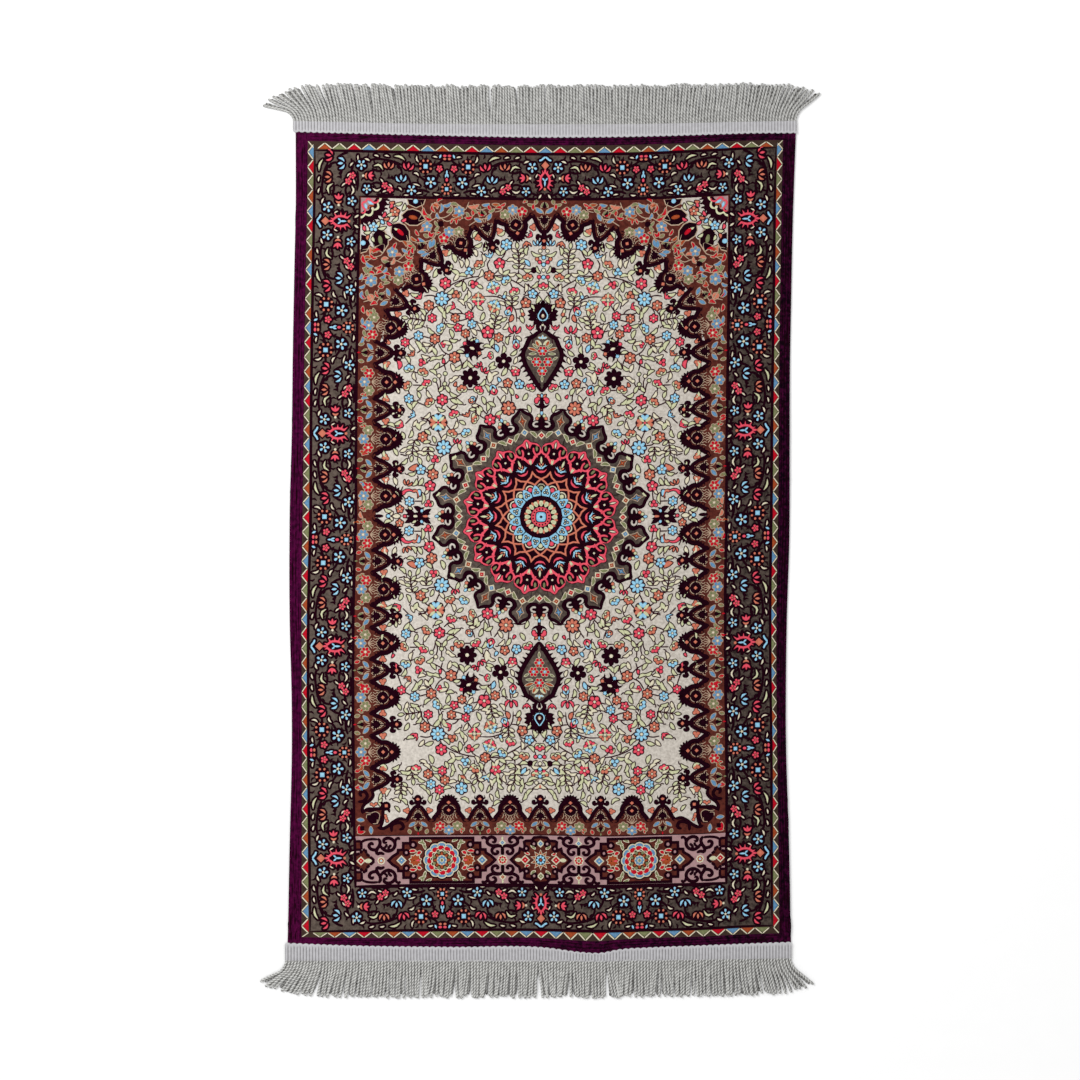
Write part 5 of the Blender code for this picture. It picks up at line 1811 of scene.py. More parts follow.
    def palmettes(self) -> None:
        """Sixteen dark palmettes with a coral crescent, blue lips, a salmon heart and a pale leaf."""
        lay = self.chart.lay
        self.ring(0, 0.42)
        for side in (-1, 1):
            rim = ((side * 0.4, 42.6), (side * 6.4, 44.6), (side * 8.0, 49.6), (side * 6.4, 54.8), (side * 1.4, 62.4))
            lay(Ink.DARK, blade(rim, 2.8, Outline.STROKE, 12), Layer.FILL)
            lay(Ink.CORAL, blade(((-side * 0.9, 45.2), (side * 2.8, 45.5), (side * 5.6, 48.2)), 2.7, Outline.HORN, 8),
                Layer.FILL)
            lay(Ink.SKY, blade(((side * 0.2, 48.2), (side * 2.6, 50.2), (side * 6.2, 51.6)), 2.3, Outline.HORN, 7),
                Layer.FILL, lift=0.04)
            lay(Ink.SKY, blade(((side * 2.0, 49.4), (side * 3.6, 51.2), (side * 4.2, 53.4)), 1.5, Outline.HORN, 6),
                Layer.FILL, lift=0.06)
            lay(Ink.SALMON, blade(((side * 0.8, 51.2), (side * 2.2, 54.4)), 1.5, Outline.LEAF, 5), Layer.FILL,
                lift=0.08)
        lay(Ink.LEAF, blade(((0, 52.8), (0, 60.8)), 2.3, Outline.LEAF, 6), Layer.FILL, lift=0.06)
        lay(Ink.CREAM, dot(0.85, 6), Layer.EYE, placed(0, 50.8))

    def lobes(self) -> None:
        """What the sixteen coral lobes hold: a dark rosette, two dark loops and pale ticks."""
        lay = self.chart.lay
        self.ring(self.odd, 0.34)
        for side in (-1, 1):
            edge = tuple((side * (radius - 1.0) * math.sin(math.radians(angle)),
                          (radius - 1.0) * math.cos(math.radians(angle))) for angle, radius in CORAL_LOBE[:-1:2])
            lay(Ink.CORAL, blade(edge, 1.8, Outline.STROKE, 12), Layer.FILL)
            lay(Ink.DARK, oval(3.5, 4.9, 14, 2), Layer.FILL, placed(side * 8.6, 67.8, -side * 6))
            arch = ((side * 8.6, 71.6), (side * 6.0, 72.2), (side * 4.0, 69.6), (side * 2.2, 66.0))
            lay(Ink.DARK, blade(arch, 2.8, Outline.STROKE, 9), Layer.FILL)
            stalk = ((side * 8.0, 59.2), (side * 6.2, 63.0), (side * 5.3, 66.4), (side * 6.0, 69.6))
            lay(Ink.CORAL, blade(stalk, 1.9, Outline.STROKE, 9), Layer.FILL, lift=0.20)
            lay(Ink.SAGE, oval(1.3, 2.8, 8), Layer.EYE, placed(side * 8.9, 68.0, -side * 10), 0.16)
            lay(Ink.LEAF, blade(((side * 0.3, 52.8), (side * 0.9, 58.8)), 1.5, Outline.LEAF, 5), Layer.FILL, lift=0.12)
        lay(Ink.DARK, lobed(6.3, 1.2, 7, 42), Layer.FILL, placed(0, 64.4), 0.04)
        lay(Ink.CREAM, dot(1.1, 7), Layer.EYE, placed(0, 64.4), 0.24)
        lay(Ink.DARK, blade(((0, 68.0), (0, 77.4)), 3.4, Outline.LEAF, 6), Layer.OUTLINE, lift=0.26)
        lay(Ink.CREAM, blade(((0, 69.4), (0, 76.6)), 2.0, Outline.LEAF, 6), Layer.EYE, lift=0.08)

    def garland(self) -> None:
        """Taupe ring: small lozenges on the axes, leaves between them and a star in each bracket."""
        d = self.pale
        lay = self.chart.lay
        self.ring(0, 0.24)
        d.gem(placed(0, 81.8), Ink.RED, 2.5)
        for side in (-1, 1):
            d.outlined(Ink.SAGE, IDENTITY, (((side * 4.9, 79.4), (side * 6.8, 82.8), (side * 11.2, 85.2)), 3.0,
                                            Outline.LEAF, 7))
            lay(Ink.SAND, blade(((side * 2.4, 81.2), (side * 5.4, 80.0)), 0.7, Outline.STROKE, 4), Layer.FILL)
            lay(Ink.SAND, blade(((side * 11.0, 85.0), (side * 14.6, 84.6)), 0.7, Outline.STROKE, 4), Layer.FILL)
        for first, ink, star in ((self.odd, Ink.BLUE, Ink.RUST), (3 * self.odd, Ink.RUST, Ink.BLUE)):
            self.every_other(first, 0.24)
            d.gem(placed(0, 86.1), ink, 2.5)
            lay(Ink.SAND, loop(((0, 104.2), (1.6, 99.6), (3.8, 97.6), (1.6, 94.6), (0, 90.4), (-1.6, 94.6),
                                (-3.8, 97.6), (-1.6, 99.6)), 0.75), Layer.FILL)
            lay(star, disc(np.array([3.4, 1.2, 4.8, 1.2, 3.4, 1.2, 4.8, 1.2])).at(0, 97.4), Layer.FILL)
            lay(Ink.CREAM, dot(0.5, 6), Layer.EYE, placed(0, 97.4))

    def bracket(self) -> None:
        """Dark bracketed line with curled ends, and the finial and berries outside each even axis."""
        lay = self.chart.lay
        self.ring(0, 0.24)
        half = ((0, 102.6), (1.4, 101.6), (2.0, 99.4), (3.0, 98.0), (4.6, 98.6), (5.8, 97.0), (8.4, 96.2), (11.2, 93.6),
                (11.8, 90.8), (9.0, 87.6), (4.6, 86.8), (0, 87.6))
        lay(Ink.DARK, patch(whole(half), (0, 92), 2, 0.3), Layer.FILL, lift=-0.12)
        for side in (-1, 1):
            line = ((21.8, 108.6), (19.0, 106.0), (15.6, 103.8), (10.7, 101.5), (9.5, 97.8), (11.6, 94.4), (12.0, 91.0),
                    (9.2, 88.4), (4.6, 87.6), (0, 88.8))
            lay(Ink.DARK, blade(turned(line, side), 3.4, Outline.STROKE, 34), Layer.FILL)
            crescent = ((3.4, 95.4), (6.6, 95.0), (8.3, 92.6), (6.6, 90.8), (3.2, 90.9))
            lay(Ink.IVORY, blade(turned(crescent, side), 2.0, Outline.STROKE, 14), Layer.FILL, lift=0.10)
            for x, y, ink in ((4.4, 98.6, Ink.SALMON), (2.7, 101.4, Ink.LEAF)):
                self.chart.berry(placed(side * x, y), ink, 2.2, 1.6, (8, 8), Ink.UMBER, 0.12)
        lay(Ink.DARK, blade(((0, 87.5), (0, 101.0)), 3.8, Outline.PETAL, 7), Layer.FILL)
        lay(Ink.UMBER, oval(1.9, 2.5, 8), Layer.OUTLINE, placed(0, 104.2), 0.04)
        lay(Ink.SKY, oval(1.3, 1.9, 8, 2), Layer.FILL, placed(0, 104.2), 0.04)


@dataclass
class Pendants:
    """Pointed drop above and below the medallion, each with a spiky palmette and a small flower."""

    chart: Chart
    draw: Motifs

    def build(self) -> None:
        """Lay the drop's ground, berries, rim, palmette and flower, and their copy below."""
        top_down = np.array([[1.0, 0, 0], [0, -1.0, 0]])
        self.chart.start("pendant", 0.14, (IDENTITY, top_down))
        lay = self.chart.lay
        side_rim = ((0, 186.0), (4.5, 184.8), (8.6, 181.4), (12.6, 179.4), (14.6, 175.6), (16.6, 170.6), (19.0, 165.6),
                    (19.2, 160.6), (17.0, 153.4), (13.0, 145.8), (8.4, 138.4), (4.2, 131.6), (0, 125.0))
        lay(Ink.TAUPE, patch(whole(side_rim), (0, 160), 3), Layer.GROUND, lift=0.02)
        teeth = ((24.6, 160.4), (23.6, 155.0), (21.4, 149.8), (18.8, 145.2), (16.0, 140.8), (13.0, 136.8),
                 (10.0, 133.2), (7.0, 130.0))
        pale = Motifs(self.chart, 0.45, Ink.CREAM)
        for side in (-1, 1):
            lay(Ink.DARK, blade(turned(side_rim, side), 4.6, Outline.STROKE, 40), Layer.FILL)
            for x, y in teeth:
                tooth = ((side * (x - 5.6), y + 3.6), (side * (x + 1.0), y - 0.6))
                lay(Ink.DARK, blade(tooth, 4.8, Outline.HORN, 5), Layer.FILL)
            for hook in (((11.5, 178.5), (14.8, 180.4), (18.6, 178.8)), ((2.0, 186.0), (5.0, 188.6), (7.8, 187.4)),
                         ((18.0, 168.4), (21.0, 168.0), (23.4, 165.4))):
                lay(Ink.DARK, blade(turned(hook, side), 3.4, Outline.HORN, 7), Layer.FILL)
            for x, y, turn, length, width, ink in (
                    (3.6, 171.0, 28, 6.4, 2.8, Ink.RUST), (5.4, 166.6, 72, 9.4, 2.6, Ink.RUST),
                    (5.0, 169.4, 50, 6.4, 1.9, Ink.SAGE), (6.2, 163.6, 92, 7.0, 1.9, Ink.SAGE),
                    (10.6, 157.6, 60, 5.0, 1.8, Ink.SAGE), (1.0, 172.6, 44, 6.2, 2.0, Ink.LEAF),
                    (1.2, 150.6, 150, 4.6, 1.6, Ink.SAGE)):
                pale.leaf(placed(side * x, y, -side * turn), ink, length, width)
            pale.leaf(placed(side * 1.0, 179.0, -side * 70), Ink.SKY, 3.4, 1.5)
        for x, y in ((0, 166.4), (5.6, 155.4), (-5.6, 155.4), (0, 146.4)):
            for turn in range(30, 390, 60):
                at = after(placed(x, y), polar(turn, 3.3))
                lay(Ink.CREAM, dot(2.0, 8), Layer.OUTLINE, at, 0.02)
                lay(Ink.RED, dot(1.62, 8, 2), Layer.FILL, at, 0.04)
            lay(Ink.SKY, dot(1.3, 7), Layer.EYE, placed(x, y), 0.02)
        pale.leaf(placed(0, 178.4), Ink.SKY, 4.0, 1.8)
        pale.leaf(placed(0, 141.4, 180), Ink.SAGE, 6.0, 2.0)
        self.palmette(202.8)
        self.flower(114.0)

    def palmette(self, level: float) -> None:
        """Dark spiky palmette with a blue drop in it, above a small dark trefoil."""
        lay = self.chart.lay
        lay(Ink.DARK, oval(6.8, 7.6, 18, 2), Layer.FILL, placed(0, level))
        for side in (-1, 1):
            for x, y, width in ((0, 13.4, 6.4), (4.4, 11.8, 4.4), (8.4, 9.8, 6.0), (11.6, 6.6, 4.6), (14.0, 3.4, 6.2),
                                (14.2, -0.8, 4.4), (13.2, -4.8, 6.0), (8.6, -9.4, 5.6)):
                ray = ((side * x * 0.4, level + y * 0.4), (side * x * 1.1, level + y * 1.1))
                lay(Ink.DARK, blade(ray, width, Outline.LEAF, 6), Layer.FILL)
            line = ((0, level + 7.0), (side * 2.8, level + 3.0), (side * 4.7, level - 1.2), (side * 3.4, level - 4.6),
                    (0, level - 6.0))
            lay(Ink.SKY, blade(line, 1.5, Outline.STROKE, 12), Layer.EYE)
            lobe = ((0, level - 8.0), (side * 3.8, level - 9.4), (side * 5.2, level - 13.0), (side * 3.0, level - 15.6))
            lay(Ink.DARK, blade(lobe, 4.2, Outline.STROKE, 9), Layer.FILL)
        lay(Ink.SAND, oval(2.9, 3.5, 10).at(0, level - 1.0), Layer.EYE, lift=0.02)
        lay(Ink.CREAM, oval(1.5, 2.2, 8).at(0, level - 0.8), Layer.EYE, lift=0.10)
        lay(Ink.DARK, blade(((0, level - 8.5), (0, level - 17.0)), 3.4, Outline.OVAL, 6), Layer.FILL)
        lay(Ink.CREAM, dot(1.3), Layer.EYE, placed(0, level - 10.4), 0.1)

    def flower(self, level: float) -> None:
        """Small dark flower between the drop and the medallion."""
        lay, d = self.chart.lay, self.draw
        d.leaf(placed(0, level + 9.6, 180), Ink.SKY, 4.2, 2.0)
        lay(Ink.DARK, blade(((0, level + 6.4), (0, level - 8.8)), 4.4, Outline.OVAL, 7), Layer.FILL)
        lay(Ink.DARK, dot(3.2, 12), Layer.FILL, placed(0, level - 2.4))
        for side in (-1, 1):
            crown = ((0, level - 3.4), (side * 4.2, level - 3.4), (side * 8.0, level - 0.4))
            lay(Ink.DARK, blade(crown, 4.0, Outline.HORN, 7), Layer.FILL)
            petal = ((side * 1.8, level + 4.6), (side * 4.6, level + 3.8), (side * 5.6, level - 0.2))
            d.outlined(Ink.CORAL, IDENTITY, (petal, 4.2, Outline.OVAL, 8), lift=0.06)
            d.leaf(placed(side * 1.2, level + 5.8, -side * 48), Ink.SALMON, 4.4, 2.2)
        d.leaf(placed(0, level - 4.6, 180), Ink.SALMON, 4.4, 2.0)
        lay(Ink.DARK, dot(2.0, 8), Layer.OUTLINE, placed(0, level - 10.6))
        lay(Ink.SKY, dot(1.4, 7), Layer.FILL, placed(0, level - 10.6))


# ---------------------------------------------------------------------------------------------------------
# Field flowers
# ---------------------------------------------------------------------------------------------------------

CO, SA, SK, LE, CR = Ink.CORAL, Ink.SALMON, Ink.SKY, Ink.LEAF, Ink.CREAM

FIELD_FLOWERS = (  # x, y, radius, petals, yarn
    (-37.4, 272.7, 5.6, 6, SK), (-44, 253.7, 5.4, 5, CO), (-54.2, 241.5, 4.9, 6, SA), (-97.8, 233.3, 5.6, 6, CO),
    (-10.6, 223.6, 4.6, 5, SK), (-101, 217.7, 7.0, 8, SK), (-113.8, 210.8, 5.0, 6, SA), (-17.2, 214.4, 5.0, 5, SA),
    (-73.3, 201.5, 4.2, 6, CO), (-87.3, 198.6, 4.4, 6, SA), (-110.4, 198.2, 4.4, 6, CO), (-54.8, 184.6, 6.2, 5, CO),
    (-70.7, 192.7, 4.3, 6, SK), (-84.6, 189.0, 4.2, 5, CO), (-76.9, 183.2, 4.3, 6, SA), (-123.7, 180.4, 4.6, 6, SK),
    (-136.9, 173.7, 4.4, 6, CO), (-107.3, 177.4, 5.0, 6, SA), (-43.8, 179.5, 4.6, 6, SA), (-87.5, 159.2, 5.5, 6, SA),
    (-26.5, 145.5, 4.6, 5, CO), (-34.2, 134.0, 4.6, 5, SA), (-22.5, 132.8, 4.7, 5, SK), (-132.5, 117.5, 4.6, 6, SK),
    (-99.2, 116.6, 5.4, 6, CO), (-33.0, 108.7, 7.0, 8, SA), (-51.4, 97.1, 5.6, 6, CO), (-118.4, 79.3, 5.0, 6, SA),
    (-97.4, 69.0, 7.4, 8, SK), (-120.4, 46.6, 5.0, 5, SK), (-108.2, 42.0, 5.3, 6, SA), (-111, 30.2, 5.3, 5, CO),
    (-131.6, 14.7, 4.6, 6, SK),
)
FIELD_POSIES = (  # x, y, turn, size, yarn
    (-64, 251.6, 30, 5.6, SA), (-15.6, 239.0, 10, 5.4, SA), (-36.7, 236.2, 40, 5.4, SK), (-28.5, 225.0, 20, 5.4, CO),
    (0, 229.9, 0, 5.4, CO), (-100.8, 187.8, 60, 5.6, SK), (-132.5, 146.7, 10, 5.4, SK), (-119, 143.2, -20, 5.4, SA),
    (-114.7, 132, 30, 5.2, CO), (-133.7, 129.9, 60, 5.2, SA), (-11.6, 128.8, -20, 5.2, CO), (-79.6, 126.7, 10, 5.4, SA),
    (-63.5, 126.0, -30, 5.4, CO), (-111.5, 113.3, 40, 5.4, SA), (-87.1, 101.5, 20, 5.4, CO),
    (-89.4, 82.4, -20, 5.4, SA), (-74.7, 83.1, 30, 5.4, SK), (-66.0, 97.0, 60, 4.6, SA), (-51.0, 161.6, 100, 3.8, CO),
)
FIELD_TREFOILS = (  # x, y, turn, size, yarn
    (-74.2, 245.3, 0, 3.9, SK), (-69.3, 232.7, 160, 3.9, CO), (-86.8, 221.8, 0, 3.9, SA), (-119.9, 153.7, 30, 3.6, CO),
    (-105.8, 57, 0, 3.8, CO), (-98.7, 172.2, 60, 2.8, CO), (-107.0, 96.0, 0, 2.6, SA),
)
FIELD_LILIES = (  # x, y, turn, size, yarn
    (-53.2, 259.5, 20, 5.6, SK), (-17.7, 276.0, 190, 5.6, SA), (-12.1, 281.5, 60, 4.6, CO), (-122, 217.5, 40, 5.4, CO),
    (-88, 208.6, 60, 5.4, CO), (-12.6, 187.4, 0, 5.2, CO), (-126.5, 100, 60, 5.2, SK), (-73.2, 100.0, 30, 5.2, SA),
    (-138.2, 89.5, 60, 6.0, CO), (-128.4, 160.5, 40, 5.0, SA), (-42.0, 101.5, 140, 4.0, CO),
)
FIELD_TULIPS = (  # x, y, turn, size, yarn
    (-6.5, 272.2, 0, 5.6, SK), (-58.5, 144.5, -30, 5.6, CO), (-62.5, 150.0, 30, 4.6, CO), (-134.2, 31.0, -20, 5.6, SA),
    (-84.3, 73.0, -10, 5.0, CO), (-28, 184.0, 0, 8.0, CO), (-138.5, 45.5, 60, 4.2, CO),
)
FIELD_BUDS = (  # x, y, turn, size, yarn, tip
    (-39.5, 219.0, -20, 4.6, SK, LE), (-19.4, 201.5, 20, 4.8, SA, LE),
    (-98.4, 153.2, 0, 4.4, CO, None), (-87.1, 130.4, -20, 4.4, SA, None),
    (-41.6, 135.4, 30, 4.8, SK, None),
    (-24.0, 119.0, 30, 3.8, CO, None), (-144.5, 138.0, 30, 3.8, CO, None),
)
FIELD_BICOLOURS = (  # x, y, turn, size, yarns
    (-36.2, 202.0, -25, 9.0, SK, CO), (-25.6, 168.4, 8, 9.0, CO, SK),
    (-46.6, 122.4, 20, 9.6, CO, SK), (-72.0, 114.0, -40, 7.0, SA, SK),
)
FIELD_BOUQUETS = (  # x, y, turn, yarns
    (-49.8, 229.6, 20, SK, CO), (-64.7, 217.5, 0, SA, CO), (-48.7, 210.8, -25, SK, SA),
)
FIELD_CROSSES = (  # x, y, radius, yarns
    (-103.1, 93.9, 8.8, SA, SK),
)
FIELD_DARKS = (  # x, y, radius, petals
    (-38.5, 155.8, 8.2, 5), (-71.6, 138.8, 9.4, 8),
)
FIELD_SPRIGS = (  # x, y, x of the tip, y of the tip, pairs, bend
    (-24.8, 247.5, -26.5, 269.0, 4, 1.0), (-48.3, 187.5, -45.8, 201.5, 3, -0.6), (-116.8, 195.1, -134.5, 197.8, 3, 0.5),
    (-126.2, 76.8, -129.0, 60.4, 3, 0.5), (-31.3, 211.0, -31.0, 221.0, 2, 0.3), (-112.8, 70.0, -112.8, 61.0, 2, 0.3),
    (-62.0, 112.0, -66.5, 104.0, 2, 0.3), (-139.0, 100.5, -146.0, 106.0, 2, 0.3),
)
FIELD_LEAVES = (  # x, y, turn, length, width, bend, yarn
    (-59.8, 266.0, -10, 8.0, 2.8, 0.8, LE), (-66.8, 260.6, 30, 8.0, 2.8, 0.8, CR),
    (-40.9, 243.0, -60, 7.0, 2.6, 0.6, LE), (-40.9, 243.0, 20, 7.0, 2.6, -0.6, CR),
    (-87.9, 254.2, 20, 8.0, 3.0, 0.8, LE), (-77.0, 249.3, 0, 8.0, 2.8, 0.8, CR), (-83.7, 241.6, 60, 8.0, 2.8, 0.8, LE),
    (-109.7, 238.9, -20, 8.0, 3.0, 0.8, LE), (-105.8, 225.5, 70, 7.6, 2.6, 0.8, LE),
    (-89.3, 236.1, -30, 7.6, 2.6, 0.8, CR), (-13.9, 251.6, 40, 7.0, 2.6, 0.4, SK),
    (-44.0, 262.0, 40, 6.6, 2.2, 0.6, LE), (-43.0, 262.0, -40, 6.6, 2.2, -0.6, LE),
    (-79.5, 225.5, 0, 8.0, 2.8, 0.8, LE), (-78.9, 214.7, -20, 7.4, 2.4, 0.8, LE), (-71.6, 207.3, 30, 7.0, 2.4, 0.8, CR),
    (-62.0, 196.3, -20, 7.6, 2.6, 0.8, LE), (-66.2, 181.6, 40, 7.0, 2.6, 0.8, CR),
    (-89.6, 178.7, 20, 7.6, 2.6, 0.8, LE), (-91.0, 172.1, 80, 7.6, 2.6, 0.8, CR),
    (-52.1, 170.6, -20, 7.4, 2.6, 0.6, LE), (-105.9, 161.3, 30, 7.6, 2.6, 0.8, LE),
    (-99.4, 203.0, 40, 8.0, 2.8, 1.2, LE), (-95.6, 203.0, -30, 8.0, 2.8, -1.2, LE),
    (-32.9, 195.6, -20, 6.4, 2.8, 0.6, SA), (-19.3, 194.5, 30, 6.4, 2.6, 0.6, LE),
    (-121.5, 166.0, 30, 9.0, 2.8, 2.0, LE), (-44.4, 165.0, 20, 7.0, 2.8, 0.4, SK),
    (-116.4, 163.4, 40, 7.0, 2.4, 0.8, LE), (-113.6, 163.4, -35, 7.0, 2.4, -0.8, CR),
    (-79.2, 148.6, -30, 7.6, 2.6, 0.8, LE), (-88.0, 145.0, 20, 7.0, 2.6, 0.6, CR),
    (-108, 147.2, -40, 7.0, 2.4, 0.8, LE), (-143.0, 146.8, 10, 8.0, 3.0, 2.2, CO),
    (-40.2, 141.5, -30, 8.0, 2.8, 0.8, LE), (-52.6, 134.0, 0, 10.0, 4.0, 1.0, CR),
    (-28.7, 122.0, 30, 7.0, 2.6, 0.6, LE), (-18.7, 116.9, -30, 7.0, 2.6, 0.6, LE),
    (-56.8, 112.5, 20, 7.0, 2.6, 0.6, LE), (-40.8, 114.7, -30, 7.0, 2.4, 0.6, CR),
    (-46.5, 110.3, 60, 7.0, 2.4, 0.6, LE), (-45.8, 102.2, -60, 6.4, 2.4, 0.6, LE),
    (-11.3, 104.4, 20, 7.0, 2.4, 0.6, LE), (-129.3, 106.4, 40, 7.6, 2.6, 0.8, LE),
    (-61.8, 101.4, 20, 7.6, 2.6, 0.6, LE), (-146.6, 91.3, -60, 7.0, 2.4, 0.6, LE),
    (-121.4, 86.4, 30, 7.0, 3.2, 0.6, LE), (-110.8, 81.5, 50, 6.4, 2.2, 0.6, LE),
    (-110.6, 74.5, 100, 6.4, 2.2, 0.6, LE), (-99.7, 76.5, -40, 6.4, 2.2, 0.6, CR),
    (-106.0, 73.4, 20, 6.0, 2.2, 0.4, LE), (-143.7, 60.5, 30, 7.0, 2.4, 0.6, LE),
    (-141.0, 64.5, -60, 7.0, 2.4, 0.6, CR), (-98.7, 44.2, -20, 8.0, 2.8, 0.8, LE),
    (-120.4, 51.6, 20, 6.6, 2.4, 0.6, LE), (-113.6, 47.0, -50, 6.6, 2.4, 0.6, LE),
    (-144.7, 31.0, 20, 7.0, 2.6, 0.6, CR), (-122.3, 31.0, -30, 7.0, 2.6, 0.6, LE),
    (-132.4, 47.0, -60, 8.6, 3.8, 1.6, SA), (-53.0, 150.5, -50, 6.0, 2.2, 0.6, LE),
    (-31.5, 162.0, -50, 6.6, 2.4, 0.8, LE), (-45.5, 150.0, 110, 6.4, 2.4, 0.6, LE),
    (-30.5, 150.5, -110, 6.0, 2.2, 0.6, CR), (-78.5, 164.0, 80, 6.0, 2.2, 0.4, LE),
    (-92.5, 124.0, 30, 6.4, 2.4, 0.6, LE), (-124.5, 126.0, -50, 7.0, 2.4, 0.8, LE),
    (-84.0, 113.0, 60, 7.0, 2.6, 0.6, LE), (-142.5, 122.5, 30, 6.6, 2.4, 0.6, CR),
    (-121.5, 118.0, 20, 6.0, 2.2, 0.4, LE), (-90.5, 108.0, -60, 6.0, 2.2, 0.4, CR),
    (-76.0, 92.0, 60, 6.0, 2.2, 0.4, LE), (-80.5, 66.0, 20, 6.6, 2.4, 0.6, LE), (-90.0, 56.5, -40, 7.4, 2.6, 0.8, LE),
    (-128.0, 90.0, -30, 6.0, 2.2, 0.4, CR), (-137.0, 77.0, 20, 6.4, 2.4, 0.6, LE),
    (-148.0, 77.0, -40, 6.0, 2.2, 0.4, LE), (-105.0, 20.0, -30, 6.6, 2.4, 0.6, LE),
    (-142.0, 20.0, 40, 6.4, 2.4, 0.6, LE), (-147.0, 48.0, -20, 6.0, 2.2, 0.4, LE),
    (-103.0, 125.0, -40, 6.0, 2.2, 0.4, LE), (-94.0, 166.0, -30, 6.0, 2.2, 0.4, LE),
    (-131.0, 186.0, 20, 6.4, 2.4, 0.6, CR), (-141.0, 187.5, -30, 6.0, 2.2, 0.4, LE),
    (-130.0, 207.0, 30, 7.0, 2.6, 0.6, LE), (-94.0, 245.5, -20, 6.4, 2.4, 0.4, LE),
    (-21.0, 239.5, 60, 6.0, 2.2, 0.4, LE), (-6.5, 214.0, -20, 6.6, 2.4, 0.6, LE),
    (-26.5, 235.5, -60, 6.0, 2.2, 0.4, CR), (-42.0, 196.0, -60, 6.0, 2.2, 0.4, LE),
    (-38.0, 212.0, 60, 6.0, 2.2, 0.4, CR), (-60.0, 207.0, 60, 6.0, 2.2, 0.4, LE),
    (-28.0, 153.5, -20, 6.0, 2.2, 0.4, CR), (-72.5, 175.5, -60, 6.0, 2.2, 0.4, LE),
    (-9.0, 205.5, 20, 7.0, 2.6, 0.8, LE), (-21.5, 176.5, 50, 5.6, 2.2, 0.4, CR), (-60.5, 228.5, 60, 6.0, 2.2, 0.4, LE),
    (-115.0, 224.0, 40, 6.6, 2.4, 0.6, CR), (-96.0, 261.0, -30, 6.0, 2.2, 0.4, LE),
    (-77.0, 262.0, 0, 6.0, 2.2, 0.4, CR),
)
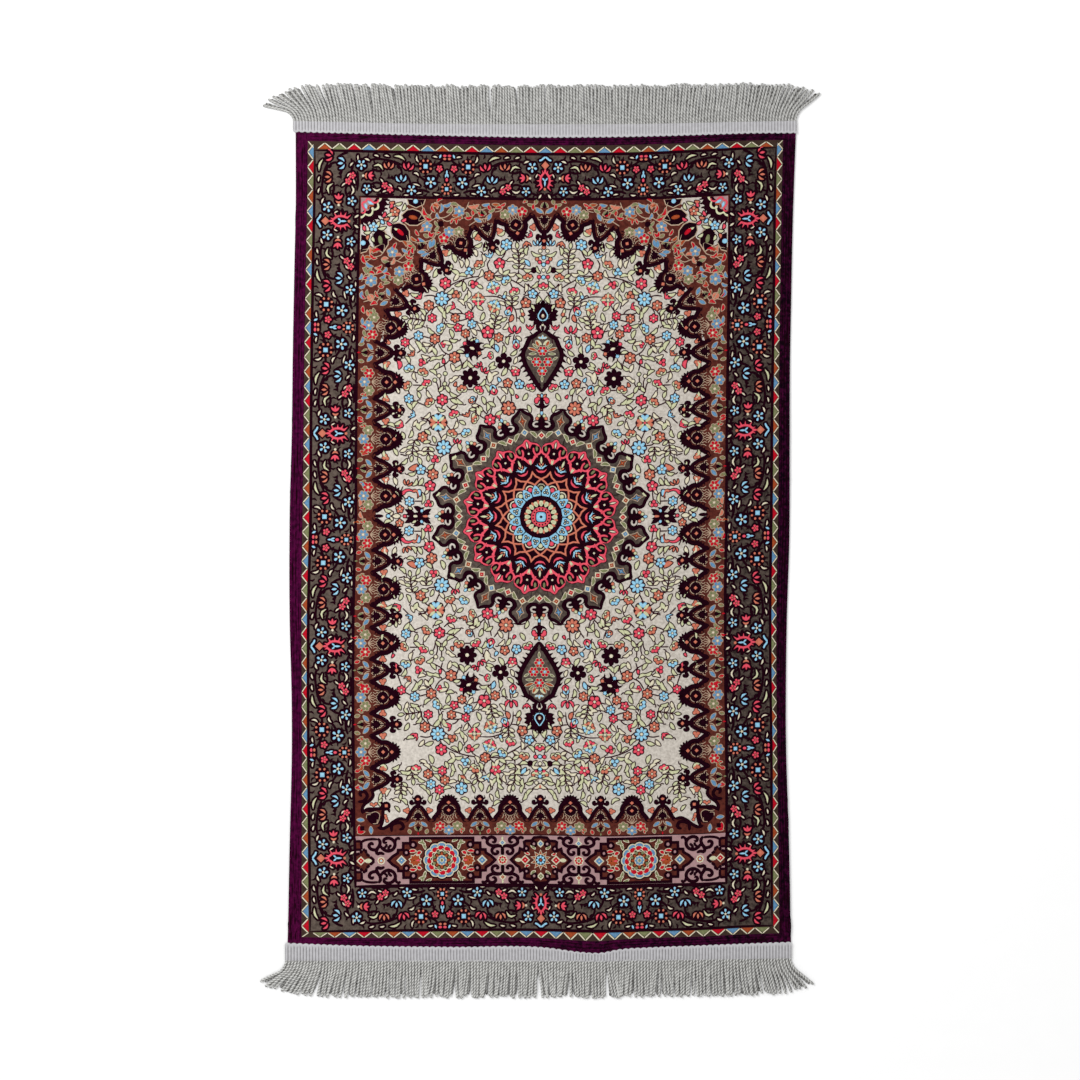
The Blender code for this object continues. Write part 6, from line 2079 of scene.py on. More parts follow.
FIELD_STEMS = (
    ((-100, 226), (-90, 232.7), (-73.9, 239), (-59, 241.1)),
    ((-49.3, 241.8), (-40.9, 241.1), (-26.9, 234.8), (-14.9, 227.1)),
    ((-60, 220.6), (-45.3, 220.2), (-34.2, 214.7), (-27.5, 206.7), (-25.9, 194.9)),
    ((-37.4, 267), (-41, 260), (-43, 258)), ((-54, 246), (-56, 253), (-53.5, 258)), ((-70, 240), (-74, 243)),
    ((-66, 237), (-69, 235)), ((-44, 248.5), (-47, 245), (-50, 242.5)), ((-26, 234.5), (-25, 241), (-24.8, 248)),
    ((-33, 235), (-31, 230), (-29, 227)), ((-97, 228), (-99, 224.5)),
    ((-97.5, 211.5), (-98.5, 206), (-100, 196), (-101, 191)), ((-101, 211), (-108, 209), (-112, 203)),
    ((-113, 206), (-117, 200), (-116.8, 195)), ((-94, 216), (-90, 219), (-87, 219)),
    ((-97, 206), (-90, 203), (-80, 203), (-76, 202)), ((-80, 203), (-84, 207), (-87, 208)),
    ((-60, 220.6), (-66, 214), (-72, 205)), ((-71, 197.5), (-70.7, 196)), ((-75, 198), (-82, 196), (-86, 195)),
    ((-78, 192), (-81, 190)), ((-72, 188.5), (-75, 186)), ((-66, 187), (-61, 185.5)),
    ((-54.8, 178.5), (-52, 173), (-50, 168)), ((-49, 184), (-46, 181.5)), ((-48.3, 187.5), (-50, 186)),
    ((-46, 219.5), (-44, 222), (-40, 220)), ((-39, 216.5), (-37.5, 212), (-36, 208)),
    ((-28, 208), (-22, 209), (-19.5, 211)), ((-22, 213), (-19, 221), (-12, 223)), ((-27, 200), (-22, 199), (-20, 201)),
    ((-28, 183), (-29, 178), (-28, 174)), ((-31, 181), (-38, 180)), ((-100, 183), (-104, 180)),
    ((-104, 173), (-99, 165), (-92, 161)), ((-112, 178), (-119, 180)), ((-128, 179), (-133, 176)),
    ((-107, 172), (-110, 165), (-114, 163)), ((-123.7, 175.8), (-122, 170), (-121.5, 167)), ((-121, 166), (-125, 163)),
    ((-92, 157), (-97, 152), (-104, 148), (-112, 145)), ((-82, 158), (-80, 152)), ((-98, 153), (-96, 146)),
    ((-119, 149), (-118, 146)), ((-124, 143), (-129, 145)), ((-119, 139), (-117, 135)), ((-120, 131), (-129, 131)),
    ((-103.2, 125), (-104, 131), (-106, 135)), ((-103.2, 125), (-101, 133), (-102.5, 139)),
    ((-103.2, 125), (-98, 131), (-96.8, 141)), ((-103.2, 125), (-95, 129), (-91.5, 134.5)),
    ((-103.2, 126), (-99.5, 128), (-97.5, 131)), ((-103, 126), (-101, 121)), ((-94, 117), (-86, 119), (-80, 123)),
    ((-74, 127), (-68, 127)), ((-82, 128), (-86, 131)), ((-104, 117), (-108, 115)),
    ((-114, 110), (-122, 113), (-128, 116)), ((-132, 122.5), (-133.5, 126)), ((-99, 111), (-101, 103)),
    ((-95, 111), (-90, 106)), ((-83, 102), (-77, 101)), ((-71, 106), (-65, 118), (-64, 122)),
    ((-66.5, 104), (-60, 100), (-57, 98)), ((-62, 112), (-58, 106), (-54, 102)), ((-51, 103), (-49, 112), (-47.5, 120)),
    ((-46, 131), (-43, 134)), ((-50, 133), (-56, 141)), ((-62, 133), (-66, 131)), ((-38, 110), (-42, 117), (-45, 121)),
    ((-30, 114), (-31, 124), (-33, 130)), ((-26, 107), (-18, 108), (-12, 106)), ((-25, 135), (-26, 141)),
    ((-18, 131), (-14, 130)), ((-31, 146), (-36, 150)), ((-22, 148), (-17, 152), (-14, 150)), ((-103, 85), (-99, 76)),
    ((-110, 90), (-117, 84)), ((-96, 93), (-91, 87)), ((-86, 82), (-79, 83)), ((-112, 96), (-121, 99)),
    ((-130, 98), (-136, 92)), ((-90, 69), (-86, 73)), ((-97, 61.5), (-102, 58)), ((-106, 54), (-108, 47.5)),
    ((-104, 71), (-111, 72), (-115, 77)), ((-118, 74), (-122, 76), (-126, 77)), ((-113, 43), (-116, 45)),
    ((-109, 36.7), (-110, 35)), ((-116, 30), (-122, 31), (-129, 31)), ((-125, 46), (-130, 47)),
    ((-111, 25), (-112, 17), (-113, 14)), ((-117, 15), (-127, 15)), ((-136, 17), (-140, 24), (-138, 30)),
    ((-134, 60), (-141, 62)), ((-93, 64), (-88, 58), (-90, 52)), ((-60, 163), (-66, 158)), ((-55, 160), (-60, 158)),
    ((-136.9, 169), (-140, 160), (-143, 152)), ((-104.5, 219), (-112, 221), (-119, 220)),
    ((-13, 186), (-10, 182), (-10, 173)), ((-9, 219), (-6, 222), (-3, 226)), ((-15.6, 234), (-12, 229)),
    ((-20, 271), (-24, 262), (-25.5, 255)),
)
FINIAL_LEAVES = (  # line, width
    (((-121.0, 1.6), (-122.0, 6.8), (-127.8, 9.8)), 5.6), (((-125, 1.0), (-130.6, 4.0), (-136.4, 7.0)), 5.2),
    (((-120, 1.0), (-114.8, 4.2), (-109.6, 7.6)), 5.0), (((-122, 3.0), (-119.6, 7.2), (-116.2, 9.0)), 3.0),
    (((-127, 0.8), (-131.0, 1.6), (-135.0, 2.0)), 3.4), (((-119, 0.8), (-114.6, 2.0), (-110.4, 2.4)), 3.4),
)
LOWER_FLOWERS = (  # x, y, radius, petals, yarn
    (-78, -272.2, 6.0, 6, SK), (-94.4, -263.8, 4.6, 6, SA), (-97, -254.4, 4.4, 6, CO), (-99.9, -273.6, 4.6, 6, CO),
    (-108.3, -267.9, 4.6, 6, SK), (-111.1, -257.8, 4.6, 6, SA),
)
LOWER_LEAVES = (  # x, y, turn, length, width, bend, yarn
    (-65.4, -276.5, 20, 7.6, 2.6, 0.8, LE), (-71.0, -287.0, 60, 9.0, 3.0, 2.4, LE),
    (-88.6, -260.3, -20, 7.0, 2.6, 0.6, LE), (-77.3, -254.7, 30, 7.0, 2.6, 0.6, LE),
    (-80.2, -265.2, 0, 6.6, 2.4, 0.6, LE), (-52.8, -276.5, -20, 7.6, 2.6, 0.8, LE),
    (-47.5, -284.9, 20, 7.0, 2.6, 0.6, CR), (-109.7, -278.7, 30, 7.0, 2.6, 0.6, LE),
    (-103.4, -284.0, -20, 7.0, 2.6, 0.6, LE), (-139.9, -295.3, 40, 7.0, 2.6, 0.6, LE),
    (-160.2, -282.9, -20, 7.0, 2.6, 0.6, LE), (-73.8, -263.1, 60, 6.6, 2.8, 0.6, SA),
)
LOWER_SPRIGS = (  # x, y, x of the tip, y of the tip, pairs, bend
    (-64, -256, -60.5, -267, 2, 0.5), (-137, -265, -138.3, -277.5, 3, 0.4), (-127.3, -249, -126.1, -262.5, 3, 0.4),
)


@dataclass
class FieldFlowers:
    """Flowers, leaves and vines of the ivory field: one quarter, mirrored to the other three."""

    chart: Chart
    draw: Motifs
    foot: float = -247.0  # below it, the mirrored quarter gives way to the lower corners' own flowers

    def build(self) -> None:
        """Lay the quarter's vines first, then its leaves and flowers, then what lies on the axes."""
        quarter = [placed(), MIRROR, np.array([[1.0, 0, 0], [0, -1.0, 0]]), np.array([[-1.0, 0, 0], [0, -1.0, 0]])]
        self.chart.start("field", 0.14, quarter)
        d = self.draw
        for path in FIELD_STEMS:
            self.quarter(*path[0], quarter)
            d.stem(IDENTITY, path, 1.2)
        for x, y, turn, length, width, bend, ink in FIELD_LEAVES:
            self.quarter(x, y, quarter)
            d.leaf(placed(x, y, turn), ink, length * 1.14, width * 1.42, bend)
        for x, y, tip_x, tip_y, pairs, bend in FIELD_SPRIGS:
            self.quarter(x, y, quarter)
            self.sprig(x, y, tip_x, tip_y, pairs, bend)
        for x, y, radius, petals, ink in FIELD_FLOWERS:
            self.quarter(x, y, quarter)
            d.flower(placed(x, y, 7.0 * math.sin(x * y)), ink, radius, petals)
        for table, motif in ((FIELD_POSIES, d.posy), (FIELD_TREFOILS, d.trefoil), (FIELD_LILIES, d.lily),
                             (FIELD_TULIPS, d.tulip)):
            for x, y, turn, size, ink in table:
                self.quarter(x, y, quarter if x else [quarter[0], quarter[2]])
                motif(placed(x, y, turn), ink, size)
        for x, y, turn, size, ink, tip in FIELD_BUDS:
            self.quarter(x, y, quarter)
            d.bud(placed(x, y, turn), ink, size, tip)
        for x, y, turn, size, first, second in FIELD_BICOLOURS:
            self.quarter(x, y, quarter)
            d.bicolour(placed(x, y, turn), first, second, size)
        self.chart.copies = quarter
        for x, y, radius, first, second in FIELD_CROSSES:
            self.cross(x, y, radius, first, second)
        for x, y, turn, first, second in FIELD_BOUQUETS:
            self.bouquet(placed(x, y, turn), first, second)
        for x, y, radius, petals in FIELD_DARKS:
            self.dark_flower(x, y, radius, petals)
        self.star(-70.1, 168.5)
        self.berries()
        self.swirl()
        self.axis(quarter)
        self.side_finials()
        self.lower_corners()
        self.fill(quarter)

    def fill(self, quarter: list[np.ndarray], tries: int = 10400, seed: int = 31) -> None:
        """Single leaves with short stalks at free places between the flowers."""
        rng = np.random.default_rng(seed)
        taken = [(x, y, radius + 3.4)
                 for x, y, radius, *_ in FIELD_FLOWERS + LOWER_FLOWERS + FIELD_CROSSES + FIELD_DARKS]
        for table, gap in ((FIELD_POSIES, 8.4), (FIELD_TREFOILS, 7.0), (FIELD_LILIES, 7.6), (FIELD_TULIPS, 8.0),
                           (FIELD_BUDS, 6.6), (FIELD_BICOLOURS, 9.0), (FIELD_BOUQUETS, 10.0)):
            taken += [(row[0], row[1], gap) for row in table]
        for x, y, turn, length, *_ in FIELD_LEAVES + LOWER_LEAVES:
            way = math.radians(turn + 90)
            taken.append((x + 0.5 * length * math.cos(way), y + 0.5 * length * math.sin(way), 5.6))
        for x, y, tip_x, tip_y, *_ in FIELD_SPRIGS + LOWER_SPRIGS:
            taken += [(x + (tip_x - x) * share, y + (tip_y - y) * share, 7.6) for share in (0.1, 0.5, 0.9)]
        taken += [(x, y, 3.4) for path in FIELD_STEMS for x, y in path]
        taken += [(-70.1, 168.5, 15.0), (-99, 137, 10.0), (-132.7, 24.9, 10.0), (0, 250, 13.0), (0, 266, 13.0),
                  (-124, 0, 13.0), (0, 128, 14.0), (-123, -253.5, 8.0),
                  (-141, 7, 8.0), (-145, 0, 9.0), (-158, 0, 8.0), (-130, 23, 10.0), (-120, 20, 9.0)]
        taken += [(0, y, 24.0) for y in range(142, 205, 12)]
        for head in WHEELS + OVALS:
            way, reach = math.radians(head.way), 8.0 if head in WHEELS else 15.0
            taken += [(head.x + step * math.cos(way), head.y + step * math.sin(way), 13.0) for step in (0.0, reach)]
        rim = left_rim()
        for low, high, copies in (((-158, 3), (-3, 285), quarter), ((-158, -288), (-3, -250), [IDENTITY, MIRROR])):
            for x, y in scatter(rng, low, high, taken, 7.8, tries):
                turn, bend = rng.uniform(0, 360), rng.choice((-1.6, 1.6))
                if math.hypot(x, y) < 122 or outside(rim, x, y) > -5:
                    continue
                if copies is quarter:
                    self.quarter(x, y, copies)
                else:
                    self.chart.copies = copies
                spot = placed(x, y, round(turn))
                self.draw.stem(spot, ((-bend, -6.6), (bend * 0.4, -4.4), (0, -2.6)), 1.1)
                self.draw.leaf(after(spot, placed(0, -3.2)), (LE, CR, LE)[round(turn) % 3], 7.8, 3.2,
                               round(float(bend), 1))

    def quarter(self, x: float, y: float, copies: list[np.ndarray]) -> None:
        """Keep the copies in whose quarters an item at this place lies inside the field."""
        low = -y > self.foot or (abs(x) < 66 and y < 270)
        self.chart.copies = [copy for copy in copies if copy[1, 1] > 0 or low]

    def sprig(self, x: float, y: float, tip_x: float, tip_y: float, pairs: int, bend: float) -> None:
        """Leafy twig from one place to another."""
        length = math.hypot(tip_x - x, tip_y - y)
        turn = math.degrees(math.atan2(tip_y - y, tip_x - x)) - 90
        self.draw.sprig(placed(x, y, turn), LE, pairs, length / pairs, 6.0, 3.0, bend)

    def cross(self, x: float, y: float, radius: float, first: Ink, second: Ink) -> None:
        """Large flower of paired petals in two colours, with a cross of four leaves."""
        lay = self.chart.lay
        at = placed(x, y)
        lay(Ink.UMBER, lobed(radius + 0.8, 1.2, 8, 48), Layer.OUTLINE, at)
        for turn in range(4):
            ink = first if turn % 2 else second
            for side in (-19, 19):
                lay(ink, oval(2.1, 3.1, 10, 2), Layer.FILL, after(at, polar(turn * 90 + side, radius * 0.64)))
            star = after(at, polar(turn * 90 + 45, 0))
            lay(Ink.UMBER, blade(((0, 0.6), (0, radius * 1.12)), 4.4, Outline.LEAF, 7), Layer.FILL, star, 0.10)
            lay(Ink.LEAF, blade(((0, 0.8), (0, radius * 1.02)), 3.2, Outline.LEAF, 7), Layer.FILL, star, 0.22)
        lay(Ink.CORAL, dot(1.3), Layer.EYE, at, 0.3)

    def bouquet(self, at: np.ndarray, first: Ink, second: Ink) -> None:
        """Cluster of small round petals, half of them in each of two colours, with leaves between the halves."""
        lay = self.chart.lay
        for k in range(8):
            spot = after(at, polar(k * 45 + 22.5, 4.4))
            self.chart.berry(spot, first if k in (0, 1, 6, 7) else second, 2.5, 1.7, (9, 9), self.draw.rim)
        spine = ((0, 1.2), (0, 7.4))
        for turn in (90, -90, 0, 180):
            spot = after(at, placed(turn=turn))
            lay(self.draw.rim, blade(spine, 2.6, Outline.LEAF, 6, grow=0.6), Layer.OUTLINE, spot, 0.05)
            lay(Ink.LEAF, blade(spine, 2.4, Outline.LEAF, 6), Layer.FILL, spot, 0.06)
        lay(Ink.CREAM, dot(1.4), Layer.EYE, at, 0.1)

    def dark_flower(self, x: float, y: float, radius: float, petals: int) -> None:
        """Solid dark rosette with a pale eye."""
        lay = self.chart.lay
        at = placed(x, y)
        lay(Ink.DARK, dot(radius * 0.62, 16, 2), Layer.FILL, at)
        half = radius * (0.30 if petals > 6 else 0.42)
        lay(Ink.DARK, oval(half, radius * 0.38, 10, 2).at(0, radius * 0.68).ring(petals), Layer.FILL, at)
        lay(Ink.CREAM, dot(radius * 0.27, 9), Layer.EYE, at, 0.08)

    def star(self, x: float, y: float) -> None:
        """Dark star with four forked and barbed arms, coloured discs between them and a pale eye."""
        lay = self.chart.lay
        for turn in range(4):
            arm = placed(x, y, turn * 90 + 12)
            lay(Ink.DARK, blade(((0, 0), (0, 8.0)), 6.0, Outline.STROKE, 6), Layer.FILL, arm)
            for side in (-1, 1):
                fork = ((0, 5.0), (side * 3.2, 8.2), (side * 2.4, 13.2))
                lay(Ink.DARK, blade(fork, 4.8, Outline.HORN, 8), Layer.FILL, arm)
                barb = ((side * 1.5, 4.0), (side * 5.2, 6.2), (side * 8.2, 4.6))
                lay(Ink.DARK, blade(barb, 3.6, Outline.HORN, 7), Layer.FILL, arm)
            disc_at = after(placed(x, y, turn * 90 + 57), placed(0, 8.6))
            lay(Ink.DARK, dot(2.5, 8), Layer.OUTLINE, disc_at, 0.04)
            lay((CO, SK, SA, SK)[turn], dot(1.9, 8, 2), Layer.FILL, disc_at, 0.08)
        lay(Ink.DARK, dot(5.0, 12), Layer.FILL, placed(x, y), 0.04)
        lay(Ink.CREAM, oval(2.6, 1.7, 9), Layer.EYE, placed(x, y, -15), 0.12)

    def berries(self) -> None:
        """Round berries at the ends of a forked twig."""
        for x, y, ink in ((-106.9, 136.2, LE), (-102.8, 140.6, CR), (-96.6, 142.8, LE), (-90.7, 135.9, CR),
                          (-97, 132.6, LE)):
            self.chart.berry(placed(x, y), ink, 2.7, 1.8)

    def swirl(self) -> None:
        """Curled flower beside the side finial: a coral crescent, a salmon curl, a blue drop and two leaves."""
        d = self.draw
        for ink, path, width, outline in (
                (CO, ((-138.8, 21.6), (-135.6, 25.4), (-130.6, 26.0), (-126.6, 23.8)), 3.4, Outline.HORN),
                (SA, ((-128.2, 25.0), (-124.4, 25.4), (-122.6, 22.0), (-123.4, 18.2)), 2.8, Outline.HORN),
                (SK, ((-122.2, 26.4), (-121.0, 20.0)), 3.4, Outline.DROP),
                (LE, ((-118.6, 23.4), (-117.0, 17.6), (-118.8, 12.4)), 2.8, Outline.LEAF)):
            d.outlined(ink, IDENTITY, (path, width, outline, 9))
        d.leaf(placed(-116.0, 22.4, -40), CR, 5.0, 2.6)

    def axis(self, quarter: list[np.ndarray]) -> None:
        """Bouquets on the upright axis, above and below the pendants."""
        self.chart.copies = [quarter[0], quarter[2]]
        d, lay = self.draw, self.chart.lay
        for side in (-1, 1):
            d.leaf(placed(side * 2.0, 262.6, -side * 72), LE, 11.0, 3.0, side * 2.4)
            d.leaf(placed(side * 3.0, 244.6, -side * 30), LE, 7.6, 2.4, side * 1.6)
            for x, y, ink in ((4.0, 255.5, CO), (6.7, 258.5, SA), (3.6, 266.6, CR), (4.4, 240.6, CO)):
                self.chart.berry(placed(side * x, y), ink, 2.5, 1.7)
            lay(Ink.DARK, dot(3.3, 10, 2), Layer.FILL, placed(side * 9.7, 247.4))
            d.leaf(placed(side * 1.4, 217.0, -side * 40), LE, 6.0, 2.2, side * 0.6)
        for x, y, ink in ((0, 270.2, SA), (0, 260, SK), (0, 253, SK), (0, 240.4, SK), (0, 247.4, CR)):
            self.chart.berry(placed(x, y), ink, 2.6, 1.8)

    def side_finials(self) -> None:
        """Dark finials at the two sides of the medallion."""
        self.chart.copies = [IDENTITY, MIRROR]
        lay = self.chart.lay
        d = self.draw
        lay(Ink.DARK, oval(7.0, 4.0, 18, 2).at(-123, 0), Layer.FILL)
        for side in (-1, 1):
            for path, width in FINIAL_LEAVES:
                lay(Ink.DARK, blade(turned(path, 1, side), width, Outline.LEAF, 8), Layer.FILL)
            lay(Ink.DARK, dot(2.3, 8), Layer.OUTLINE, placed(-119.4, side * 5.6), 0.06)
            lay(SK, dot(1.7, 8, 2), Layer.FILL, placed(-119.4, side * 5.6), 0.10)
            d.leaf(placed(-128.6, side * 6.8, side * 60), LE, 4.8, 2.4)
            d.leaf(placed(-150.6, side * 0.6, side * -35 + (180 if side < 0 else 0)), CR, 4.6, 2.2)
            d.flower(placed(-141.1, side * 7.0), SA, 3.9, 5)
            d.trefoil(placed(-112.6, side * 12.4), CO, 3.6)
        lay(CR, oval(2.5, 1.5, 9).at(-125.2, 0), Layer.EYE, lift=0.10)
        lay(SA, oval(2.6, 1.5, 9).at(-115.6, 0), Layer.EYE, lift=0.04)
        d.outlined(CR, IDENTITY, (((-148.4, 0), (-140.2, 0)), 4.6, Outline.LEAF, 7))
        d.outlined(SK, IDENTITY, (((-154.4, 0), (-150.6, 0)), 3.4, Outline.OVAL, 6))
        d.outlined(CO, IDENTITY, (((-137.6, 0), (-134.6, 0)), 2.8, Outline.OVAL, 6), lift=0.08)
        lay(Ink.DARK, blade(((-167.0, 0), (-157.4, 0)), 3.6, Outline.OVAL, 7), Layer.FILL)

    def lower_corners(self) -> None:
        """Flowers of the two lower corners only."""
        self.chart.copies = [IDENTITY, MIRROR]
        for x, y, turn, length, width, bend, ink in LOWER_LEAVES:
            self.draw.leaf(placed(x, y, turn), ink, length, width, bend)
        for x, y, tip_x, tip_y, pairs, bend in LOWER_SPRIGS:
            self.sprig(x, y, tip_x, tip_y, pairs, bend)
        for x, y, radius, petals, ink in LOWER_FLOWERS:
            self.draw.flower(placed(x, y), ink, radius, petals)
        self.draw.posy(placed(-123, -253.5), CO, 5.4)


# ---------------------------------------------------------------------------------------------------------
# Bottom panel
# ---------------------------------------------------------------------------------------------------------


SIDE_CARTOUCHE = ((0, 22.0), (15, 22.0), (31.2, 22.0), (31.2, 17.2), (38.2, 17.2), (38.4, 10.6), (43.4, 10.4),
                  (43.8, 7.3), (49.0, 4.1), (53.1, 0))
MIDDLE_CARTOUCHE = ((0, 23.0), (6.3, 22.4), (8.8, 19.3), (14.5, 19.0), (16.3, 18.0), (15.2, 8.9), (20.4, 11.4),
                    (21.4, 7.2), (24.0, 5.5), (29.5, 0))
CROSS_SCROLLS = (  # width, line
    (3.0, ((0, 4.7), (0, 12.6))),
    (2.9, ((0, 12.4), (3.8, 14.2), (10.7, 14.2), (15.2, 17.4), (13.9, 21.6), (10.1, 22.8), (6.9, 20.4), (8.2, 17.6),
           (10.7, 18.2))),
    (2.6, ((15.2, 17.6), (15.4, 20.6), (18.3, 22.6), (21.2, 21.4))),
    (2.7, ((0.4, 14.2), (3.2, 14.0), (8.6, 12.6), (10.6, 9.6), (9.3, 6.6), (6, 6), (4.4, 8.0), (6.6, 9.2))),
)
END_SCROLLS = (
    (2.9, ((3.4, 6.3), (-0.6, 7.6), (-4.0, 7.0), (-4.6, 10.6), (-1.8, 14.8), (-0.9, 18.2), (-2.8, 22.6))),
    (2.9, ((-2.2, 11.4), (-6.6, 10.8), (-11, 12.5), (-12, 15.6), (-9.6, 17.4), (-7.3, 15.8))),
    (2.9, ((-1.6, 16.2), (2.2, 11.4), (7.3, 9.5), (12.3, 11.9), (13.9, 16.9), (11, 21.2), (6, 22.4), (2.6, 20.5),
           (3.4, 17.9), (6.2, 18.5))),
    (2.4, ((13.9, 17.2), (14.8, 21.0), (17.4, 22.4), (18.6, 20.5))),
    (2.4, ((7.3, 10.0), (7.8, 13.4), (10.4, 15.6))), (2.2, ((2.6, 12.4), (5.2, 14.6), (5.4, 16.8))),
    (2.2, ((-2.8, 21.3), (-9.2, 21.6), (-17.3, 20.1), (-21.2, 17.4))),
)


@dataclass
class BottomPanel:
    """Mauve panel under the field: cartouches with rosettes, a middle cartouche and scrolled crosses."""

    chart: Chart
    draw: Motifs
    level: float = -344.0

    def build(self) -> None:
        """Lay the side cartouches, the middle one, the crosses between them and the half ones at the ends."""
        level = self.level
        self.chart.start("panel", 0.10, [placed(-98.3, level), placed(98.3, level)])
        self.cartouche(SIDE_CARTOUCHE, ((28.4, 15.5, 1.9), (35.3, 7.8, 1.6)))
        self.rosette()
        self.side_gems()
        self.chart.start("panel", 0.10, [placed(0, level)])
        self.cartouche(MIDDLE_CARTOUCHE, ((6.6, 16.1, 1.5), (14.2, 11.4, 1.3)))
        self.middle()
        self.chart.start("panel", 0.10, [placed(-37.9, level), placed(37.9, level)])
        self.scrolls(CROSS_SCROLLS, (-1, 1))
        self.knot(Ink.RED, Ink.SAGE, 3.4)
        for up in (-1, 1):
            self.draw.gem(placed(0, up * 17.2), Ink.BLUE if up > 0 else Ink.RUST, 2.0)
            self.chart.lay(Ink.LEAF, blade(((0, up * 19.6), (0, up * 23.6)), 2.2, Outline.LEAF, 5), Layer.FILL)
        self.chart.start("panel", 0.10, [placed(-158.6, level), placed(158.6, level, flip=True)])
        self.scrolls(END_SCROLLS, (1,))
        self.knot(Ink.RUST, Ink.SKY, 2.3)
        self.end_piece()
        self.chart.start("panel", 0.14)
        for line in (((-184.6, -320), (-184.6, -371)), ((184.6, -320), (184.6, -371)), ((-186, -370.0), (186, -370.0))):
            self.chart.lay(Ink.DARK, blade(line, 2.8, Outline.STROKE, 60), Layer.FILL)

    def cartouche(self, half: tuple[tuple[float, float], ...], pearls: tuple[tuple[float, float, float], ...]) -> None:
        """Brown ground with a dark rim and pale pearls, from the upper right quarter of its outline."""
        lay = self.chart.lay
        outline = whole(list(half) + [(x, -y) for x, y in half[-2::-1]])
        lay(Ink.BROWN, patch(outline, (0, 0), 4), Layer.GROUND)
        lay(Ink.DARK, loop(tuple(outline), 2.8), Layer.FILL)
        for sx in (-1, 1):
            for sy in (-1, 1):
                for x, y, radius in pearls:
                    lay(Ink.DARK, dot(radius + 2.2, 12, 2), Layer.FILL, placed(sx * x, sy * y), -0.04)
                    lay(Ink.MAUVE, oval(radius, radius * 1.1, 10), Layer.EYE, placed(sx * x, sy * y), 0.06)

    def scrolls(self, lines: tuple[tuple[float, tuple[tuple[float, float], ...]], ...], sides: tuple[int, ...]) -> None:
        """Dark scrolls above and below the middle level, on one side or both."""
        for width, line in lines:
            for side in sides:
                for up in (-1, 1):
                    path = turned(line, side, up)
                    self.chart.lay(Ink.DARK, blade(path, width * 1.16, Outline.STROKE, 4 * len(path)), Layer.FILL)

    def knot(self, ink: Ink, eye: Ink, radius: float) -> None:
        """Ring of eight small petals with a pale rim."""
        lay = self.chart.lay
        lay(Ink.CREAM, lobed(radius + 1.7, 0.5, 8, 48), Layer.OUTLINE, lift=0.02)
        lay(ink, dot(radius * 0.34, 7).at(0, radius * 0.86).ring(8), Layer.FILL)
        lay(eye, dot(radius * 0.40, 8), Layer.EYE)

    def rosette(self) -> None:
        """Rosette of nested petal rings, each petal with a pale rim."""
        lay = self.chart.lay
        lay(Ink.DARK, lobed(19.8, 1.4, 12, 96), Layer.OUTLINE)
        lay(Ink.CREAM, lobed(18.5, 1.5, 12, 96), Layer.OUTLINE, lift=0.08)
        lay(Ink.BLUE, oval(3.7, 2.3, 10, 2).at(0, 15.0).ring(12), Layer.FILL, lift=0.04)
        lay(Ink.CREAM, lobed(14.6, 1.0, 12, 72), Layer.OUTLINE, lift=0.26)
        lay(Ink.DARK, lobed(13.8, 1.0, 12, 72), Layer.OUTLINE, lift=0.30)
        comma = ((-3.1, 10.9), (-0.2, 13.0), (3.2, 11.6))
        lay(Ink.CREAM, blade(comma, 4.3, Outline.DROP, 7, grow=0.7).ring(12), Layer.OUTLINE, lift=0.36)
        lay(Ink.RED, blade(comma, 4.3, Outline.DROP, 7).ring(12), Layer.FILL, lift=0.30)
        lay(Ink.CREAM, lobed(9.9, 1.1, 8, 64), Layer.OUTLINE, lift=0.40)
        lay(Ink.BROWN, lobed(9.1, 1.1, 8, 64), Layer.OUTLINE, lift=0.44)
        lay(Ink.SAGE, oval(1.5, 1.7, 8, 2).at(0, 8.2).ring(8, 22.5), Layer.FILL, lift=0.40)
        lay(Ink.RUST, blade(((0, 4.8), (0, 8.6)), 2.6, Outline.DROP, 5).ring(8), Layer.FILL, lift=0.40)
        lay(Ink.CREAM, dot(5.1, 18), Layer.OUTLINE, lift=0.54)
        lay(Ink.BLUE, oval(1.3, 1.5, 8, 2).at(0, 3.2).ring(8), Layer.FILL, lift=0.48)
        lay(Ink.SAGE, oval(1.3, 1.6), Layer.EYE, lift=0.50)

    def side_gems(self) -> None:
        """Checked lozenge, fan palmette, leaves and sprigs at both ends of a side cartouche."""
        d, lay = self.draw, self.chart.lay
        for side in (-1, 1):
            d.gem(placed(side * 40.1, 0), Ink.BLUE, 3.6)
            fan = placed(side * 26.4, 0, -90 * side)
            lay(Ink.CREAM, spiky(7.0, 1.8, 9, 0), Layer.OUTLINE, fan, 0.04)
            lay(Ink.RUST, spiky(6.0, 1.6, 9, 0), Layer.OUTLINE, fan, 0.14)
            lay(Ink.CORAL, blade(((0, -4.8), (0, -0.6)), 2.2, Outline.LEAF, 5), Layer.FILL, fan, 0.04)
            lay(Ink.DARK, dot(0.9, 7), Layer.FILL, after(fan, placed(0, 1.2)), 0.04)
            for up in (-1, 1):
                for x, y, turn, ink, length, width in (
                        (25.4, 9.2, 94, Ink.RED, 7.4, 3.0), (20.2, 8.4, 120, Ink.RED, 5.0, 3.4),
                        (16.4, 11.0, 24, Ink.SAGE, 5.6, 2.2), (16.2, 16.0, 74, Ink.SAGE, 7.0, 2.2),
                        (10.6, 18.6, 70, Ink.SAGE, 5.4, 2.0), (19.0, 17.6, 20, Ink.SAGE, 3.6, 1.8)):
                    spot = np.array([[-side, 0.0, 0.0], [0.0, up, 0.0]])
                    d.leaf(after(spot, placed(-x, y, turn)), ink, length, width, 0.6)

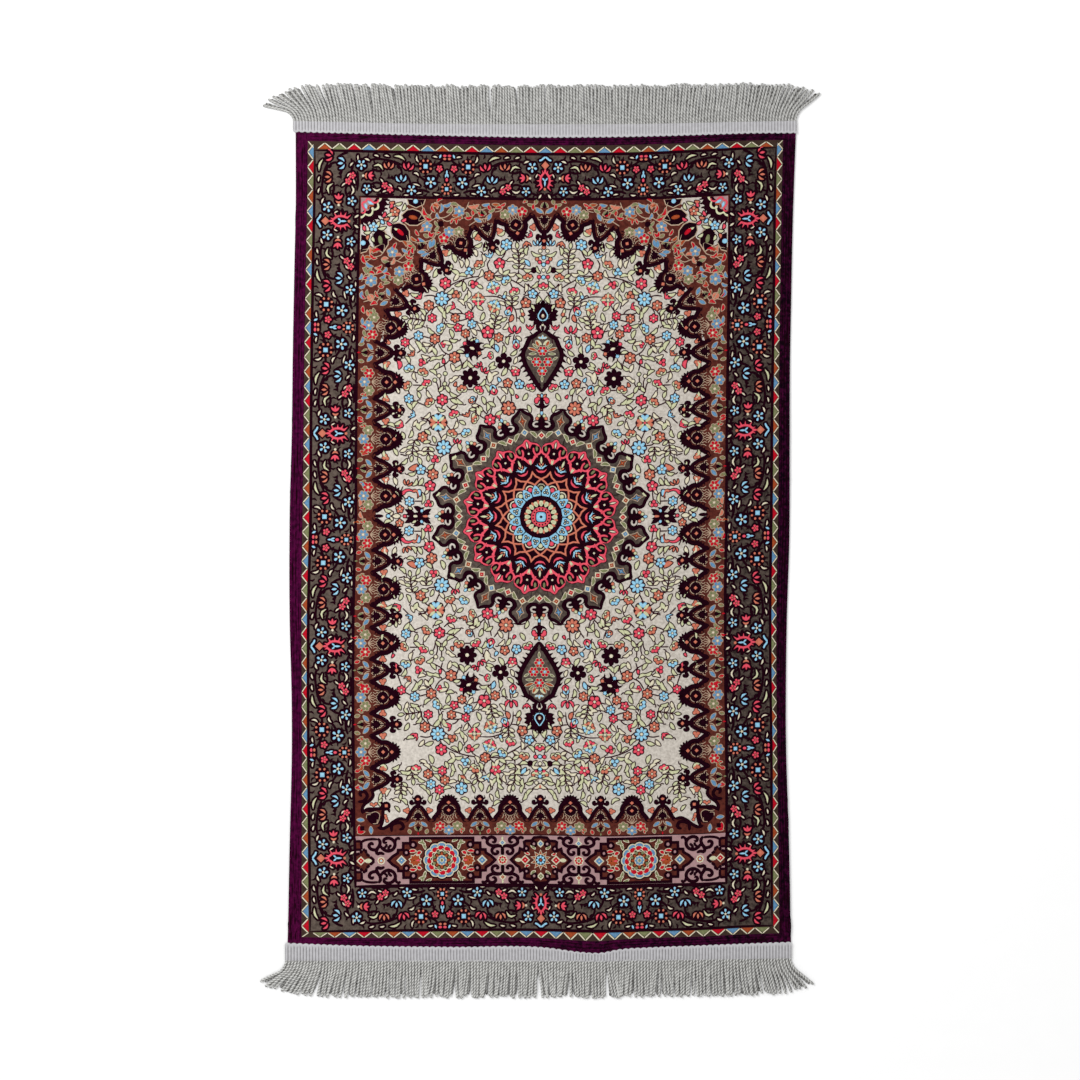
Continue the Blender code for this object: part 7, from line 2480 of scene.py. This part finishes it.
    def middle(self) -> None:
        """Star rosette and lozenges of the middle cartouche."""
        d, lay = self.draw, self.chart.lay
        lay(Ink.CREAM, spiky(10.6, 4.4, 10), Layer.OUTLINE, lift=0.02)
        lay(Ink.RUST, spiky(9.4, 4.0, 10), Layer.OUTLINE, lift=0.10)
        lay(Ink.CREAM, lobed(6.0, 0.8, 10, 60), Layer.OUTLINE, lift=0.18)
        lay(Ink.DARK, dot(5.2, 20), Layer.OUTLINE, lift=0.22)
        lay(Ink.SKY, oval(1.2, 1.5, 8, 2).at(0, 3.2).ring(8), Layer.FILL, lift=0.14)
        lay(Ink.RUST, dot(1.4), Layer.EYE, lift=0.14)
        for side in (-1, 1):
            d.gem(placed(side * 15.4, 0), Ink.RED, 3.4)
            d.gem(placed(0, side * 16.3), Ink.BLUE if side > 0 else Ink.SAGE, 2.4)
            d.leaf(placed(side * 19.4, 0, -side * 90), Ink.LEAF, 5.6, 3.0)
            for up in (-1, 1):
                d.leaf(placed(side * 5.4, up * 11.0, -side * (50 if up > 0 else 130)), Ink.SAGE, 5.4, 2.4, 0.4)
                d.leaf(placed(side * 11.2, up * 5.4, -side * (70 if up > 0 else 110)), Ink.RED, 4.6, 2.0, 0.4)

    def end_piece(self) -> None:
        """Half cartouche at the panel's end, from the cross's own place."""
        d, lay = self.draw, self.chart.lay
        half = ((-25.6, 6.0), (-21.2, 7.6), (-18.4, 10.4), (-15.6, 11.6), (-14.8, 7.2), (-11.4, 4.3), (-6.6, 0))
        outline = list(half) + [(x, -y) for x, y in half[-2::-1]]
        lay(Ink.BROWN, patch(outline, (-20, 0), 2), Layer.GROUND)
        for up in (-1, 1):
            path = turned(half, 1, up)
            for first, last in zip(path, path[1:]):
                lay(Ink.DARK, blade((first, last), 2.9, Outline.STROKE, 4), Layer.FILL)
            block = ((-25.6, 11.2 * up), (-19.6, 11.2 * up), (-19.6, 19.6 * up), (-25.6, 19.6 * up))
            lay(Ink.BROWN, patch(block if up > 0 else block[::-1], (-22.6, 15.4 * up), 2), Layer.GROUND)
            for first, last in zip(block, block[1:]):
                lay(Ink.DARK, blade((first, last), 2.6, Outline.STROKE, 5), Layer.FILL)
        d.gem(placed(-20.2, 0), Ink.RED, 3.0)
        d.leaf(placed(-16.2, 0, -90), Ink.LEAF, 6.4, 3.6)


# ---------------------------------------------------------------------------------------------------------
# End tapes and fringe cords
# ---------------------------------------------------------------------------------------------------------


# The ribs' depth share also darkens the grooves through the tape's crown attribute: painted shade.
TAPE_PROFILE = (  # share of the tape's width from its inner edge, height over its face, share of the ribs' depth
    (0.0, -0.00075, 0), (0.03, 0.0001, 0), (0.10, 0.00035, 0.1), (0.17, 0.0, 0.5), (0.25, -0.0001, 1), (0.5, 0.0, 1),
    (0.75, -0.0001, 1), (0.93, -0.0003, 1), (1.0, -0.0012, 0.5),
)


@dataclass
class FringeEnd:
    """One end's ribbed tape and its row of twisted cords.

    Args:
        name: end of the pieces' names, and of the CAD node that they stand for.
        end: the end's stations.
        outward: +1 at the top and -1 at the bottom.
        length: nominal length of a cord past its root, in metres.
        left_fan: turn of the outermost left cord, in degrees.
        right_fan: turn of the outermost right cord, in degrees.
        seed: start of the random numbers.
        wander: scale of the slow waves of lean, in degrees.
        jitter: greatest random lean of one cord, in degrees.
        sway: most that a cord's heading sways along its length, in degrees.
        left_slow: part of the left fan that fades slowly, in degrees.
        right_slow: the same on the right.
    """

    cloth: ClothMap
    name: str
    end: Sequence[EndRow]
    outward: int
    length: float
    left_fan: float
    right_fan: float
    seed: int
    wander: float = 2.6
    jitter: float = 1.1
    sway: float = 4.0
    left_slow: float = 17.0
    right_slow: float = 14.0
    cords: int = 164
    diameter: float = 0.0040
    flat: float = 0.72  # height of a cord as a share of its width
    twist: float = 0.0088  # length of a full turn of the two plies
    fan_decay: float = 5.5  # cords over which the fast part of a fan falls to a third
    slow_decay: float = 30.0  # and its slow part
    spread: tuple[float, float] = (0.955, 1.03)  # shortest and longest cord, as shares of the length
    inset: float = 0.0015  # how far a cord starts under the tape's edge
    upper_base: float = 0.36  # height of the upper row's underside, in cord heights
    lower_reach: float = 0.93  # length of the lower row, as a share of the upper one's
    lower_shade: float = 0.55  # share of its crown kept by the lower row: painted shade for lying under the upper one
    clump: float = 1.1  # most that a clump's cords lean to its middle, in degrees for each cord between
    sections: int = 40
    sides: int = 8
    rib: float = 0.0042  # pitch of the tape's ribs
    scallop: float = 0.00825  # pitch of the scallops along its inner edge
    bite: float = 0.0017  # depth of the scallops
    groove: float = 0.0006  # depth between two ribs
    past_seam: float = 0.0007  # how far the scallops' tips lie outside the seam
    past_root: float = 0.0012  # how far the tape reaches over the cords
    tape_top: float = 0.00425  # level of the tape's face
    tape_low: float = 0.0016  # underside of the tape past the cloth's end
    tape_lap: float = 0.0031  # underside of the tape over the cloth

    def gather(self, place: np.ndarray) -> np.ndarray:
        """Lean in degrees that draws each clump's cords together: its pull times the distance from its middle."""
        rng = np.random.default_rng(self.seed + 100)
        edges = np.concatenate([[0], np.cumsum(rng.integers(4, 11, self.cords // 4))])
        pull = self.clump * rng.uniform(0, 1, len(edges)) ** 1.5
        which = np.searchsorted(edges, place, side="right") - 1
        return pull[which] * ((edges[which] + edges[which + 1]) / 2 - place - 0.5)

    def lean(self, rng: np.random.Generator, place: np.ndarray) -> np.ndarray:
        """Lean of the cords in radians at places counted in cords: slow waves, jitter and the splayed corners."""
        waves = sum(height * np.sin(math.tau * place / length + rng.uniform(0, 6))
                    for length, height in ((61, 0.45), (23, 0.35), (10.3, 0.30), (6.1, 0.22)))
        jitter = rng.uniform(-self.jitter, self.jitter, len(place))
        degrees = self.wander * waves + jitter + self.gather(place)
        for way, fan, slow, far in ((-1, self.left_fan, self.left_slow, place),
                                    (1, self.right_fan, self.right_slow, self.cords - 1 - place)):
            degrees = degrees + way * ((fan - slow) * np.exp(-far / self.fan_decay)
                                       + slow * np.exp(-far / self.slow_decay))
        return np.radians(degrees)

    def build_cords(self) -> bpy.types.Object:
        """Lay a lower row of cords between the upper row's, both as one mesh."""
        rng = np.random.default_rng(self.seed)
        upper = self.row(rng, np.arange(self.cords) + 0.0, self.sections, self.sides, self.upper_base, 1.0)
        lower = self.row(rng, np.arange(self.cords - 1) + 0.5, self.sections // 2, 6, 0.0, self.lower_reach)
        points = np.vstack([upper[0], lower[0]])
        faces = np.vstack([upper[1], lower[1] + len(upper[0])])
        # The lower row's crown share is cut, which paints shade on it under the upper row.
        return mesh_piece(f"cords_{self.name}", points, faces, np.concatenate([upper[2], lower[2] * self.lower_shade]))

    def row(self, rng: np.random.Generator, place: np.ndarray, sections: int, sides: int, base: float,
            reach: float) -> tuple[np.ndarray, np.ndarray, np.ndarray]:
        """Sweep a two-lobed section along each cord: radius = d / 2 * (0.52 + 0.48 * |cos(angle - twist)|).

        Args:
            rng: the random numbers.
            place: each cord's place along the tape, counted in cords.
            sections: spans along a cord.
            sides: corners of its section.
            base: height of the cord's underside in cord heights.
            reach: share of the usual length.

        Returns:
            Points, quads and the crown share of each point, low where the cord takes painted shade.
        """
        count = len(place)
        lean = self.lean(rng, place)[:, None]
        x0 = self.end[0].x + (place + 0.5) / self.cords * (self.end[-1].x - self.end[0].x)
        root = column(self.end, "root", x0) - self.outward * self.inset
        length = self.length * reach * rng.uniform(*self.spread, count) + self.inset
        share = np.linspace(0, 1, sections + 1)[None]
        sway = np.radians(rng.uniform(-self.sway, self.sway, (count, 1))) * np.sin(
            2.6 * share * math.pi + rng.uniform(0, 6, (count, 1)))
        heading = lean * np.minimum(1, share * 2.2) + sway * share
        step = (length / sections)[:, None]
        x = x0[:, None] + np.cumsum(step * np.sin(heading), axis=1) - step * np.sin(heading[:, :1])
        y = root[:, None] + self.outward * (np.cumsum(step * np.cos(heading), axis=1) - step)
        thick = self.diameter * self.flat
        lift = thick * (base + 0.50 + 0.30 * rng.uniform(0, 1, (count, 1)) * np.sin(math.pi * share) ** 2)
        angle = (np.arange(sides) * math.tau / sides)[None, None]
        phase = math.tau * (length[:, None] * share)[:, :, None] / self.twist + rng.uniform(0, 6.3, (count, 1, 1))
        taper = np.where(share < 1, 1.0, 0.72)[:, :, None]
        radius = self.diameter / 2 * (0.52 + 0.48 * np.abs(np.cos(angle - phase))) * taper
        across = radius * np.cos(angle)
        up = radius * np.sin(angle) * self.flat
        px = x[:, :, None] + across * np.cos(heading)[:, :, None] + self.cloth.shift[0]
        py = y[:, :, None] - self.outward * across * np.sin(heading)[:, :, None] + self.cloth.shift[1]
        pz = np.maximum(lift[:, :, None] + up, 0.0)
        ring = np.arange(sides)
        span = np.arange(sections)[:, None] * sides
        quads = np.stack([span + ring, span + (ring + 1) % sides, span + (ring + 1) % sides + sides,
                          span + ring + sides], -1).reshape(-1, 4)
        last = sections * sides
        half = np.arange(sides // 2 - 1)
        cap = np.stack([last + half, last + half + 1, last + sides - 2 - half, last + sides - 1 - half], 1)
        one = np.vstack([quads, cap])
        if self.outward > 0:
            one = one[:, ::-1]
        start = np.arange(count)[:, None, None] * (last + sides)
        # Crown share: painted shade on the cord's lower sides and narrow lobes, standing in for the shadow between
        # cords.
        crown = np.clip(0.5 + 0.9 * up / thick, 0, 1) * np.clip(radius * 2.5 / self.diameter - 0.35, 0, 1)
        return np.stack([px, py, pz], -1).reshape(-1, 3), (one + start).reshape(-1, 4), crown.ravel()

    def build_tape(self) -> bpy.types.Object:
        """Sweep the tape's section along the seam: ribs |sin| across, scallops |sin| along its inner edge.

        Returns:
            The tape as a closed strip.
        """
        left, right = self.end[0].x, self.end[-1].x
        x = np.linspace(left, right, round((right - left) / self.rib * 8) + 1)
        seam = column(self.end, "seam", x) + self.outward * self.past_seam
        root = column(self.end, "root", x) + self.outward * self.past_root
        rib = np.abs(np.sin(math.pi * (x - left) / self.rib)) ** 0.6
        scallop = np.abs(np.sin(math.pi * (x - left) / self.scallop)) ** 0.7
        edge = seam - self.outward * self.bite * scallop
        rows, crowns = [], []
        for share, height, ribbed in TAPE_PROFILE:
            y = edge + (root - edge) * share
            rows.append(np.stack([x, y, self.tape_top + height - self.groove * ribbed * (1 - rib)], -1))
            # Crown: lower in the grooves between ribs, and 0 on the underside rows below, where the material paints
            # shade.
            crowns.append(1 - ribbed * (1 - rib))
        step = self.cloth.cloth_end(self.end, x) + self.outward * 0.0004
        for y, z in ((root, self.tape_low), (step, self.tape_low), (step, self.tape_lap), (edge, self.tape_lap)):
            rows.append(np.stack([x, y, np.full_like(x, z)], -1))
        crowns += [np.zeros_like(x)] * 4
        grid = np.stack(rows, axis=1) + (*self.cloth.shift, 0.0)
        count = grid.shape[1]
        k = np.arange(count)
        start = (np.arange(len(x) - 1) * count)[:, None]
        faces = np.stack([start + k, start + (k + 1) % count, start + (k + 1) % count + count, start + k + count],
                         -1).reshape(-1, 4)
        if self.outward > 0:
            faces = faces[:, ::-1]
        lengths = np.linalg.norm(np.diff(grid[0], axis=0, append=grid[0][:1]), axis=1)
        v = np.concatenate([[0], np.cumsum(lengths)]) / lengths.sum()
        u = np.linspace(0, 1, len(x))
        u_pair = np.stack([u[:-1], u[:-1], u[1:], u[1:]], -1)
        v_pair = np.stack([v[k], v[k + 1], v[k + 1], v[k]], -1)
        unwrap = np.stack(np.broadcast_arrays(u_pair[:, None], v_pair[None]), -1)
        if self.outward > 0:
            unwrap = unwrap[:, :, ::-1]
        return mesh_piece(f"tape_{self.name}", grid.reshape(-1, 3), faces, np.stack(crowns, axis=1).ravel(),
                          unwrap.reshape(-1, 2))


# ---------------------------------------------------------------------------------------------------------
# Studio
# ---------------------------------------------------------------------------------------------------------


@dataclass
class Studio:
    """White surface, soft light from above and the upper left, and the camera straight above."""

    frame_width: float = 1080 * POINT
    middle: tuple[float, float] = (0.0007, 0.0)
    height: float = 4.0

    def build(self) -> None:
        """Add the surface, lights, world and camera."""
        self.surface()
        self.light("key", (-1.9, 1.3, 2.6), 1.6, 60.0)
        self.light("fill", (1.4, -1.2, 2.8), 2.4, 7.0)
        world = bpy.data.worlds.new("studio")
        world.use_nodes = True
        world.node_tree.nodes["Background"].inputs["Color"].default_value = (1.0, 1.0, 1.0, 1.0)
        world.node_tree.nodes["Background"].inputs["Strength"].default_value = 0.62
        scene = bpy.context.scene
        scene.world = world
        scene.view_settings.view_transform = "Standard"
        camera = bpy.data.cameras.new("camera")
        camera.sensor_width = 36.0
        camera.lens = 36.0 * self.height / self.frame_width
        eye = bpy.data.objects.new("camera", camera)
        eye.location = (*self.middle, self.height)
        scene.collection.objects.link(eye)
        scene.camera = eye

    def surface(self) -> None:
        """Wide floor of near-white paper, with a faint grain."""
        x, y = np.meshgrid(np.linspace(-6, 6, 13), np.linspace(-6, 6, 13))
        k = (np.arange(12)[None] + 13 * np.arange(12)[:, None]).ravel()
        points = np.stack([x.ravel(), y.ravel(), np.zeros(x.size)], 1)
        floor = mesh_piece("surface", points, np.stack([k, k + 1, k + 14, k + 13], 1))
        material = bpy.data.materials.new("paper")
        material.use_nodes = True
        sheet = NodeSheet(material.node_tree)
        place = sheet.add("ShaderNodeTexCoord").outputs["Object"]
        grain = sheet.add("ShaderNodeTexNoise", Vector=place, Scale=40.0, Detail=2.0)
        tone = sheet.add("ShaderNodeMapRange", Value=grain.outputs["Fac"], To_Min=0.965, To_Max=0.985)
        shader = material.node_tree.nodes["Principled BSDF"]
        material.node_tree.links.new(tone.outputs[0], shader.inputs["Base Color"])
        shader.inputs["Roughness"].default_value = 0.95
        shader.inputs["Specular IOR Level"].default_value = 0.0
        shader.inputs["Emission Color"].default_value = (1.0, 1.0, 1.0, 1.0)
        shader.inputs["Emission Strength"].default_value = 0.12
        floor.data.materials.append(material)

    @staticmethod
    def light(name: str, place: tuple[float, float, float], size: float, power: float) -> None:
        """Square area light that faces the rug's middle."""
        data = bpy.data.lights.new(name, "AREA")
        data.shape, data.size, data.energy = "SQUARE", size, power
        lamp = bpy.data.objects.new(name, data)
        lamp.location = place
        x, y, z = place
        lamp.rotation_euler = (math.atan2(math.hypot(x, y), z), 0, math.atan2(y, x) + math.pi / 2)
        bpy.context.scene.collection.objects.link(lamp)


# ---------------------------------------------------------------------------------------------------------
# Rug
# ---------------------------------------------------------------------------------------------------------


@dataclass
class Rug:
    """The whole rug: its cloth, pattern, tapes and cords, tied to the frame."""

    cloth: ClothMap = field(default_factory=ClothMap)
    dyer: Dyer = field(default_factory=Dyer)

    def finish(self, piece: bpy.types.Object, material: bpy.types.Material, slot: str) -> bpy.types.Object:
        """Dye a piece, tie it to the rug's body and log it."""
        piece.data.materials.append(material)
        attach(piece, "root")
        LOG.info("%s: %d faces", piece.name, len(piece.data.polygons))
        return piece

    def build(self) -> None:
        """Build the cloth with its pattern, then both ends."""
        chart = Chart(self.cloth)
        dark, bold, cream = Motifs(chart, 0.85), Motifs(chart, 2.0), Motifs(chart, 0.6, Ink.CREAM)
        pale, fine = Motifs(chart, 0.62, Ink.SAND), Motifs(chart, 0.95, Ink.UMBER, 1.15)
        for part in (Grounds(chart), ToothedGuard(chart), FlowerBorder(chart, bold), PalmetteRow(chart, pale),
                     CornerCurls(chart, pale), Spandrels(chart, pale, fine), FieldFlowers(chart, fine),
                     Medallion(chart, dark, cream), Pendants(chart, dark), BottomPanel(chart, cream)):
            part.build()
        base = GroundCloth(self.cloth).build()
        # Third argument of material(): painted shade at each shape's rim, on the cords' lower sides and in the tape's
        # grooves.
        plum = self.dyer.material("plum", FINISHES[Ink.PLUM], 0.35)
        self.finish(base, self.dyer.material("base", FINISHES[Ink.PLUM]), "cloth")
        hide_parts("rug_cloth")
        for name, points, faces, crown in chart.meshes():
            ink = Ink(name.split("_")[-1])
            piece = mesh_piece(f"yarn_{name}", points, faces, crown)
            material = plum if ink is Ink.PLUM else self.dyer.material(ink.value, FINISHES[ink], 0.35)
            self.finish(piece, material, "cloth")
            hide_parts("rug_cloth")
        for end in (FringeEnd(self.cloth, "top", TOP_END, 1, 0.0545, 78, 50, 11),
                    FringeEnd(self.cloth, "bottom", BOTTOM_END, -1, 0.0505, 62, 50, 23, wander=4.2, jitter=2.4,
                              sway=7.0, right_slow=5.0, clump=2.2)):
            cords = self.finish(end.build_cords(), self.dyer.material("cord", CORD_FINISH, 0.95), "fringe")
            tape = self.finish(end.build_tape(), self.dyer.material("tape", TAPE_FINISH, 0.75), "fringe")
            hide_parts(f"fringe_{end.name}")
            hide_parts(f"fringe_{end.name}")


def main() -> None:
    """Build the rug and the studio."""
    logging.basicConfig(level=logging.INFO, format="%(message)s")
    Rug().build()
    Studio().build()


if __name__ == "__main__":
    main()
